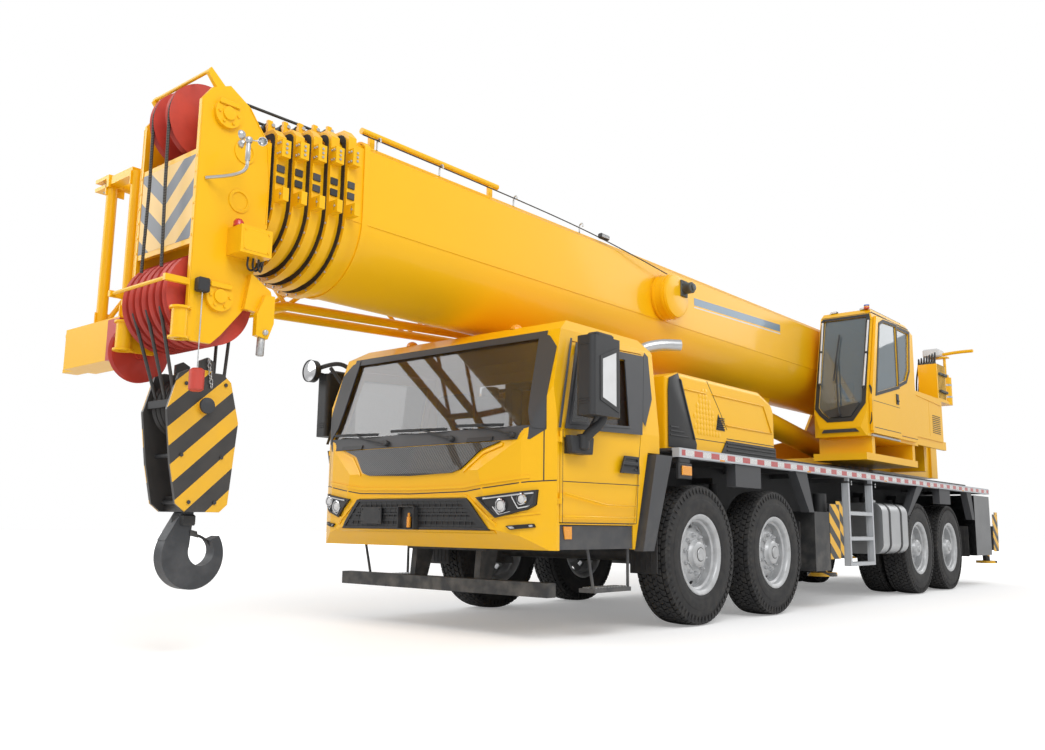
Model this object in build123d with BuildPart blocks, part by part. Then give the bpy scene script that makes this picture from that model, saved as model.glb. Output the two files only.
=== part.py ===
from build123d import *
import os
from math import acos, atan2, cos, hypot, pi, sin

# Four-axle mobile crane with a six-section telescopic boom, stowed for the road.
# Millimetres. +X is forward, +Y is left, +Z is up.
# The origin is on the ground, in the middle of the overall length and width.

os.makedirs("parts", exist_ok=True)

# ---------------------------------------------------------------- clearances
run_gap = 0.3            # between a piece and the seat that it turns or slides on
part_gap = 8             # between a door and its opening
clear = 5                # between moving pieces that don't touch
far = 20000              # longer than the machine, for cuts that run right through

# ---------------------------------------------------------------- wheels and axles
front_axle_x = 2640
axle_gaps = (1470, 4500, 1350)                    # between neighbouring axles
axle_x = [front_axle_x - sum(axle_gaps[:n]) for n in range(4)]
tyre_r = 610
tyre_width = 320
tyre_shoulder = 45
bead_r = 318
rim_flange_r = 340
rim_lip = 22
disc_thickness = 16
hub_r = 150
hub_reach = 60
twin_gap = 34            # between the two tyres of a twin wheel
front_wheel_out = 1346   # outer face of a front tyre
rear_wheel_out = 1314    # outer face of an outer rear tyre
axle_tube_r = 80
diff_r = 215
spindle_r = 62
kingpin_y = 985
kingpin_r = 38
knuckle_half = 70

wall_bulge_r = 430       # where the tyre is widest
tyre_crown = 8
bead_set = 34            # the bead stands this far in from the tyre's side
flange_set = 21
flange_thickness = 12
hub_cap = 12
front_disc_y = 1268
knuckle_hub_y = 1120     # inner end of a front hub
rear_hub_y = 880         # inner end of a rear hub
knuckle_reach = 150
knuckle_web = 24
axle_boss_r = 75
axle_boss_half = 90
front_strut_y = 650
rear_strut_y = 545
strut_r = 45
strut_top = 1300
bracket_half = 90
bracket_height = 60

# ---------------------------------------------------------------- chassis
body_half = 1400         # half the width over the deck rails
frame_half = 450
rail_width = 90
frame_top = 1500
frame_wall = 20
frame_rear_x = -7180
box_front_x = 640        # the closed box ends here and the two open rails begin
rail_bottom = 860
rail_drop_x = 3270       # the rails step down here to pass under the cab
rail_front_x = 4480
low_rail_top = 900
low_rail_bottom = 640
cross_member = 120
underrun_x = 4500
underrun_half = 1170
underrun_bottom = 320
underrun_height = 105
underrun_depth = 100
hanger_y = 400
hanger_width = 60

engine_x = (1150, 2950)
engine_bottom = 980
engine_top = 1960
engine_half = 320
seat_r = 800
seat_rib = 12

rest_x = 3112            # boom rest, between the cab and the engine hood
rest_depth = 150
rest_beam_z = 2150
rest_beam_height = 200
rest_pad_half = 200

# ---------------------------------------------------------------- outriggers
front_outrigger_x = -360
rear_outrigger_x = -7040
beam_width = 215
beam_height = 270
beam_bottom = 610
beam_gap = 5
pad_gap = 0.3
housing_wall = 16
housing_half = 1100
beam_length = 2280
beam_wall = 14
jack_y = 1215
jack_r = 75
jack_bore = 55
jack_top = 1240
jack_bottom = 470
foot_r = 160
foot_height = 40
foot_bottom = 330
shield_y = 1310
shield_thickness = 20
shield_bottom = 540
shield_top = 930

deck_top = 1518
deck_plate = 24
deck_rail_height = 80
deck_rail_depth = 70
deck_front_x = 3100
deck_rear_x = -6610

deck_bracket_inset = 200   # from each end of the deck to its first bracket
deck_bracket_count = 9
deck_box_x = (-6580, 900)
deck_box_y = 1050
deck_box_top = 1600
step_x = (3700, 4645)
step_y = (1010, 1312)
step_bottom = 670
sill_z = 852
hang_step_x = (3700, 4190)
hang_step_y = (1150, 1300)
hang_step_z = 375
hang_step_height = 32
hang_rod_r = 12

fender_y = 1285
fender_width = 95
fender_bottom = 1225
fender_hangers = ((1540, 2060), (-4560, -4060))        # rear, front
fender_arm_x = (3180, 3260)
fender_arm_height = 60
fender_struts = (                                      # top (rear, front), low (rear, front), low z
    ((3180, 3430), (3480, 3640), 650),
    ((460, 740), (300, 420), 1020),
    ((-3360, -3100), (-2740, -2660), 1040),
    ((-5640, -5400), (-5760, -5640), 1020),
)
tank_x = (-2650, -1740)
tank_y = 780
tank_width = 600
tank_z = (550, 1180)
tank_corner = 130
tank_strap_inset = 180
tank_arm = 60
box_y = 860
box_width = 520
box_rows = (             # rear, front, bottom, top
    (-95, 300, 400, 1030),
    (-6640, -5780, 470, 1400),
)
ladder_y = 1290
ladder_depth = 80
ladder_x = (-720, -1450)
ladder_rail = 40
ladder_bottom = 430
ladder_steps = 3
ladder_pitch = 290

# ---------------------------------------------------------------- driver's cab
cab_front_x = 4910
cab_rear_x = 3290
cab_half = 1320
cab_bottom = 665
cab_floor_z = 905
cab_mount_x = (3400, 4300)
hinge_r = 12
hinge_z = (1000, 1450)
hinge_length = 40
hinge_leaf = 50
cab_top = 2430
cab_wall = 50
pane_inset = 18
pane_thickness = 6
screen_depth = 620
rear_window = [(-800, 1650), (800, 1650), (760, 2200), (-760, 2200)]
seat_z = 1500
seat_y = (420, 920)
cushion_x = (cab_rear_x + 450, cab_rear_x + 950)
backrest_x = (cab_rear_x + 380, cab_rear_x + 500)
seat_overlap = 100
backrest_height = 600
dash_x = (cab_front_x - 520, cab_front_x - 260)
dash_half = 1050
dash_top = 1450
grille_reach = 300
mirror_x = (4270, 4640)
mirror_y = (1450, 1610)
mirror_z = (1640, 2230)
mirror_round = 40
mirror_arm_r = 22
mirror_foot_x = (4380, 4600)
mirror_foot_z = (1370, 1500)
mirror_foot_depth = 90
round_mirror = (4700, 1585, 2250)        # the second mirror on the right
round_mirror_r = 100
round_mirror_depth = 50
trim_thickness = 10

# ---------------------------------------------------------------- engine hood
hood_half = 1280
hood_wall = 30
hood_x = (985, 3090)
hood_top = (2150, 2212)  # at the front, and over most of the length
hood_shoulder_z = 2100
hood_rear_round = 330
hood_edge_round = 45
hood_front_slope = 220

# ---------------------------------------------------------------- superstructure
slew_x = -3110           # slewing axis
ring_r = 740
ring_tooth_depth = 26
ring_tooth_count = 64
ring_tooth_share = 0.5   # share of the pitch that a tooth fills
ring_tooth_height = 105
ring_bore = 560
ring_height = 180
plate_y = 545            # inner face of a turntable side plate
plate_thickness = 40
platform_height = 90
platform_bottom = deck_top + seat_rib + ring_height + run_gap
foot_pin_x = -5260       # boom foot pin
foot_pin_z = 3150
foot_pin_r = 60
luff_base_x = -4110      # lower pin of the luffing cylinder
luff_base_z = 1865
luff_eye_x = -960        # upper pin of the luffing cylinder, on the boom
luff_eye_z = 2310
luff_pin_r = 55
pin_end = 30             # how far the foot pin stands out past each side plate

luff_well = 240          # half the width of the opening under the cylinder
luff_well_x = (-4410, -2410)
platform_x = (-6300, -2210)
foot_boss = 60           # wall of the bosses round the foot pin
luff_boss = 50
luff_eye_half = 110
luff_eye_r = 125
luff_lug = 40
luff_lug_reach = (340, 600)   # behind the pin and before it
luff_lug_half = 150
luff_lug_drop = 100
barrel_r = 150
barrel_wall = 40
barrel_start = 130
barrel_neck_r = 100
barrel_length = 2780
rod_r = 95
tail_x = -6600
tail_half = 620
tail_depth = 300
tail_top = 2450
plate_foot_z = platform_bottom + platform_height + run_gap
# x, z
turntable_side = [(-6300, plate_foot_z), (-2200, plate_foot_z), (-2200, 1950), (-3900, 2250), (-4900, 3330),
                  (-5560, 3330), (-6300, 2500)]
winch_rows = ((-5750, 2300, 210), (-5050, 2200, 180))      # x, z, drum radius
winch_half = 380
winch_flange = 30
winch_rim = 60
operator_front_x = -1600
operator_rear_x = -3530
operator_y = (600, 1290)
operator_bottom = 2010
operator_top = 3720
operator_door_thickness = 36
operator_seat_inset = 560
operator_seat_height = 420
operator_seat_depth = 500
operator_back_height = 620
seat_side = 130
seat_back = 70
door_lap = 20
operator_door_travel = 600
screen_reach = 620          # from the cab's front back past the slope of its screen
runner_height = 30
cover_wall = 30
cover_x = (-4720, -3535)
cover_z = (2150, 2800)
skirt_z = (2040, 2150)
skirt_x = (-4880, -2800)
bracket_beam = 100

accumulator = (-5600, 1120, 2820, 3300)          # x, y, low z, high z
accumulator_r = 85
valve_bank = ((-5400, -4950), (900, 1180), (2860, 3400))

# ---------------------------------------------------------------- boom
boom_top = 3580
boom_half = 490
round_z = 2990           # below this height the section is round
boom_corner = 60
boom_bottom = 2500
boom_rear_x = -5010
boom_wall = 12
section_step = 32        # each section is smaller than the last by this all round
collar_front_x = 6080    # front face of the base section's collar
collar_pitch = 125
collar_width = 70
collar_height = 34
collar_tail = 90         # how far each section's rear end lies ahead of the last
section_names = ("boom_section_2", "boom_section_3", "boom_section_4", "boom_section_5")
ear_y = 250              # inner face of each ear on top of a collar
ear_width = 24
ear_height = 120
ear_roller_r = 26
guide_z = (2950, 3040)
guide_reach = 95
pad_box_z = (3330, 3450)
pad_box_reach = 60
top_bar_x = (4370, 5870)
top_bar_y = 400
top_bar_z = 3700
top_bar_r = 24

pad_height = 100
pad_length = 150
foot_half = 538
foot_thickness = 60
foot_boss_r = 170
foot_overlap = 500
lug_sink = 60

head_half = 360
head_plate = 30
head_rear_x = 6600
head_front_x = 7125
head_front_z = (2550, 3170)
head_side = [(7130, 1935), (7130, 3500), (7060, 3600), (6933, 3656), (6780, 3561), (6630, 3370), (6600, 3100),
             (6608, 2767), (6700, 2377), (6735, 2197), (6894, 2000), (6960, 1935)]
head_back_z = (2767, 3370)
guard_tip = (7079, 3712)
guard_r = 12
guard_arm_half = 20
guard_root = ((-220, 3540), (-120, 3520))      # x from the tip, z
guard_low = (7268, 2300)
boss_r = 95
boss_depth = 28
jib_pin_x = 7168
jib_pin_y = 345
jib_pin_z = (1935, 2135)
jib_pin_r = 26
jib_pin_tube_r = 50
jib_pin_flange = (64, 14)                         # radius, thickness
anchor_side = [(6720, 2430), (6570, 2340), (6540, 2250), (6600, 2180), (6760, 2190)]
anchor_plate = 40
anchor_link = [(6560, 2300), (6630, 2300), (6690, 2160), (6690, 2025), (6600, 2010), (6560, 2120)]
junction_x = (6660, 6890)
junction_depth = 160
junction_z = (2520, 2700)
upper_span = 200
lower_span = 500
sheave_width = 50
sheave_upper = (6950, 3450, 268)     # x, z, radius
sheave_lower = (6930, 2240, 300)
upper_count = 2
lower_count = 7
pin_r = 45
groove_depth = 26
# x, lower chord z, upper chord z
jib_stations = ((7010, 2190, 3290), (5700, 2560, 3220), (-3200, 2980, 3250))
jib_y = (-1020, -660)
jib_chord_r = 38
jib_lace_r = 18
jib_end_r = 30
jib_bays = (2, 11)
jib_hanger_x = (5400, 400, -2800)
jib_beam_x = (6890, 7130)
jib_beam_y = (-1290, -500)
jib_beam_z = (1910, 2200)
jib_beam_wall = 20
jib_lug = (170, 26, 66)                           # reach, thickness, middle to middle
jib_lug_x = (6950, 7060)
jib_sheave = (6990, 1960, 200)
reel_x = 1870
reel_z = 3200
reel_r = 230
reel_width = 160

# ---------------------------------------------------------------- hook block
block_x = 6850
block_half = 160
block_plate = 25
# x from the block's middle, z
block_side = [(-150, 900), (90, 900), (155, 950), (210, 1200), (255, 1525), (190, 1760), (130, 1790),
              (-120, 1790), (-180, 1740), (-250, 1480), (-205, 950)]
block_lug = (50, 1885)                            # half width, top
block_sheave_z = 1570
block_sheave_r = 200
block_yoke = (60, 100)                            # half depth, height
block_sheave_count = 5
rope_r = 11
rope_falls = (           # front or rear of the sheaves, sheave in the block, sheave in the head
    (1, -2, -2),
    (1, 0, 0),
    (1, 2, 2),
    (-1, -1, -1),
    (-1, 1, 1),
)
hook_shift = 55          # the hook's bowl lies this far ahead of its shank
hook_mid_z = 630
hook_r = 215
hook_eye_r = 92
hook_half = 48
hook_round = 12
hook_shank_r = 42
hook_neck_inset = 15


# ---------------------------------------------------------------- helpers
def block(x, y, z, mode=Mode.ADD):
    """A box between two values of each axis, in the part that is being built."""
    middle = ((x[0] + x[1]) / 2, (y[0] + y[1]) / 2, (z[0] + z[1]) / 2)
    with Locations(middle):
        Box(x[1] - x[0], y[1] - y[0], z[1] - z[0], mode=mode)


def both_sides(y):
    """A pair of Y values and the same pair mirrored, each low to high."""
    return (y, (-y[1], -y[0]))


def outline(plane, points, inset=0):
    """A closed straight-sided face on a plane."""
    with BuildSketch(plane) as face:
        with BuildLine():
            Polyline(*points, close=True)
        make_face()
        if inset:
            offset(amount=-inset, kind=Kind.INTERSECTION)
    return face.sketch


def side_plate(points, y, mode=Mode.ADD):
    """A plate whose XZ outline stands between two values of Y."""
    extrude(outline(Plane.XZ.offset(-y[1]), points), amount=y[1] - y[0], dir=(0, -1, 0), mode=mode)


def front_plate(points, x, mode=Mode.ADD):
    """A plate whose YZ outline stands between two values of X."""
    extrude(outline(Plane.YZ.offset(x[0]), points), amount=x[1] - x[0], dir=(1, 0, 0), mode=mode)


def rod(start, end, radius, mode=Mode.ADD):
    """A round bar from one point to another."""
    along = Vector(*end) - Vector(*start)
    with BuildSketch(Plane(origin=start, z_dir=along)) as disc:
        Circle(radius)
    extrude(disc.sketch, amount=along.length, dir=along, mode=mode)


def cross_pin(x, z, radius, y, mode=Mode.ADD):
    """A round bar across the machine."""
    rod((x, y[0], z), (x, y[1], z), radius, mode)


def volume(side, plan, front, inset=0):
    """The solid that a side, a plan and a front outline share, set in by a wall."""
    with BuildPart() as shape:
        extrude(outline(Plane.XZ, side, inset), amount=far, both=True)
        extrude(outline(Plane.XY, plan, inset), amount=far, both=True, mode=Mode.INTERSECT)
        extrude(outline(Plane.YZ, front, inset), amount=far, both=True, mode=Mode.INTERSECT)
    return shape.part


def mirrored_outline(half):
    """A closed outline from its right half, which is listed from the bottom or the rear up."""
    return [(-a, b) for a, b in half] + [(a, b) for a, b in reversed(half)]


def tangent_point(centre, radius, start, side):
    """Where a line from a point below a circle touches it, in XZ, on the front (1) or rear (-1) side."""
    run, rise = start[0] - centre[0], start[1] - centre[1]
    angle = atan2(rise, run) + side * acos(radius / hypot(run, rise))
    return centre[0] + radius * cos(angle), centre[1] + radius * sin(angle)


def sheave(x, z, radius, y, bore=0):
    """A grooved rope wheel about a line along Y, between two values of Y."""
    middle = (y[0] + y[1]) / 2
    half = (y[1] - y[0]) / 2
    root = radius - groove_depth
    with BuildSketch(Plane((x, 0, z))) as section:
        with BuildLine():
            Polyline((bore, middle - half), (radius, middle - half), (root, middle - half / 3),
                     (root, middle + half / 3), (radius, middle + half), (bore, middle + half), close=True)
        make_face()
    revolve(section.sketch, axis=Axis((x, 0, z), (0, 1, 0)))


def finish(piece, label):
    """Name a finished piece and write it out."""
    piece.part.label = label
    export_step(piece.part, f"parts/{label}.step")


# ================================================================ running gear
def wheel(label, x, tyre_faces, disc_y, hub_y):
    """A tyre between each pair of faces, on one rim with its disc and hub, about a line along Y."""
    side = 1 if disc_y > 0 else -1
    centre_plane = Plane((x, 0, tyre_r))
    wheel_line = Axis((x, 0, tyre_r), (0, 1, 0))
    rim_r = bead_r - run_gap
    well_r = rim_r - rim_lip
    low = min(faces[0] for faces in tyre_faces)
    high = max(faces[1] for faces in tyre_faces)
    with BuildPart() as piece:
        for face_low, face_high in tyre_faces:
            with BuildSketch(centre_plane) as tyre:
                with BuildLine():
                    Polyline((bead_r, face_low + bead_set), (rim_flange_r, face_low + bead_set),
                             (wall_bulge_r, face_low), (tyre_r - tyre_shoulder, face_low + tyre_crown),
                             (tyre_r, face_low + tyre_shoulder), (tyre_r, face_high - tyre_shoulder),
                             (tyre_r - tyre_shoulder, face_high - tyre_crown), (wall_bulge_r, face_high),
                             (rim_flange_r, face_high - bead_set), (bead_r, face_high - bead_set), close=True)
                make_face()
            revolve(tyre.sketch, axis=wheel_line)
        with BuildSketch(centre_plane) as rim:
            with Locations(((rim_r + well_r) / 2, (low + high) / 2)):
                Rectangle(rim_r - well_r, high - low - 2 * flange_set)
            for edge in (low + flange_set + flange_thickness / 2, high - flange_set - flange_thickness / 2):
                with Locations(((rim_flange_r + well_r) / 2, edge)):
                    Rectangle(rim_flange_r - well_r, flange_thickness)
            with Locations(((well_r + spindle_r + run_gap) / 2, disc_y)):
                Rectangle(well_r - spindle_r - run_gap, disc_thickness)
            with Locations(((hub_r + spindle_r + run_gap) / 2, (hub_y[0] + hub_y[1]) / 2)):
                Rectangle(hub_r - spindle_r - run_gap, abs(hub_y[1] - hub_y[0]))
            cap_y = hub_y[1] + side * hub_cap / 2
            with Locations((hub_r / 2, cap_y)):
                Rectangle(hub_r, hub_cap)
        revolve(rim.sketch, axis=wheel_line)
    finish(piece, label)


sides = (("left", 1), ("right", -1))

for number, x in enumerate(axle_x, start=1):
    for side_name, side in sides:
        if number <= 2:
            faces = [(front_wheel_out - tyre_width, front_wheel_out)]
            disc_y = front_disc_y
            hub = (knuckle_hub_y, front_disc_y + hub_reach)
        else:
            middle = rear_wheel_out - tyre_width - twin_gap / 2
            faces = [(middle + twin_gap / 2, rear_wheel_out),
                     (middle - twin_gap / 2 - tyre_width, middle - twin_gap / 2)]
            disc_y = middle
            hub = (rear_hub_y, middle + hub_reach)
        if side < 0:
            faces = [(-high, -low) for low, high in faces]
        wheel(f"wheel_{number}_{side_name}", x, faces, side * disc_y, (side * hub[0], side * hub[1]))

# Steering knuckles: a yoke over the beam's end, the kingpin through it and the wheel's spindle.
for number, x in enumerate(axle_x[:2], start=1):
    for side_name, side in sides:
        with BuildPart() as knuckle:
            arm_z = axle_boss_half + run_gap
            web_y = kingpin_y + axle_boss_r + clear
            for z in ((tyre_r + arm_z, tyre_r + knuckle_reach), (tyre_r - knuckle_reach, tyre_r - arm_z)):
                y = sorted((side * (kingpin_y - knuckle_half), side * (web_y + knuckle_web)))
                block((x - knuckle_half, x + knuckle_half), y, z)
            y = sorted((side * web_y, side * (web_y + knuckle_web)))
            low_z, high_z = tyre_r - knuckle_reach, tyre_r + knuckle_reach
            spindle_y = front_disc_y + hub_reach - run_gap
            block((x - knuckle_half, x + knuckle_half), y, (low_z, high_z))
            rod((x, side * kingpin_y, low_z), (x, side * kingpin_y, high_z), kingpin_r)
            rod((x, side * web_y, tyre_r), (x, side * spindle_y, tyre_r), spindle_r)
        finish(knuckle, f"knuckle_{number}_{side_name}")

# Axle beams with their suspension struts.
with BuildPart() as axles:
    for number, x in enumerate(axle_x, start=1):
        steered = number <= 2
        if steered:
            end = kingpin_y
            with Locations((x, end, tyre_r), (x, -end, tyre_r)):
                Cylinder(axle_boss_r, 2 * axle_boss_half)
        else:
            end = rear_wheel_out - tyre_width - twin_gap / 2 + hub_reach - run_gap
            cross_pin(x, tyre_r, spindle_r, (-end, end))
            with Locations((x, 0, tyre_r)):
                Sphere(diff_r)
            end = rear_hub_y - clear
        cross_pin(x, tyre_r, axle_tube_r, (-end, end))
        strut_y = front_strut_y if steered else rear_strut_y
        for side in (1, -1):
            rod((x, side * strut_y, tyre_r), (x, side * strut_y, strut_top), strut_r)
            if steered:
                rod((x, side * end, tyre_r - axle_boss_half), (x, side * end, tyre_r + axle_boss_half),
                    kingpin_r + run_gap, Mode.SUBTRACT)
finish(axles, "axles")

# ================================================================ chassis
beam_span = 2 * (beam_width + 2 * beam_gap) + 3 * housing_wall
housing_bottom = beam_bottom - pad_gap - housing_wall
housing_top = beam_bottom + beam_height + beam_gap + housing_wall
beam_offset = (beam_width + 2 * beam_gap + housing_wall) / 2
outriggers = (("front", front_outrigger_x), ("rear", rear_outrigger_x))

with BuildPart() as chassis_frame:
    block((frame_rear_x, box_front_x), (-frame_half, frame_half), (housing_top, frame_top))
    block((frame_rear_x, box_front_x), (-frame_half + frame_wall, frame_half - frame_wall),
          (housing_top + frame_wall, frame_top - frame_wall), Mode.SUBTRACT)
    for y in both_sides((frame_half - rail_width, frame_half)):
        side_plate([(box_front_x, housing_top), (box_front_x, frame_top), (rail_drop_x, frame_top),
                    (rail_drop_x, low_rail_top), (rail_front_x, low_rail_top), (rail_front_x, low_rail_bottom),
                    (rail_drop_x - cross_member, low_rail_bottom),
                    (rail_drop_x - 2 * cross_member, rail_bottom)], y)
    for x in (rail_front_x - cross_member, rail_drop_x):
        block((x, x + cross_member), (-frame_half, frame_half), (low_rail_bottom, low_rail_top))
    block((engine_x[0], engine_x[0] + cross_member), (-frame_half, frame_half), (rail_bottom, engine_bottom))
    block((engine_x[1] - cross_member, engine_x[1]), (-frame_half, frame_half), (rail_bottom, engine_bottom))
    for x in cab_mount_x:
        for y in both_sides((frame_half - rail_width, frame_half)):
            block((x, x + rail_width), y, (low_rail_top, cab_floor_z))
    # seat of the slewing ring
    with BuildSketch(Plane.XY.offset(frame_top - seat_rib)) as seat:
        with Locations((slew_x, 0)):
            Circle(seat_r)
            Circle(ring_bore, mode=Mode.SUBTRACT)
    extrude(seat.sketch, amount=deck_top + 2 * seat_rib - frame_top)
    # outrigger housings, one box for the left beam and one for the right at each end
    for name, x in outriggers:
        housing_x = (x - beam_span / 2, x + beam_span / 2)
        block(housing_x, (-housing_half, housing_half), (housing_bottom, housing_top))
        for way in (1, -1):
            centre = x + way * beam_offset
            block((centre - beam_width / 2 - beam_gap, centre + beam_width / 2 + beam_gap), (-far, far),
                  (beam_bottom - pad_gap, beam_bottom + beam_height + beam_gap), Mode.SUBTRACT)
    # brackets over the suspension struts
    for number, x in enumerate(axle_x, start=1):
        reach = (front_strut_y if number <= 2 else rear_strut_y) + strut_r
        for y in both_sides((frame_half, reach)):
            block((x - bracket_half, x + bracket_half), y, (strut_top, strut_top + bracket_height))
    # boom rest: two posts, a beam and the flat pad that the base section lies on
    for y in both_sides((frame_half - rail_width, frame_half)):
        block((rest_x, rest_x + rest_depth), y, (low_rail_top, rest_beam_z))
    rest_top = rest_beam_z + rest_beam_height
    block((rest_x, rest_x + rest_depth), (-frame_half, frame_half), (rest_beam_z, rest_top))
    block((rest_x, rest_x + rest_depth), (-rest_pad_half, rest_pad_half), (rest_top, boom_bottom - run_gap))
finish(chassis_frame, "chassis_frame")

with BuildPart() as underrun_bar:
    block((underrun_x, underrun_x + underrun_depth), (-underrun_half, underrun_half),
          (underrun_bottom, underrun_bottom + underrun_height))
    for y in both_sides((hanger_y - hanger_width, hanger_y)):
        side_plate([(rail_front_x - 2 * underrun_depth, low_rail_bottom), (rail_front_x, low_rail_bottom),
                    (underrun_x, underrun_bottom + underrun_height), (underrun_x, underrun_bottom),
                    (rail_front_x - underrun_depth, underrun_bottom)], y)
finish(underrun_bar, "underrun_bar")

with BuildPart() as engine:
    block(engine_x, (-engine_half, engine_half), (engine_bottom, engine_top))
finish(engine, "engine")

# Outrigger beams: a hollow beam with the jack's barrel and its striped shield at the outer end,
# and the jack's rod with its foot.
for end_name, x in outriggers:
    for side_name, side in sides:
        centre = x + side * beam_offset
        tip = jack_y - jack_r
        top = beam_bottom + beam_height
        with BuildPart() as beam:
            y = sorted((side * (tip - beam_length), side * tip))
            block((centre - beam_width / 2, centre + beam_width / 2), y, (beam_bottom, top))
            block((centre - beam_width / 2 + beam_wall, centre + beam_width / 2 - beam_wall),
                  sorted((side * (tip - beam_length - 1), side * (tip - beam_wall))),
                  (beam_bottom + beam_wall, top - beam_wall), Mode.SUBTRACT)
            block((centre - beam_width / 2, centre + beam_width / 2), sorted((side * tip, side * jack_y)),
                  (beam_bottom, top))
            rod((centre, side * jack_y, jack_bottom), (centre, side * jack_y, jack_top), jack_r)
            block((centre - beam_width / 4, centre + beam_width / 4), sorted((side * jack_y, side * shield_y)),
                  (beam_bottom, top))
            shield_range = sorted((side * shield_y, side * (shield_y + shield_thickness)))
            block((x - beam_span / 2, x + beam_span / 2), shield_range, (shield_bottom, shield_top))
            rod((centre, side * jack_y, jack_bottom - 1), (centre, side * jack_y, jack_top - beam_wall),
                jack_bore, Mode.SUBTRACT)
        finish(beam, f"outrigger_beam_{end_name}_{side_name}")
        with BuildPart() as jack:
            foot_centre = (centre, side * jack_y, foot_bottom)
            rod(foot_centre, (centre, side * jack_y, foot_bottom + foot_height), foot_r)
            rod(foot_centre, (centre, side * jack_y, jack_top - 2 * beam_wall), jack_bore - run_gap)
        finish(jack, f"outrigger_jack_{end_name}_{side_name}")

# ================================================================ deck and side pieces
rail_underside = deck_top - deck_rail_height
with BuildPart() as deck:
    for y in both_sides((frame_half, body_half)):
        block((deck_rear_x, deck_front_x), y, (deck_top - deck_plate, deck_top))
    for y in both_sides((body_half - deck_rail_depth, body_half)):
        block((deck_rear_x, deck_front_x), y, (deck_top - deck_rail_height, deck_top))
    bracket_pitch = (deck_front_x - deck_rear_x - 2 * deck_bracket_inset) / (deck_bracket_count - 1)
    for number in range(deck_bracket_count):
        x = deck_front_x - deck_bracket_inset - number * bracket_pitch
        for y in both_sides((frame_half, body_half - deck_rail_depth)):
            block((x - deck_plate, x), y, (deck_top - deck_rail_height, deck_top - deck_plate))
    # raised boxes each side of the slewing ring
    for y in both_sides((frame_half, deck_box_y)):
        block(deck_box_x, y, (deck_top, deck_box_top))
        side = 1 if y[0] > 0 else -1
        hollow = sorted((side * (frame_half - 1), side * (deck_box_y - deck_plate)))
        block((deck_box_x[0] + deck_plate, deck_box_x[1] - deck_plate), hollow,
              (deck_top, deck_box_top - deck_plate), Mode.SUBTRACT)
    with Locations((slew_x, 0, deck_top)):
        Cylinder(seat_r + run_gap, deck_top, mode=Mode.SUBTRACT)
    # ladders under the rails
    for y in both_sides((ladder_y, ladder_y + ladder_depth)):
        for x in ladder_x:
            block((x - ladder_rail / 2, x + ladder_rail / 2), y, (ladder_bottom, rail_underside))
        for number in range(ladder_steps):
            z = ladder_bottom + number * ladder_pitch
            block((ladder_x[1], ladder_x[0]), y, (z, z + ladder_rail))
finish(deck, "deck")

with BuildPart() as fenders:
    for y in both_sides((fender_y, fender_y + fender_width)):
        for start, end in fender_hangers:
            block((start, end), y, (fender_bottom, rail_underside))
        for (top_rear, top_front), (low_rear, low_front), low_z in fender_struts:
            side_plate([(top_rear, rail_underside), (top_front, rail_underside), (low_front, low_z),
                        (low_rear, low_z)], y)
    for y in both_sides((frame_half, fender_y)):
        block(fender_arm_x, y, (rail_underside - fender_arm_height, rail_underside))
    # step boxes under the cab's doors, each with a lower step on two hanging rods
    for side in (1, -1):
        skin_y = cab_half - cab_wall - clear
        floor_seat = cab_floor_z - run_gap
        step_top = sill_z - clear
        front_plate([(side * step_y[0], step_bottom), (side * step_y[1], step_bottom), (side * step_y[1], step_top),
                     (side * skin_y, step_top), (side * skin_y, floor_seat), (side * step_y[0], floor_seat)],
                    step_x)
        rod_y = side * (hang_step_y[1] - 2 * hang_rod_r)
        hanger_tops = (hang_step_x[0] + hang_rod_r, hang_step_x[1] + 2 * hang_step_height)
        for low_x, high_x in zip(hang_step_x, hanger_tops):
            low_x = min(max(low_x, hang_step_x[0] + hang_rod_r), hang_step_x[1] - hang_rod_r)
            rod((low_x, rod_y, hang_step_z), (high_x, rod_y, step_bottom + hang_rod_r), hang_rod_r)
        block(hang_step_x, sorted((side * hang_step_y[0], side * hang_step_y[1])),
              (hang_step_z - hang_step_height, hang_step_z))
finish(fenders, "fenders")

tank_mid = (tank_z[0] + tank_z[1]) / 2
with BuildPart() as fuel_tank:
    for y in both_sides((tank_y, tank_y + tank_width)):
        with BuildSketch(Plane.YZ.offset(tank_x[0])) as section:
            with Locations(((y[0] + y[1]) / 2, tank_mid)):
                RectangleRounded(tank_width, tank_z[1] - tank_z[0], tank_corner)
        extrude(section.sketch, amount=tank_x[1] - tank_x[0], dir=(1, 0, 0))
        inner = sorted((y[0], y[1]), key=abs)[0]
        arm = sorted((inner, frame_half if inner > 0 else -frame_half))
        for x in (tank_x[0] + tank_strap_inset, tank_x[1] - tank_strap_inset - tank_arm):
            block((x, x + tank_arm), arm, (tank_z[1] - 2 * tank_arm, tank_z[1]))
finish(fuel_tank, "fuel_tank")

with BuildPart() as tool_boxes:
    for y in both_sides((box_y, box_y + box_width)):
        for start, end, low_z, high_z in box_rows:
            block((start, end), y, (low_z, high_z))
        inner = sorted(y, key=abs)[0]
        arm = sorted((inner, frame_half if inner > 0 else -frame_half))
        for start, end, low_z, high_z in box_rows:
            block((start, end), arm, (housing_top, high_z))
finish(tool_boxes, "tool_boxes")

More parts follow.
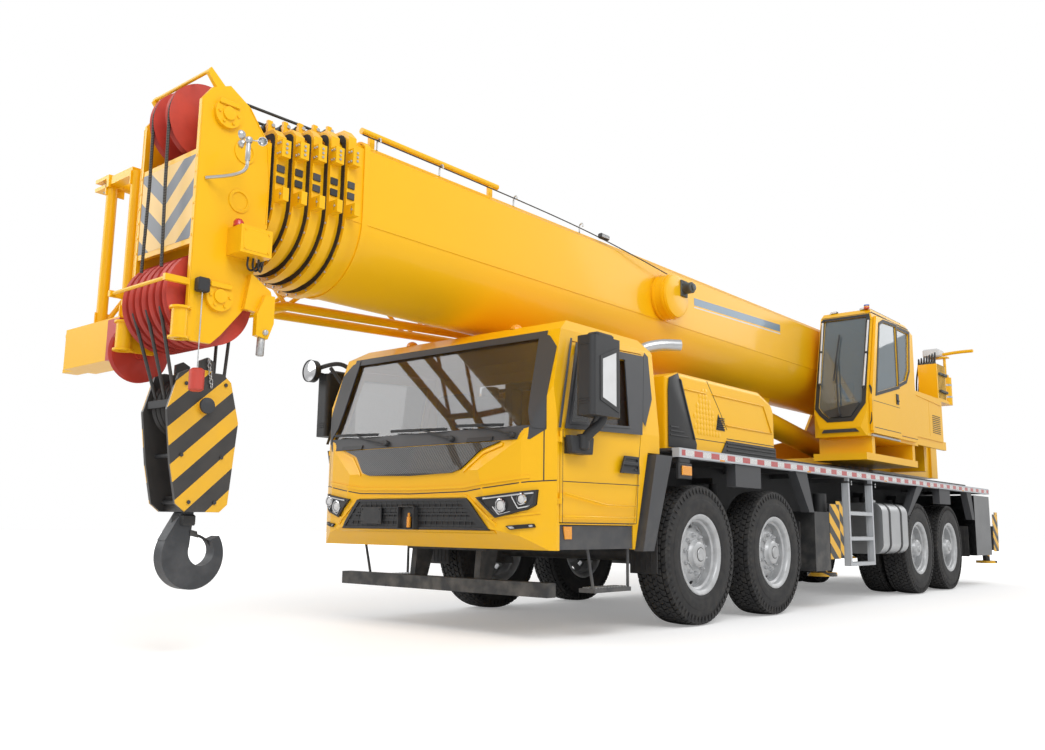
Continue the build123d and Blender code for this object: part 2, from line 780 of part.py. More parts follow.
# ================================================================ driver's cab
# side views in x and z, plans in x and y, front views in y and z
cab_side = [(cab_front_x - 204, cab_bottom), (cab_front_x - 30, 815), (cab_front_x, 1250),
            (cab_front_x - 110, 1530), (cab_front_x - 350, 2330), (cab_front_x - 520, cab_top), (cab_rear_x + 100, cab_top),
            (cab_rear_x, cab_top - 120), (cab_rear_x, 1450), (cab_rear_x + 180, 1450),
            (cab_rear_x + 380, cab_bottom)]
cab_plan = [(cab_rear_x, -cab_half), (cab_front_x - 230, -cab_half), (cab_front_x - 90, -1090),
            (cab_front_x, -740), (cab_front_x, 740), (cab_front_x - 90, 1090),
            (cab_front_x - 230, cab_half), (cab_rear_x, cab_half)]
cab_front = mirrored_outline([(cab_half, cab_bottom), (cab_half, 1600), (cab_half - 70, 2330),
                              (cab_half - 150, cab_top)])
door_side = [(cab_front_x - 255, 860), (cab_front_x - 255, 1580), (cab_front_x - 480, 2250),
             (cab_rear_x + 170, 2290), (cab_rear_x + 390, 860)]
door_window_side = [(cab_front_x - 340, 1600), (cab_front_x - 520, 2170), (cab_rear_x + 260, 2200),
                    (cab_rear_x + 330, 1640)]
screen_half = [(1150, 1560), (1080, 2280)]
screen_front = mirrored_outline(screen_half)
grille_half = [(820, 812), (615, 1030)]
grille_slot = 36
grille_slots = (842, 902, 962)


def grille_width(z):
    """Half the width of the grille's openings at a height."""
    (low_y, low_z), (high_y, high_z) = grille_half
    return low_y + (high_y - low_y) * (z - low_z) / (high_z - low_z) - 2 * grille_slot


headlamp = [(730, 1045), (1205, 1100), (1195, 990), (1140, 955), (905, 895)]
fog_lamp = [(985, 838), (1180, 855), (1190, 830), (1020, 810)]
screen_apron = [(0, 1222), (480, 1235), (570, 1262), (720, 1405), (900, 1462), (0, 1462)]

cab_outer = volume(cab_side, cab_plan, cab_front)
cab_space = volume(cab_side, cab_plan, cab_front, cab_wall)
pane_outer = volume(cab_side, cab_plan, cab_front, pane_inset)
pane_inner = volume(cab_side, cab_plan, cab_front, pane_inset + pane_thickness)

hinge_x = door_side[0][0]
hinge_y = cab_half + hinge_r + 2

with BuildPart() as floor:
    add(cab_space)
    block((-far, far), (-far, far), (cab_floor_z, cab_floor_z + cab_wall), Mode.INTERSECT)
cab_floor = floor.part

with BuildPart() as driver_cab:
    add(cab_outer)
    add(cab_space, mode=Mode.SUBTRACT)
    add(cab_floor)
    for y in both_sides((cab_half - 3 * cab_wall, far)):
        side_plate(door_side, y, Mode.SUBTRACT)
    # open underneath, behind the front skin, and cut away over the step boxes
    block((cab_rear_x - 1, cab_front_x - 5 * cab_wall), (cab_wall - cab_half, cab_half - cab_wall),
          (0, cab_floor_z), Mode.SUBTRACT)
    for y in both_sides((cab_half - cab_wall - 1, far)):
        block((step_x[0] - clear, step_x[1] + clear), y, (0, sill_z), Mode.SUBTRACT)
    front_plate(screen_front, (cab_front_x - screen_depth, far), Mode.SUBTRACT)
    front_plate(rear_window, (-far, cab_rear_x + 2 * cab_wall), Mode.SUBTRACT)
    for side in (1, -1):
        for z in hinge_z:
            rod((hinge_x, side * hinge_y, z), (hinge_x, side * hinge_y, z + hinge_length), hinge_r)
            block((hinge_x, hinge_x + hinge_leaf / 2), sorted((side * (cab_half - hinge_r), side * hinge_y)),
                  (z, z + hinge_length))
finish(driver_cab, "driver_cab")

with BuildPart() as cab_glass:
    add(pane_outer)
    add(pane_inner, mode=Mode.SUBTRACT)
    front_plate(mirrored_outline([(1150 - run_gap, 1560 + run_gap), (1080 - run_gap, 2280 - run_gap)]),
                (cab_front_x - screen_depth, far), Mode.INTERSECT)
finish(cab_glass, "cab_glass")

door_cuts = (("left", 1, (0, far)), ("right", -1, (-far, 0)))
for side_name, side, y in door_cuts:
    with BuildPart() as door:
        add(cab_outer)
        add(cab_space, mode=Mode.SUBTRACT)
        extrude(outline(Plane.XZ.offset(-y[1]), door_side, part_gap), amount=far, dir=(0, -1, 0),
                mode=Mode.INTERSECT)
        side_plate(door_window_side, y, Mode.SUBTRACT)
        for z in hinge_z:
            z += hinge_length + run_gap
            rod((hinge_x, side * hinge_y, z), (hinge_x, side * hinge_y, z + hinge_length), hinge_r)
            block((hinge_x - hinge_leaf, hinge_x), sorted((side * (cab_half - hinge_r), side * hinge_y)),
                  (z, z + hinge_length))
    finish(door, f"cab_door_{side_name}")
    with BuildPart() as door_glass:
        add(pane_outer)
        add(pane_inner, mode=Mode.SUBTRACT)
        extrude(outline(Plane.XZ.offset(-y[1]), door_window_side, run_gap), amount=far, dir=(0, -1, 0),
                mode=Mode.INTERSECT)
    finish(door_glass, f"cab_door_glass_{side_name}")

with BuildPart() as cab_interior:
    for y in both_sides(seat_y):
        block(cushion_x, y, (cab_floor_z + cab_wall, seat_z))
        block(backrest_x, y, (seat_z - seat_overlap, seat_z + backrest_height))
    block(dash_x, (-dash_half, dash_half), (cab_floor_z + cab_wall, dash_top))
finish(cab_interior, "cab_interior")

trim_outer = volume(cab_side, cab_plan, cab_front, -trim_thickness)
grille_x = (cab_front_x - grille_reach, far)
with BuildPart() as front_grille:
    add(trim_outer)
    add(cab_outer, mode=Mode.SUBTRACT)
    with BuildPart(mode=Mode.PRIVATE) as shapes:
        front_plate(mirrored_outline(grille_half), grille_x)
        for low_z in grille_slots:
            high_z = low_z + grille_slot
            front_plate(mirrored_outline([(grille_width(low_z), low_z), (grille_width(high_z), high_z)]),
                        grille_x, Mode.SUBTRACT)
        for row in (headlamp, fog_lamp, screen_apron):
            front_plate(row, grille_x)
            front_plate([(-y, z) for y, z in row], grille_x)
    add(shapes.part, mode=Mode.INTERSECT)
finish(front_grille, "front_grille")

for side_name, side in sides:
    with BuildPart() as mirror:
        block(mirror_x, sorted((side * mirror_y[0], side * mirror_y[1])), mirror_z)
        fillet(mirror.edges().filter_by(Axis.Z), mirror_round)
        middle_x = (mirror_x[0] + mirror_x[1]) / 2
        middle_y = side * (mirror_y[0] + mirror_y[1]) / 2
        foot_y = side * (cab_half + mirror_foot_depth / 2)
        rod((middle_x, middle_y, mirror_z[0] + mirror_arm_r),
            (mirror_foot_x[0] + 2 * mirror_arm_r, foot_y, mirror_foot_z[1] - 2 * mirror_arm_r), mirror_arm_r)
        block(mirror_foot_x, sorted((side * (cab_half - cab_wall), side * (cab_half + mirror_foot_depth))),
              mirror_foot_z)
        if side < 0:
            x, y, z = round_mirror
            rod((middle_x, middle_y, mirror_z[1] - mirror_arm_r), (x, -y, z), mirror_arm_r / 2)
            rod((x, -y, z), (x + round_mirror_depth, -y, z), round_mirror_r)
        add(cab_outer, mode=Mode.SUBTRACT)
    finish(mirror, f"mirror_{side_name}")

# ================================================================ engine hood
hood_side = [(hood_x[1], deck_top), (hood_x[1], hood_top[0]), (hood_x[1] - hood_front_slope, hood_top[1]),
             (hood_x[0] + hood_rear_round, hood_top[1]), (hood_x[0], hood_shoulder_z), (hood_x[0], deck_top)]
with BuildPart() as engine_hood:
    side_plate(hood_side, (-hood_half, hood_half))
    rear_edge = engine_hood.edges().filter_by(Axis.Y).group_by(Axis.X)[0].sort_by(Axis.Z)[-1]
    fillet(rear_edge, hood_rear_round / 2)
    upper_edges = engine_hood.edges().filter_by(lambda edge: edge.center().Z > deck_top + 1)
    side_edges = upper_edges.filter_by(lambda edge: abs(edge.center().Y) > hood_half - 1)
    fillet(side_edges.filter_by(lambda edge: edge.length > hood_wall), hood_edge_round)
    hood_inside = outline(Plane.XZ.offset(-hood_half + hood_wall), hood_side, 2 * hood_wall)
    extrude(hood_inside, amount=2 * (hood_half - hood_wall), dir=(0, -1, 0), mode=Mode.SUBTRACT)
    block((hood_x[0] + 2 * hood_wall, hood_x[1] - 2 * hood_wall), (-frame_half, frame_half),
          (deck_top - hood_wall, deck_top + 3 * hood_wall), Mode.SUBTRACT)
finish(engine_hood, "engine_hood")

# ================================================================ slewing ring and turntable
with BuildPart() as slew_ring:
    ring_z = deck_top + seat_rib
    with BuildSketch(Plane.XY.offset(ring_z)) as gear:
        with Locations((slew_x, 0)):
            Circle(ring_r - ring_tooth_depth)
            tooth_width = 2 * pi * ring_r / ring_tooth_count * ring_tooth_share
            with PolarLocations(ring_r - ring_tooth_depth, ring_tooth_count):
                Rectangle(2 * ring_tooth_depth, tooth_width)
    extrude(gear.sketch, amount=ring_tooth_height)
    with Locations((slew_x, 0, ring_z + (ring_tooth_height + ring_height) / 2)):
        Cylinder(ring_r - 2 * ring_tooth_depth, ring_height - ring_tooth_height)
    with Locations((slew_x, 0, ring_z + ring_height / 2)):
        Cylinder(ring_bore, ring_height, mode=Mode.SUBTRACT)
finish(slew_ring, "slew_ring")

plate_out = plate_y + plate_thickness
cover_bracket_y = operator_y[1] - 2 * bracket_beam
with BuildPart() as turntable:
    with Locations((slew_x, 0, platform_bottom + platform_height / 2)):
        Cylinder(ring_r, platform_height)
        Cylinder(ring_bore, platform_height, mode=Mode.SUBTRACT)
    block(platform_x, (-plate_out, plate_out), (platform_bottom, platform_bottom + platform_height))
    block(luff_well_x, (-luff_well, luff_well), (0, platform_bottom + 2 * platform_height),
          Mode.SUBTRACT)
    cross_pin(luff_base_x, luff_base_z, luff_pin_r + luff_boss + run_gap, (-plate_y, plate_y), Mode.SUBTRACT)
    for y in both_sides((plate_y, plate_out)):
        side_plate(turntable_side, y)
    for y in both_sides((foot_half + 1, plate_y)):
        cross_pin(foot_pin_x, foot_pin_z, foot_pin_r + foot_boss, y)
    cross_pin(foot_pin_x, foot_pin_z, foot_pin_r + run_gap, (-far, far), Mode.SUBTRACT)
    # lugs and pin at the foot of the luffing cylinder
    for y in both_sides((luff_eye_half + clear, plate_y - run_gap)):
        cross_pin(luff_base_x, luff_base_z, luff_pin_r + luff_boss, y)
    cross_pin(luff_base_x, luff_base_z, luff_pin_r + run_gap, (-plate_y + run_gap, plate_y - run_gap),
              Mode.SUBTRACT)
    cross_pin(foot_pin_x, foot_pin_z, foot_pin_r, (-plate_out - pin_end, plate_out + pin_end))
    cross_pin(luff_base_x, luff_base_z, luff_pin_r, (-plate_y + 2 * run_gap, plate_y - 2 * run_gap))
    # bracket that carries the operator's cab, with two cross beams under its floor
    bracket_y = (plate_out, operator_y[1] - 2 * part_gap)
    block((operator_rear_x, operator_front_x), bracket_y, (platform_bottom, platform_bottom + platform_height))
    for x in (operator_rear_x + bracket_beam, operator_front_x - 3 * bracket_beam):
        block((x, x + bracket_beam), bracket_y, (platform_bottom, operator_bottom - run_gap))
    # valve bank and accumulator on a shelf behind the cab, and the bracket of the side cover
    shelf_top = valve_bank[2][0]
    block((accumulator[0] - accumulator_r, valve_bank[0][1]), (plate_out + run_gap, valve_bank[1][1]),
          (shelf_top - plate_thickness, shelf_top))
    block(*valve_bank)
    block((cover_x[0] + 2 * bracket_beam, cover_x[0] + 3 * bracket_beam), (plate_out + run_gap, cover_bracket_y),
          (platform_bottom, cover_z[0] - run_gap))
    x, y, low_z, high_z = accumulator
    rod((x, y, low_z), (x, y, high_z - accumulator_r / 2), accumulator_r)
    rod((x, y, high_z - accumulator_r), (x, y, high_z), accumulator_r * 0.6)
finish(turntable, "turntable")

with BuildPart() as counterweight:
    block((tail_x, tail_x + tail_depth), (-tail_half, tail_half), (platform_bottom, tail_top))
finish(counterweight, "counterweight")

with BuildPart() as winches:
    for x, z, r in winch_rows:
        cross_pin(x, z, r, (-winch_half, winch_half))
        for y in both_sides((winch_half, winch_half + winch_flange)):
            cross_pin(x, z, r + winch_rim, y)
        cross_pin(x, z, r / 3, (-plate_y, plate_y))
finish(winches, "winches")

# ================================================================ operator's cab
front = operator_front_x
rear = operator_rear_x
floor_z = operator_bottom
top = operator_top
outer_y = operator_y[1]
operator_side = [(front - 30, floor_z), (front, floor_z + 110), (front - 60, 2460), (front - 370, top - 80),
                 (front - 480, top), (rear + 110, top), (rear, top - 120), (rear, floor_z)]
operator_plan = [(rear, operator_y[0]), (front - 40, operator_y[0]), (front, operator_y[0] + 80),
                 (front, outer_y - 80), (front - 40, outer_y), (rear, outer_y)]
operator_front = [(operator_y[0], floor_z), (outer_y, floor_z), (outer_y, top - 130), (outer_y - 60, top),
                  (operator_y[0], top)]
operator_screen = [(operator_y[0] + 110, 2330), (operator_y[0] + 200, 2250), (outer_y - 200, 2250),
                   (outer_y - 70, 2440), (outer_y - 70, top - 120), (operator_y[0] + 60, top - 120),
                   (operator_y[0] + 60, 2400)]
operator_door_side = [(front - 1150, floor_z + 90), (front - 130, floor_z + 90), (front - 130, 2480),
                      (front - 420, 3580), (front - 1150, 3600)]
operator_window_side = [(front - 1110, 2760), (front - 290, 2580), (front - 500, 3490), (front - 640, 3550),
                        (front - 1110, 3570)]
operator_rear_window = [(front - 1240, 2800), (front - 1560, 2900), (front - 1690, 3060), (front - 1760, 3580),
                        (front - 1240, 3580)]
operator_outer = volume(operator_side, operator_plan, operator_front)
operator_space = volume(operator_side, operator_plan, operator_front, cab_wall)
operator_pane_outer = volume(operator_side, operator_plan, operator_front, pane_inset)
operator_pane_inner = volume(operator_side, operator_plan, operator_front, pane_inset + pane_thickness)

with BuildPart() as operator_cab:
    add(operator_outer)
    add(operator_space, mode=Mode.SUBTRACT)
    front_plate(operator_screen, (front - screen_reach, far), Mode.SUBTRACT)
    side_plate(operator_door_side, (outer_y - 2 * cab_wall, far), Mode.SUBTRACT)
    side_plate(operator_rear_window, (outer_y - 2 * cab_wall, far), Mode.SUBTRACT)
    # runner under the sliding door
    runner_top = operator_door_side[0][1] - door_lap - run_gap
    block((operator_door_side[0][0] - door_lap - operator_door_travel, operator_door_side[1][0]),
          (operator_y[1] - cab_wall, operator_y[1] + clear + operator_door_thickness),
          (runner_top - runner_height, runner_top))
    # side cover behind the cab, and the skirt under both
    block(cover_x, (plate_out + clear, outer_y), cover_z)
    block((cover_x[0] + cover_wall, cover_x[1] - cover_wall), (0, outer_y - cover_wall),
          (cover_z[0] + cover_wall, cover_z[1] - cover_wall), Mode.SUBTRACT)
    block((cover_x[1] - 1, rear + 1), (outer_y - cover_wall, outer_y), cover_z)
    block(skirt_x, (outer_y - 2 * cover_wall, outer_y - cover_wall / 2),
          (skirt_z[0], cover_z[0] + cover_wall / 2))
finish(operator_cab, "operator_cab")

with BuildPart() as operator_glass:
    add(operator_pane_outer)
    add(operator_pane_inner, mode=Mode.SUBTRACT)
    with BuildPart(mode=Mode.PRIVATE) as panes:
        extrude(outline(Plane.YZ.offset(front - screen_reach), operator_screen, run_gap), amount=far,
                dir=(1, 0, 0))
        extrude(outline(Plane.XZ.offset(-far), operator_rear_window, run_gap),
                amount=far - operator_y[1] + 2 * cab_wall, dir=(0, -1, 0))
    add(panes.part, mode=Mode.INTERSECT)
finish(operator_glass, "operator_glass")

with BuildPart() as operator_seat:
    seat_x = rear + operator_seat_inset
    seat_top = floor_z + operator_seat_height
    block((seat_x, seat_x + operator_seat_depth), (operator_y[0] + seat_side, outer_y - seat_side),
          (floor_z + cab_wall, seat_top))
    block((seat_x - 2 * seat_back, seat_x), (operator_y[0] + seat_side, outer_y - seat_side),
          (floor_z + cab_wall, seat_top + operator_back_height))
finish(operator_seat, "operator_seat")

door_y = (operator_y[1] + clear, operator_y[1] + clear + operator_door_thickness)
with BuildPart() as operator_door:
    extrude(outline(Plane.XZ.offset(-door_y[1]), operator_door_side, -door_lap),
            amount=operator_door_thickness, dir=(0, -1, 0))
    side_plate(operator_window_side, door_y, Mode.SUBTRACT)
finish(operator_door, "operator_door")

with BuildPart() as operator_door_glass:
    pane_y = (door_y[0] + pane_inset, door_y[0] + pane_inset + pane_thickness)
    extrude(outline(Plane.XZ.offset(-pane_y[1]), operator_window_side, run_gap), amount=pane_thickness,
            dir=(0, -1, 0))
finish(operator_door_glass, "operator_door_glass")


# ================================================================ boom
def boom_outline(x, inset):
    """The boom's section: flat top and sides over a half-round underside, set in all round."""
    half = boom_half - inset
    top = boom_top - inset
    with BuildSketch(Plane.YZ.offset(x)) as section:
        with BuildLine():
            Polyline((-half, round_z), (-half, top - boom_corner), (-half + boom_corner, top),
                     (half - boom_corner, top), (half, top - boom_corner), (half, round_z))
            RadiusArc((half, round_z), (-half, round_z), half)
        make_face()
    return section.sketch


def boom_tube(x, inset, wall):
    """A length of boom section, open at both ends."""
    extrude(boom_outline(x[0], inset), amount=x[1] - x[0], dir=(1, 0, 0))
    extrude(boom_outline(x[0], inset + wall), amount=x[1] - x[0], dir=(1, 0, 0), mode=Mode.SUBTRACT)


def collar(index):
    """The reinforced front end of one section, with pads that the next section slides on."""
    inset = index * section_step
    front_x = collar_front_x + index * collar_pitch
    span = (front_x - collar_width, front_x)
    next_half = boom_half - inset - section_step
    extrude(boom_outline(span[0], inset - collar_height), amount=collar_width, dir=(1, 0, 0))
    extrude(boom_outline(span[0], inset + section_step - clear), amount=collar_width, dir=(1, 0, 0),
            mode=Mode.SUBTRACT)
    for y in both_sides((next_half + run_gap, next_half + section_step)):
        block(span, y, (round_z + pad_height, round_z + 2 * pad_height))
    # ears with a rope roller on top, a pad box and a rope guide on each side
    top = boom_top - inset
    outer = boom_half - inset + collar_height
    for y in both_sides((ear_y, ear_y + ear_width)):
        side_plate([(span[0], top), (span[1], top), (span[1], top + ear_height),
                    (front_x - collar_width / 2, top + ear_height), (span[0], top + collar_height)], y)
    cross_pin(front_x - 1.5 * ear_roller_r, top + ear_height - 1.2 * ear_roller_r, ear_roller_r,
              (-ear_y - ear_width / 2, ear_y + ear_width / 2))
    for y in both_sides((outer - 1, outer + pad_box_reach)):
        block(span, y, (pad_box_z[0] - inset / 2, pad_box_z[1] - inset / 2))
    for y in both_sides((outer - 1, outer + guide_reach)):
        block((span[0] + ear_width, span[1]), y, guide_z)


def tail_pads(index):
    """Pads at the rear end of a section, which slide in the section around it."""
    inset = index * section_step
    half = boom_half - inset
    rear_x = boom_rear_x + index * collar_tail
    for y in both_sides((half - 1, half + section_step - boom_wall - run_gap)):
        block((rear_x, rear_x + pad_length), y, (round_z + pad_height, round_z + 2 * pad_height))


with BuildPart() as boom_base:
    boom_tube((boom_rear_x, collar_front_x - collar_width - run_gap), 0, boom_wall)
    collar(0)
    # foot: two cheeks that run back to the pin
    for y in both_sides((foot_half - foot_thickness, foot_half)):
        side_plate([(foot_pin_x - foot_boss_r, foot_pin_z),
                    (foot_pin_x - foot_boss_r / 2, foot_pin_z + foot_boss_r),
                    (boom_rear_x + foot_overlap, boom_top - 2 * boom_corner),
                    (boom_rear_x + foot_overlap, round_z),
                    (foot_pin_x - foot_boss_r / 2, foot_pin_z - foot_boss_r)], y)
    cross_pin(foot_pin_x, foot_pin_z, foot_pin_r + run_gap, (-foot_half - 1, foot_half + 1), Mode.SUBTRACT)
    with BuildPart(mode=Mode.PRIVATE) as bore:
        extrude(boom_outline(boom_rear_x, boom_wall), amount=collar_front_x - boom_rear_x, dir=(1, 0, 0))
    add(bore.part, mode=Mode.SUBTRACT)
    # lugs for the luffing cylinder, fitted to the round underside
    with BuildPart(mode=Mode.PRIVATE) as lugs:
        for y in both_sides((luff_eye_half + clear, luff_eye_half + clear + luff_lug)):
            side_plate([(luff_eye_x - luff_lug_reach[0], boom_bottom + lug_sink),
                        (luff_eye_x - luff_lug_half, luff_eye_z - luff_lug_drop),
                        (luff_eye_x + luff_lug_half, luff_eye_z - luff_lug_drop),
                        (luff_eye_x + luff_lug_reach[1], boom_bottom + lug_sink)], y)
        extrude(boom_outline(boom_rear_x, -run_gap), amount=collar_front_x - boom_rear_x, dir=(1, 0, 0),
                mode=Mode.SUBTRACT)
    add(lugs.part)
    cross_pin(reel_x, reel_z, reel_r, (boom_half - boom_wall / 2, boom_half + reel_width))
    # guide bar along the top, on two posts
    rod((top_bar_x[0], top_bar_y, top_bar_z), (top_bar_x[1], top_bar_y, top_bar_z), top_bar_r)
    for x in (top_bar_x[0] + 4 * top_bar_r, top_bar_x[1] - 4 * top_bar_r):
        block((x - top_bar_r, x + top_bar_r), (top_bar_y - top_bar_r / 2, top_bar_y + top_bar_r / 2),
              (boom_top - boom_wall / 2, top_bar_z))
finish(boom_base, "boom_base")

for index, name in enumerate(section_names, start=1):
    with BuildPart() as section:
        collar_rear_x = collar_front_x + index * collar_pitch - collar_width
        boom_tube((boom_rear_x + index * collar_tail, collar_rear_x - run_gap), index * section_step, boom_wall)
        collar(index)
        tail_pads(index)
    finish(section, name)

last = len(section_names) + 1
with BuildPart() as boom_head:
    boom_tube((boom_rear_x + last * collar_tail, head_rear_x - run_gap), last * section_step, boom_wall)
    tail_pads(last)
    for y in both_sides((head_half - head_plate, head_half)):
        side_plate(head_side, y)
    front_plate([(-head_half, head_front_z[0]), (head_half, head_front_z[0]), (head_half, head_front_z[1]),
                 (-head_half, head_front_z[1])], (head_front_x - head_plate, head_front_x))
    front_plate([(-head_half, head_back_z[0]), (head_half, head_back_z[0]), (head_half, head_back_z[1]),
                 (-head_half, head_back_z[1])], (head_rear_x, head_rear_x + head_plate))
    tip_x, tip_z = guard_tip
    low_x, low_z = guard_low
    for side in (1, -1):
        inner = sorted((side * (head_half - head_plate), side * head_half))
        # arms of the rope guards over the upper sheaves and before the lower ones
        side_plate([(tip_x + x, z) for x, z in guard_root]
                   + [(tip_x + guard_arm_half, tip_z - guard_arm_half), (tip_x, tip_z + guard_arm_half)], inner)
        block((head_side[0][0] - guard_arm_half, low_x + guard_arm_half), inner,
              (low_z - guard_arm_half, low_z + guard_arm_half))
        # bosses round the ends of the sheave pins
        for x, z, r in (sheave_upper, sheave_lower):
            cross_pin(x, z, boss_r, sorted((side * (head_half - 1), side * (head_half + boss_depth))))
            cross_pin(x, z, pin_r + run_gap, sorted((side * (head_half - head_plate - 1), side * far)),
                      Mode.SUBTRACT)
        # upright tubes that the jib is pinned to
        flange_r, flange_height = jib_pin_flange
        pin_y = side * jib_pin_y
        rod((jib_pin_x, pin_y, jib_pin_z[0]), (jib_pin_x, pin_y, jib_pin_z[1]), jib_pin_tube_r)
        for z in (jib_pin_z[0], jib_pin_z[1] - flange_height):
            rod((jib_pin_x, pin_y, z), (jib_pin_x, pin_y, z + flange_height), flange_r)
        rod((jib_pin_x, pin_y, jib_pin_z[0] - 1), (jib_pin_x, pin_y, jib_pin_z[1] + 1), jib_pin_r,
            Mode.SUBTRACT)
    cross_pin(tip_x, tip_z, guard_r, (-head_half, head_half))
    cross_pin(low_x, low_z, guard_r, (-head_half, head_half))
    # rope anchor and junction box on the left cheek
    side_plate(anchor_side, (head_half - 1, head_half + anchor_plate))
    side_plate(anchor_link, (head_half + anchor_plate - 1, head_half + 2 * anchor_plate))
    block(junction_x, (head_half - 1, head_half + junction_depth), junction_z)
finish(boom_head, "boom_head")

with BuildPart() as head_sheaves:
    rows = ((sheave_upper, upper_count, upper_span), (sheave_lower, lower_count, lower_span))
    for (x, z, r), count, span in rows:
        cross_pin(x, z, pin_r, (-head_half - boss_depth, head_half + boss_depth))
        for number in range(count):
            y = -span / 2 + span * number / (count - 1)
            sheave(x, z, r, (y - sheave_width / 2, y + sheave_width / 2))
finish(head_sheaves, "head_sheaves")

def chord_points(start, end, bays):
    """Stations from one end of a jib part to the other: x, lower chord z and upper chord z."""
    return [[a + (b - a) * number / bays for a, b in zip(start, end)] for number in range(bays + 1)]


with BuildPart() as jib:
    for y in jib_y:
        up = True
        for start, end, bays in zip(jib_stations, jib_stations[1:], jib_bays):
            for row in (1, 2):
                rod((start[0], y, start[row]), (end[0], y, end[row]), jib_chord_r)
            stations = chord_points(start, end, bays)
            for (x1, low1, high1), (x2, low2, high2) in zip(stations, stations[1:]):
                lace = ((x1, y, low1), (x2, y, high2)) if up else ((x1, y, high1), (x2, y, low2))
                rod(*lace, jib_lace_r)
                up = not up
    # one plane of the lattice on each side, parted from the end frame and where the taper begins
    foot_x, elbow_x = jib_stations[0][0], jib_stations[1][0]
    block((foot_x - jib_chord_r - run_gap, far), (-far, far), (0, far), Mode.SUBTRACT)
    block((jib_beam_x[0] - run_gap, far), (-far, far), (0, jib_beam_z[1] + run_gap), Mode.SUBTRACT)
    block((elbow_x - run_gap / 2, elbow_x + run_gap / 2), (-far, far), (0, far), Mode.SUBTRACT)
    for (x, low_z, high_z), side in zip(jib_stations[1:], (-1, 1)):
        for z in (low_z, high_z):
            rod((x + side * jib_end_r, jib_y[0] + jib_chord_r + run_gap, z),
                (x + side * jib_end_r, jib_y[1] - jib_chord_r - run_gap, z), jib_end_r)
    hanger_z = jib_stations[2][2]
    for x in jib_hanger_x:
        rod((x, jib_y[1] + jib_chord_r + run_gap, hanger_z - jib_end_r), (x, -boom_half, hanger_z - jib_end_r),
            jib_end_r)
    # end frame: a box beam across the foot, an upright on each side and a cross piece with its lugs
    x, low_z, high_z = jib_stations[0]
    block(jib_beam_x, jib_beam_y, jib_beam_z)
    block((jib_beam_x[0] + jib_beam_wall, jib_beam_x[1] - jib_beam_wall), (-far, far),
          (jib_beam_z[0] + jib_beam_wall, jib_beam_z[1] - jib_beam_wall), Mode.SUBTRACT)
    for y in jib_y:
        rod((x, y, jib_beam_z[1] + run_gap), (x, y, high_z), jib_chord_r)
    block((x - jib_chord_r, x + jib_chord_r), jib_y, (high_z - jib_end_r, high_z + jib_end_r))
    lug_reach, lug_thickness, lug_pitch = jib_lug
    for end_y, base_z in ((jib_y[0], high_z), (jib_beam_y[0], (jib_beam_z[0] + jib_beam_z[1]) / 2)):
        pitch = lug_pitch if base_z == high_z else jib_beam_z[1] - jib_beam_z[0] - lug_thickness
        for z in (base_z - pitch / 2, base_z + pitch / 2):
            block(jib_lug_x, (end_y - lug_reach, end_y + jib_chord_r),
                  (z - lug_thickness / 2, z + lug_thickness / 2))
        block(jib_lug_x, (end_y, end_y + jib_chord_r), (base_z - pitch / 2, base_z + pitch / 2))
    x, z, r = jib_sheave
    sheave(x, z, r, (jib_beam_y[1] - 2, jib_beam_y[1] + sheave_width))
    cross_pin(x, z, pin_r, (jib_beam_y[1] - 2, jib_beam_y[1] + sheave_width + jib_beam_wall))
finish(jib, "jib")

# ================================================================ luffing cylinder
run_x = luff_eye_x - luff_base_x
run_z = luff_eye_z - luff_base_z
luff_length = hypot(run_x, run_z)


def along_cylinder(distance):
    """The point at a distance up the luffing cylinder from its lower pin."""
    return (luff_base_x + run_x * distance / luff_length, 0, luff_base_z + run_z * distance / luff_length)


with BuildPart() as cylinder_barrel:
    rod(along_cylinder(0), along_cylinder(barrel_start), barrel_neck_r)
    rod(along_cylinder(barrel_start), along_cylinder(barrel_length), barrel_r)
    cross_pin(luff_base_x, luff_base_z, luff_eye_r, (-luff_eye_half, luff_eye_half))
    rod(along_cylinder(barrel_start + barrel_wall), along_cylinder(barrel_length + 1), rod_r + run_gap,
        Mode.SUBTRACT)
    cross_pin(luff_base_x, luff_base_z, luff_pin_r + run_gap, (-luff_eye_half, luff_eye_half), Mode.SUBTRACT)
finish(cylinder_barrel, "luffing_barrel")

with BuildPart() as cylinder_rod:
    rod(along_cylinder(barrel_start + 2 * barrel_wall), along_cylinder(luff_length - luff_pin_r), rod_r)
    cross_pin(luff_eye_x, luff_eye_z, luff_eye_r, (-luff_eye_half, luff_eye_half))
finish(cylinder_rod, "luffing_rod")

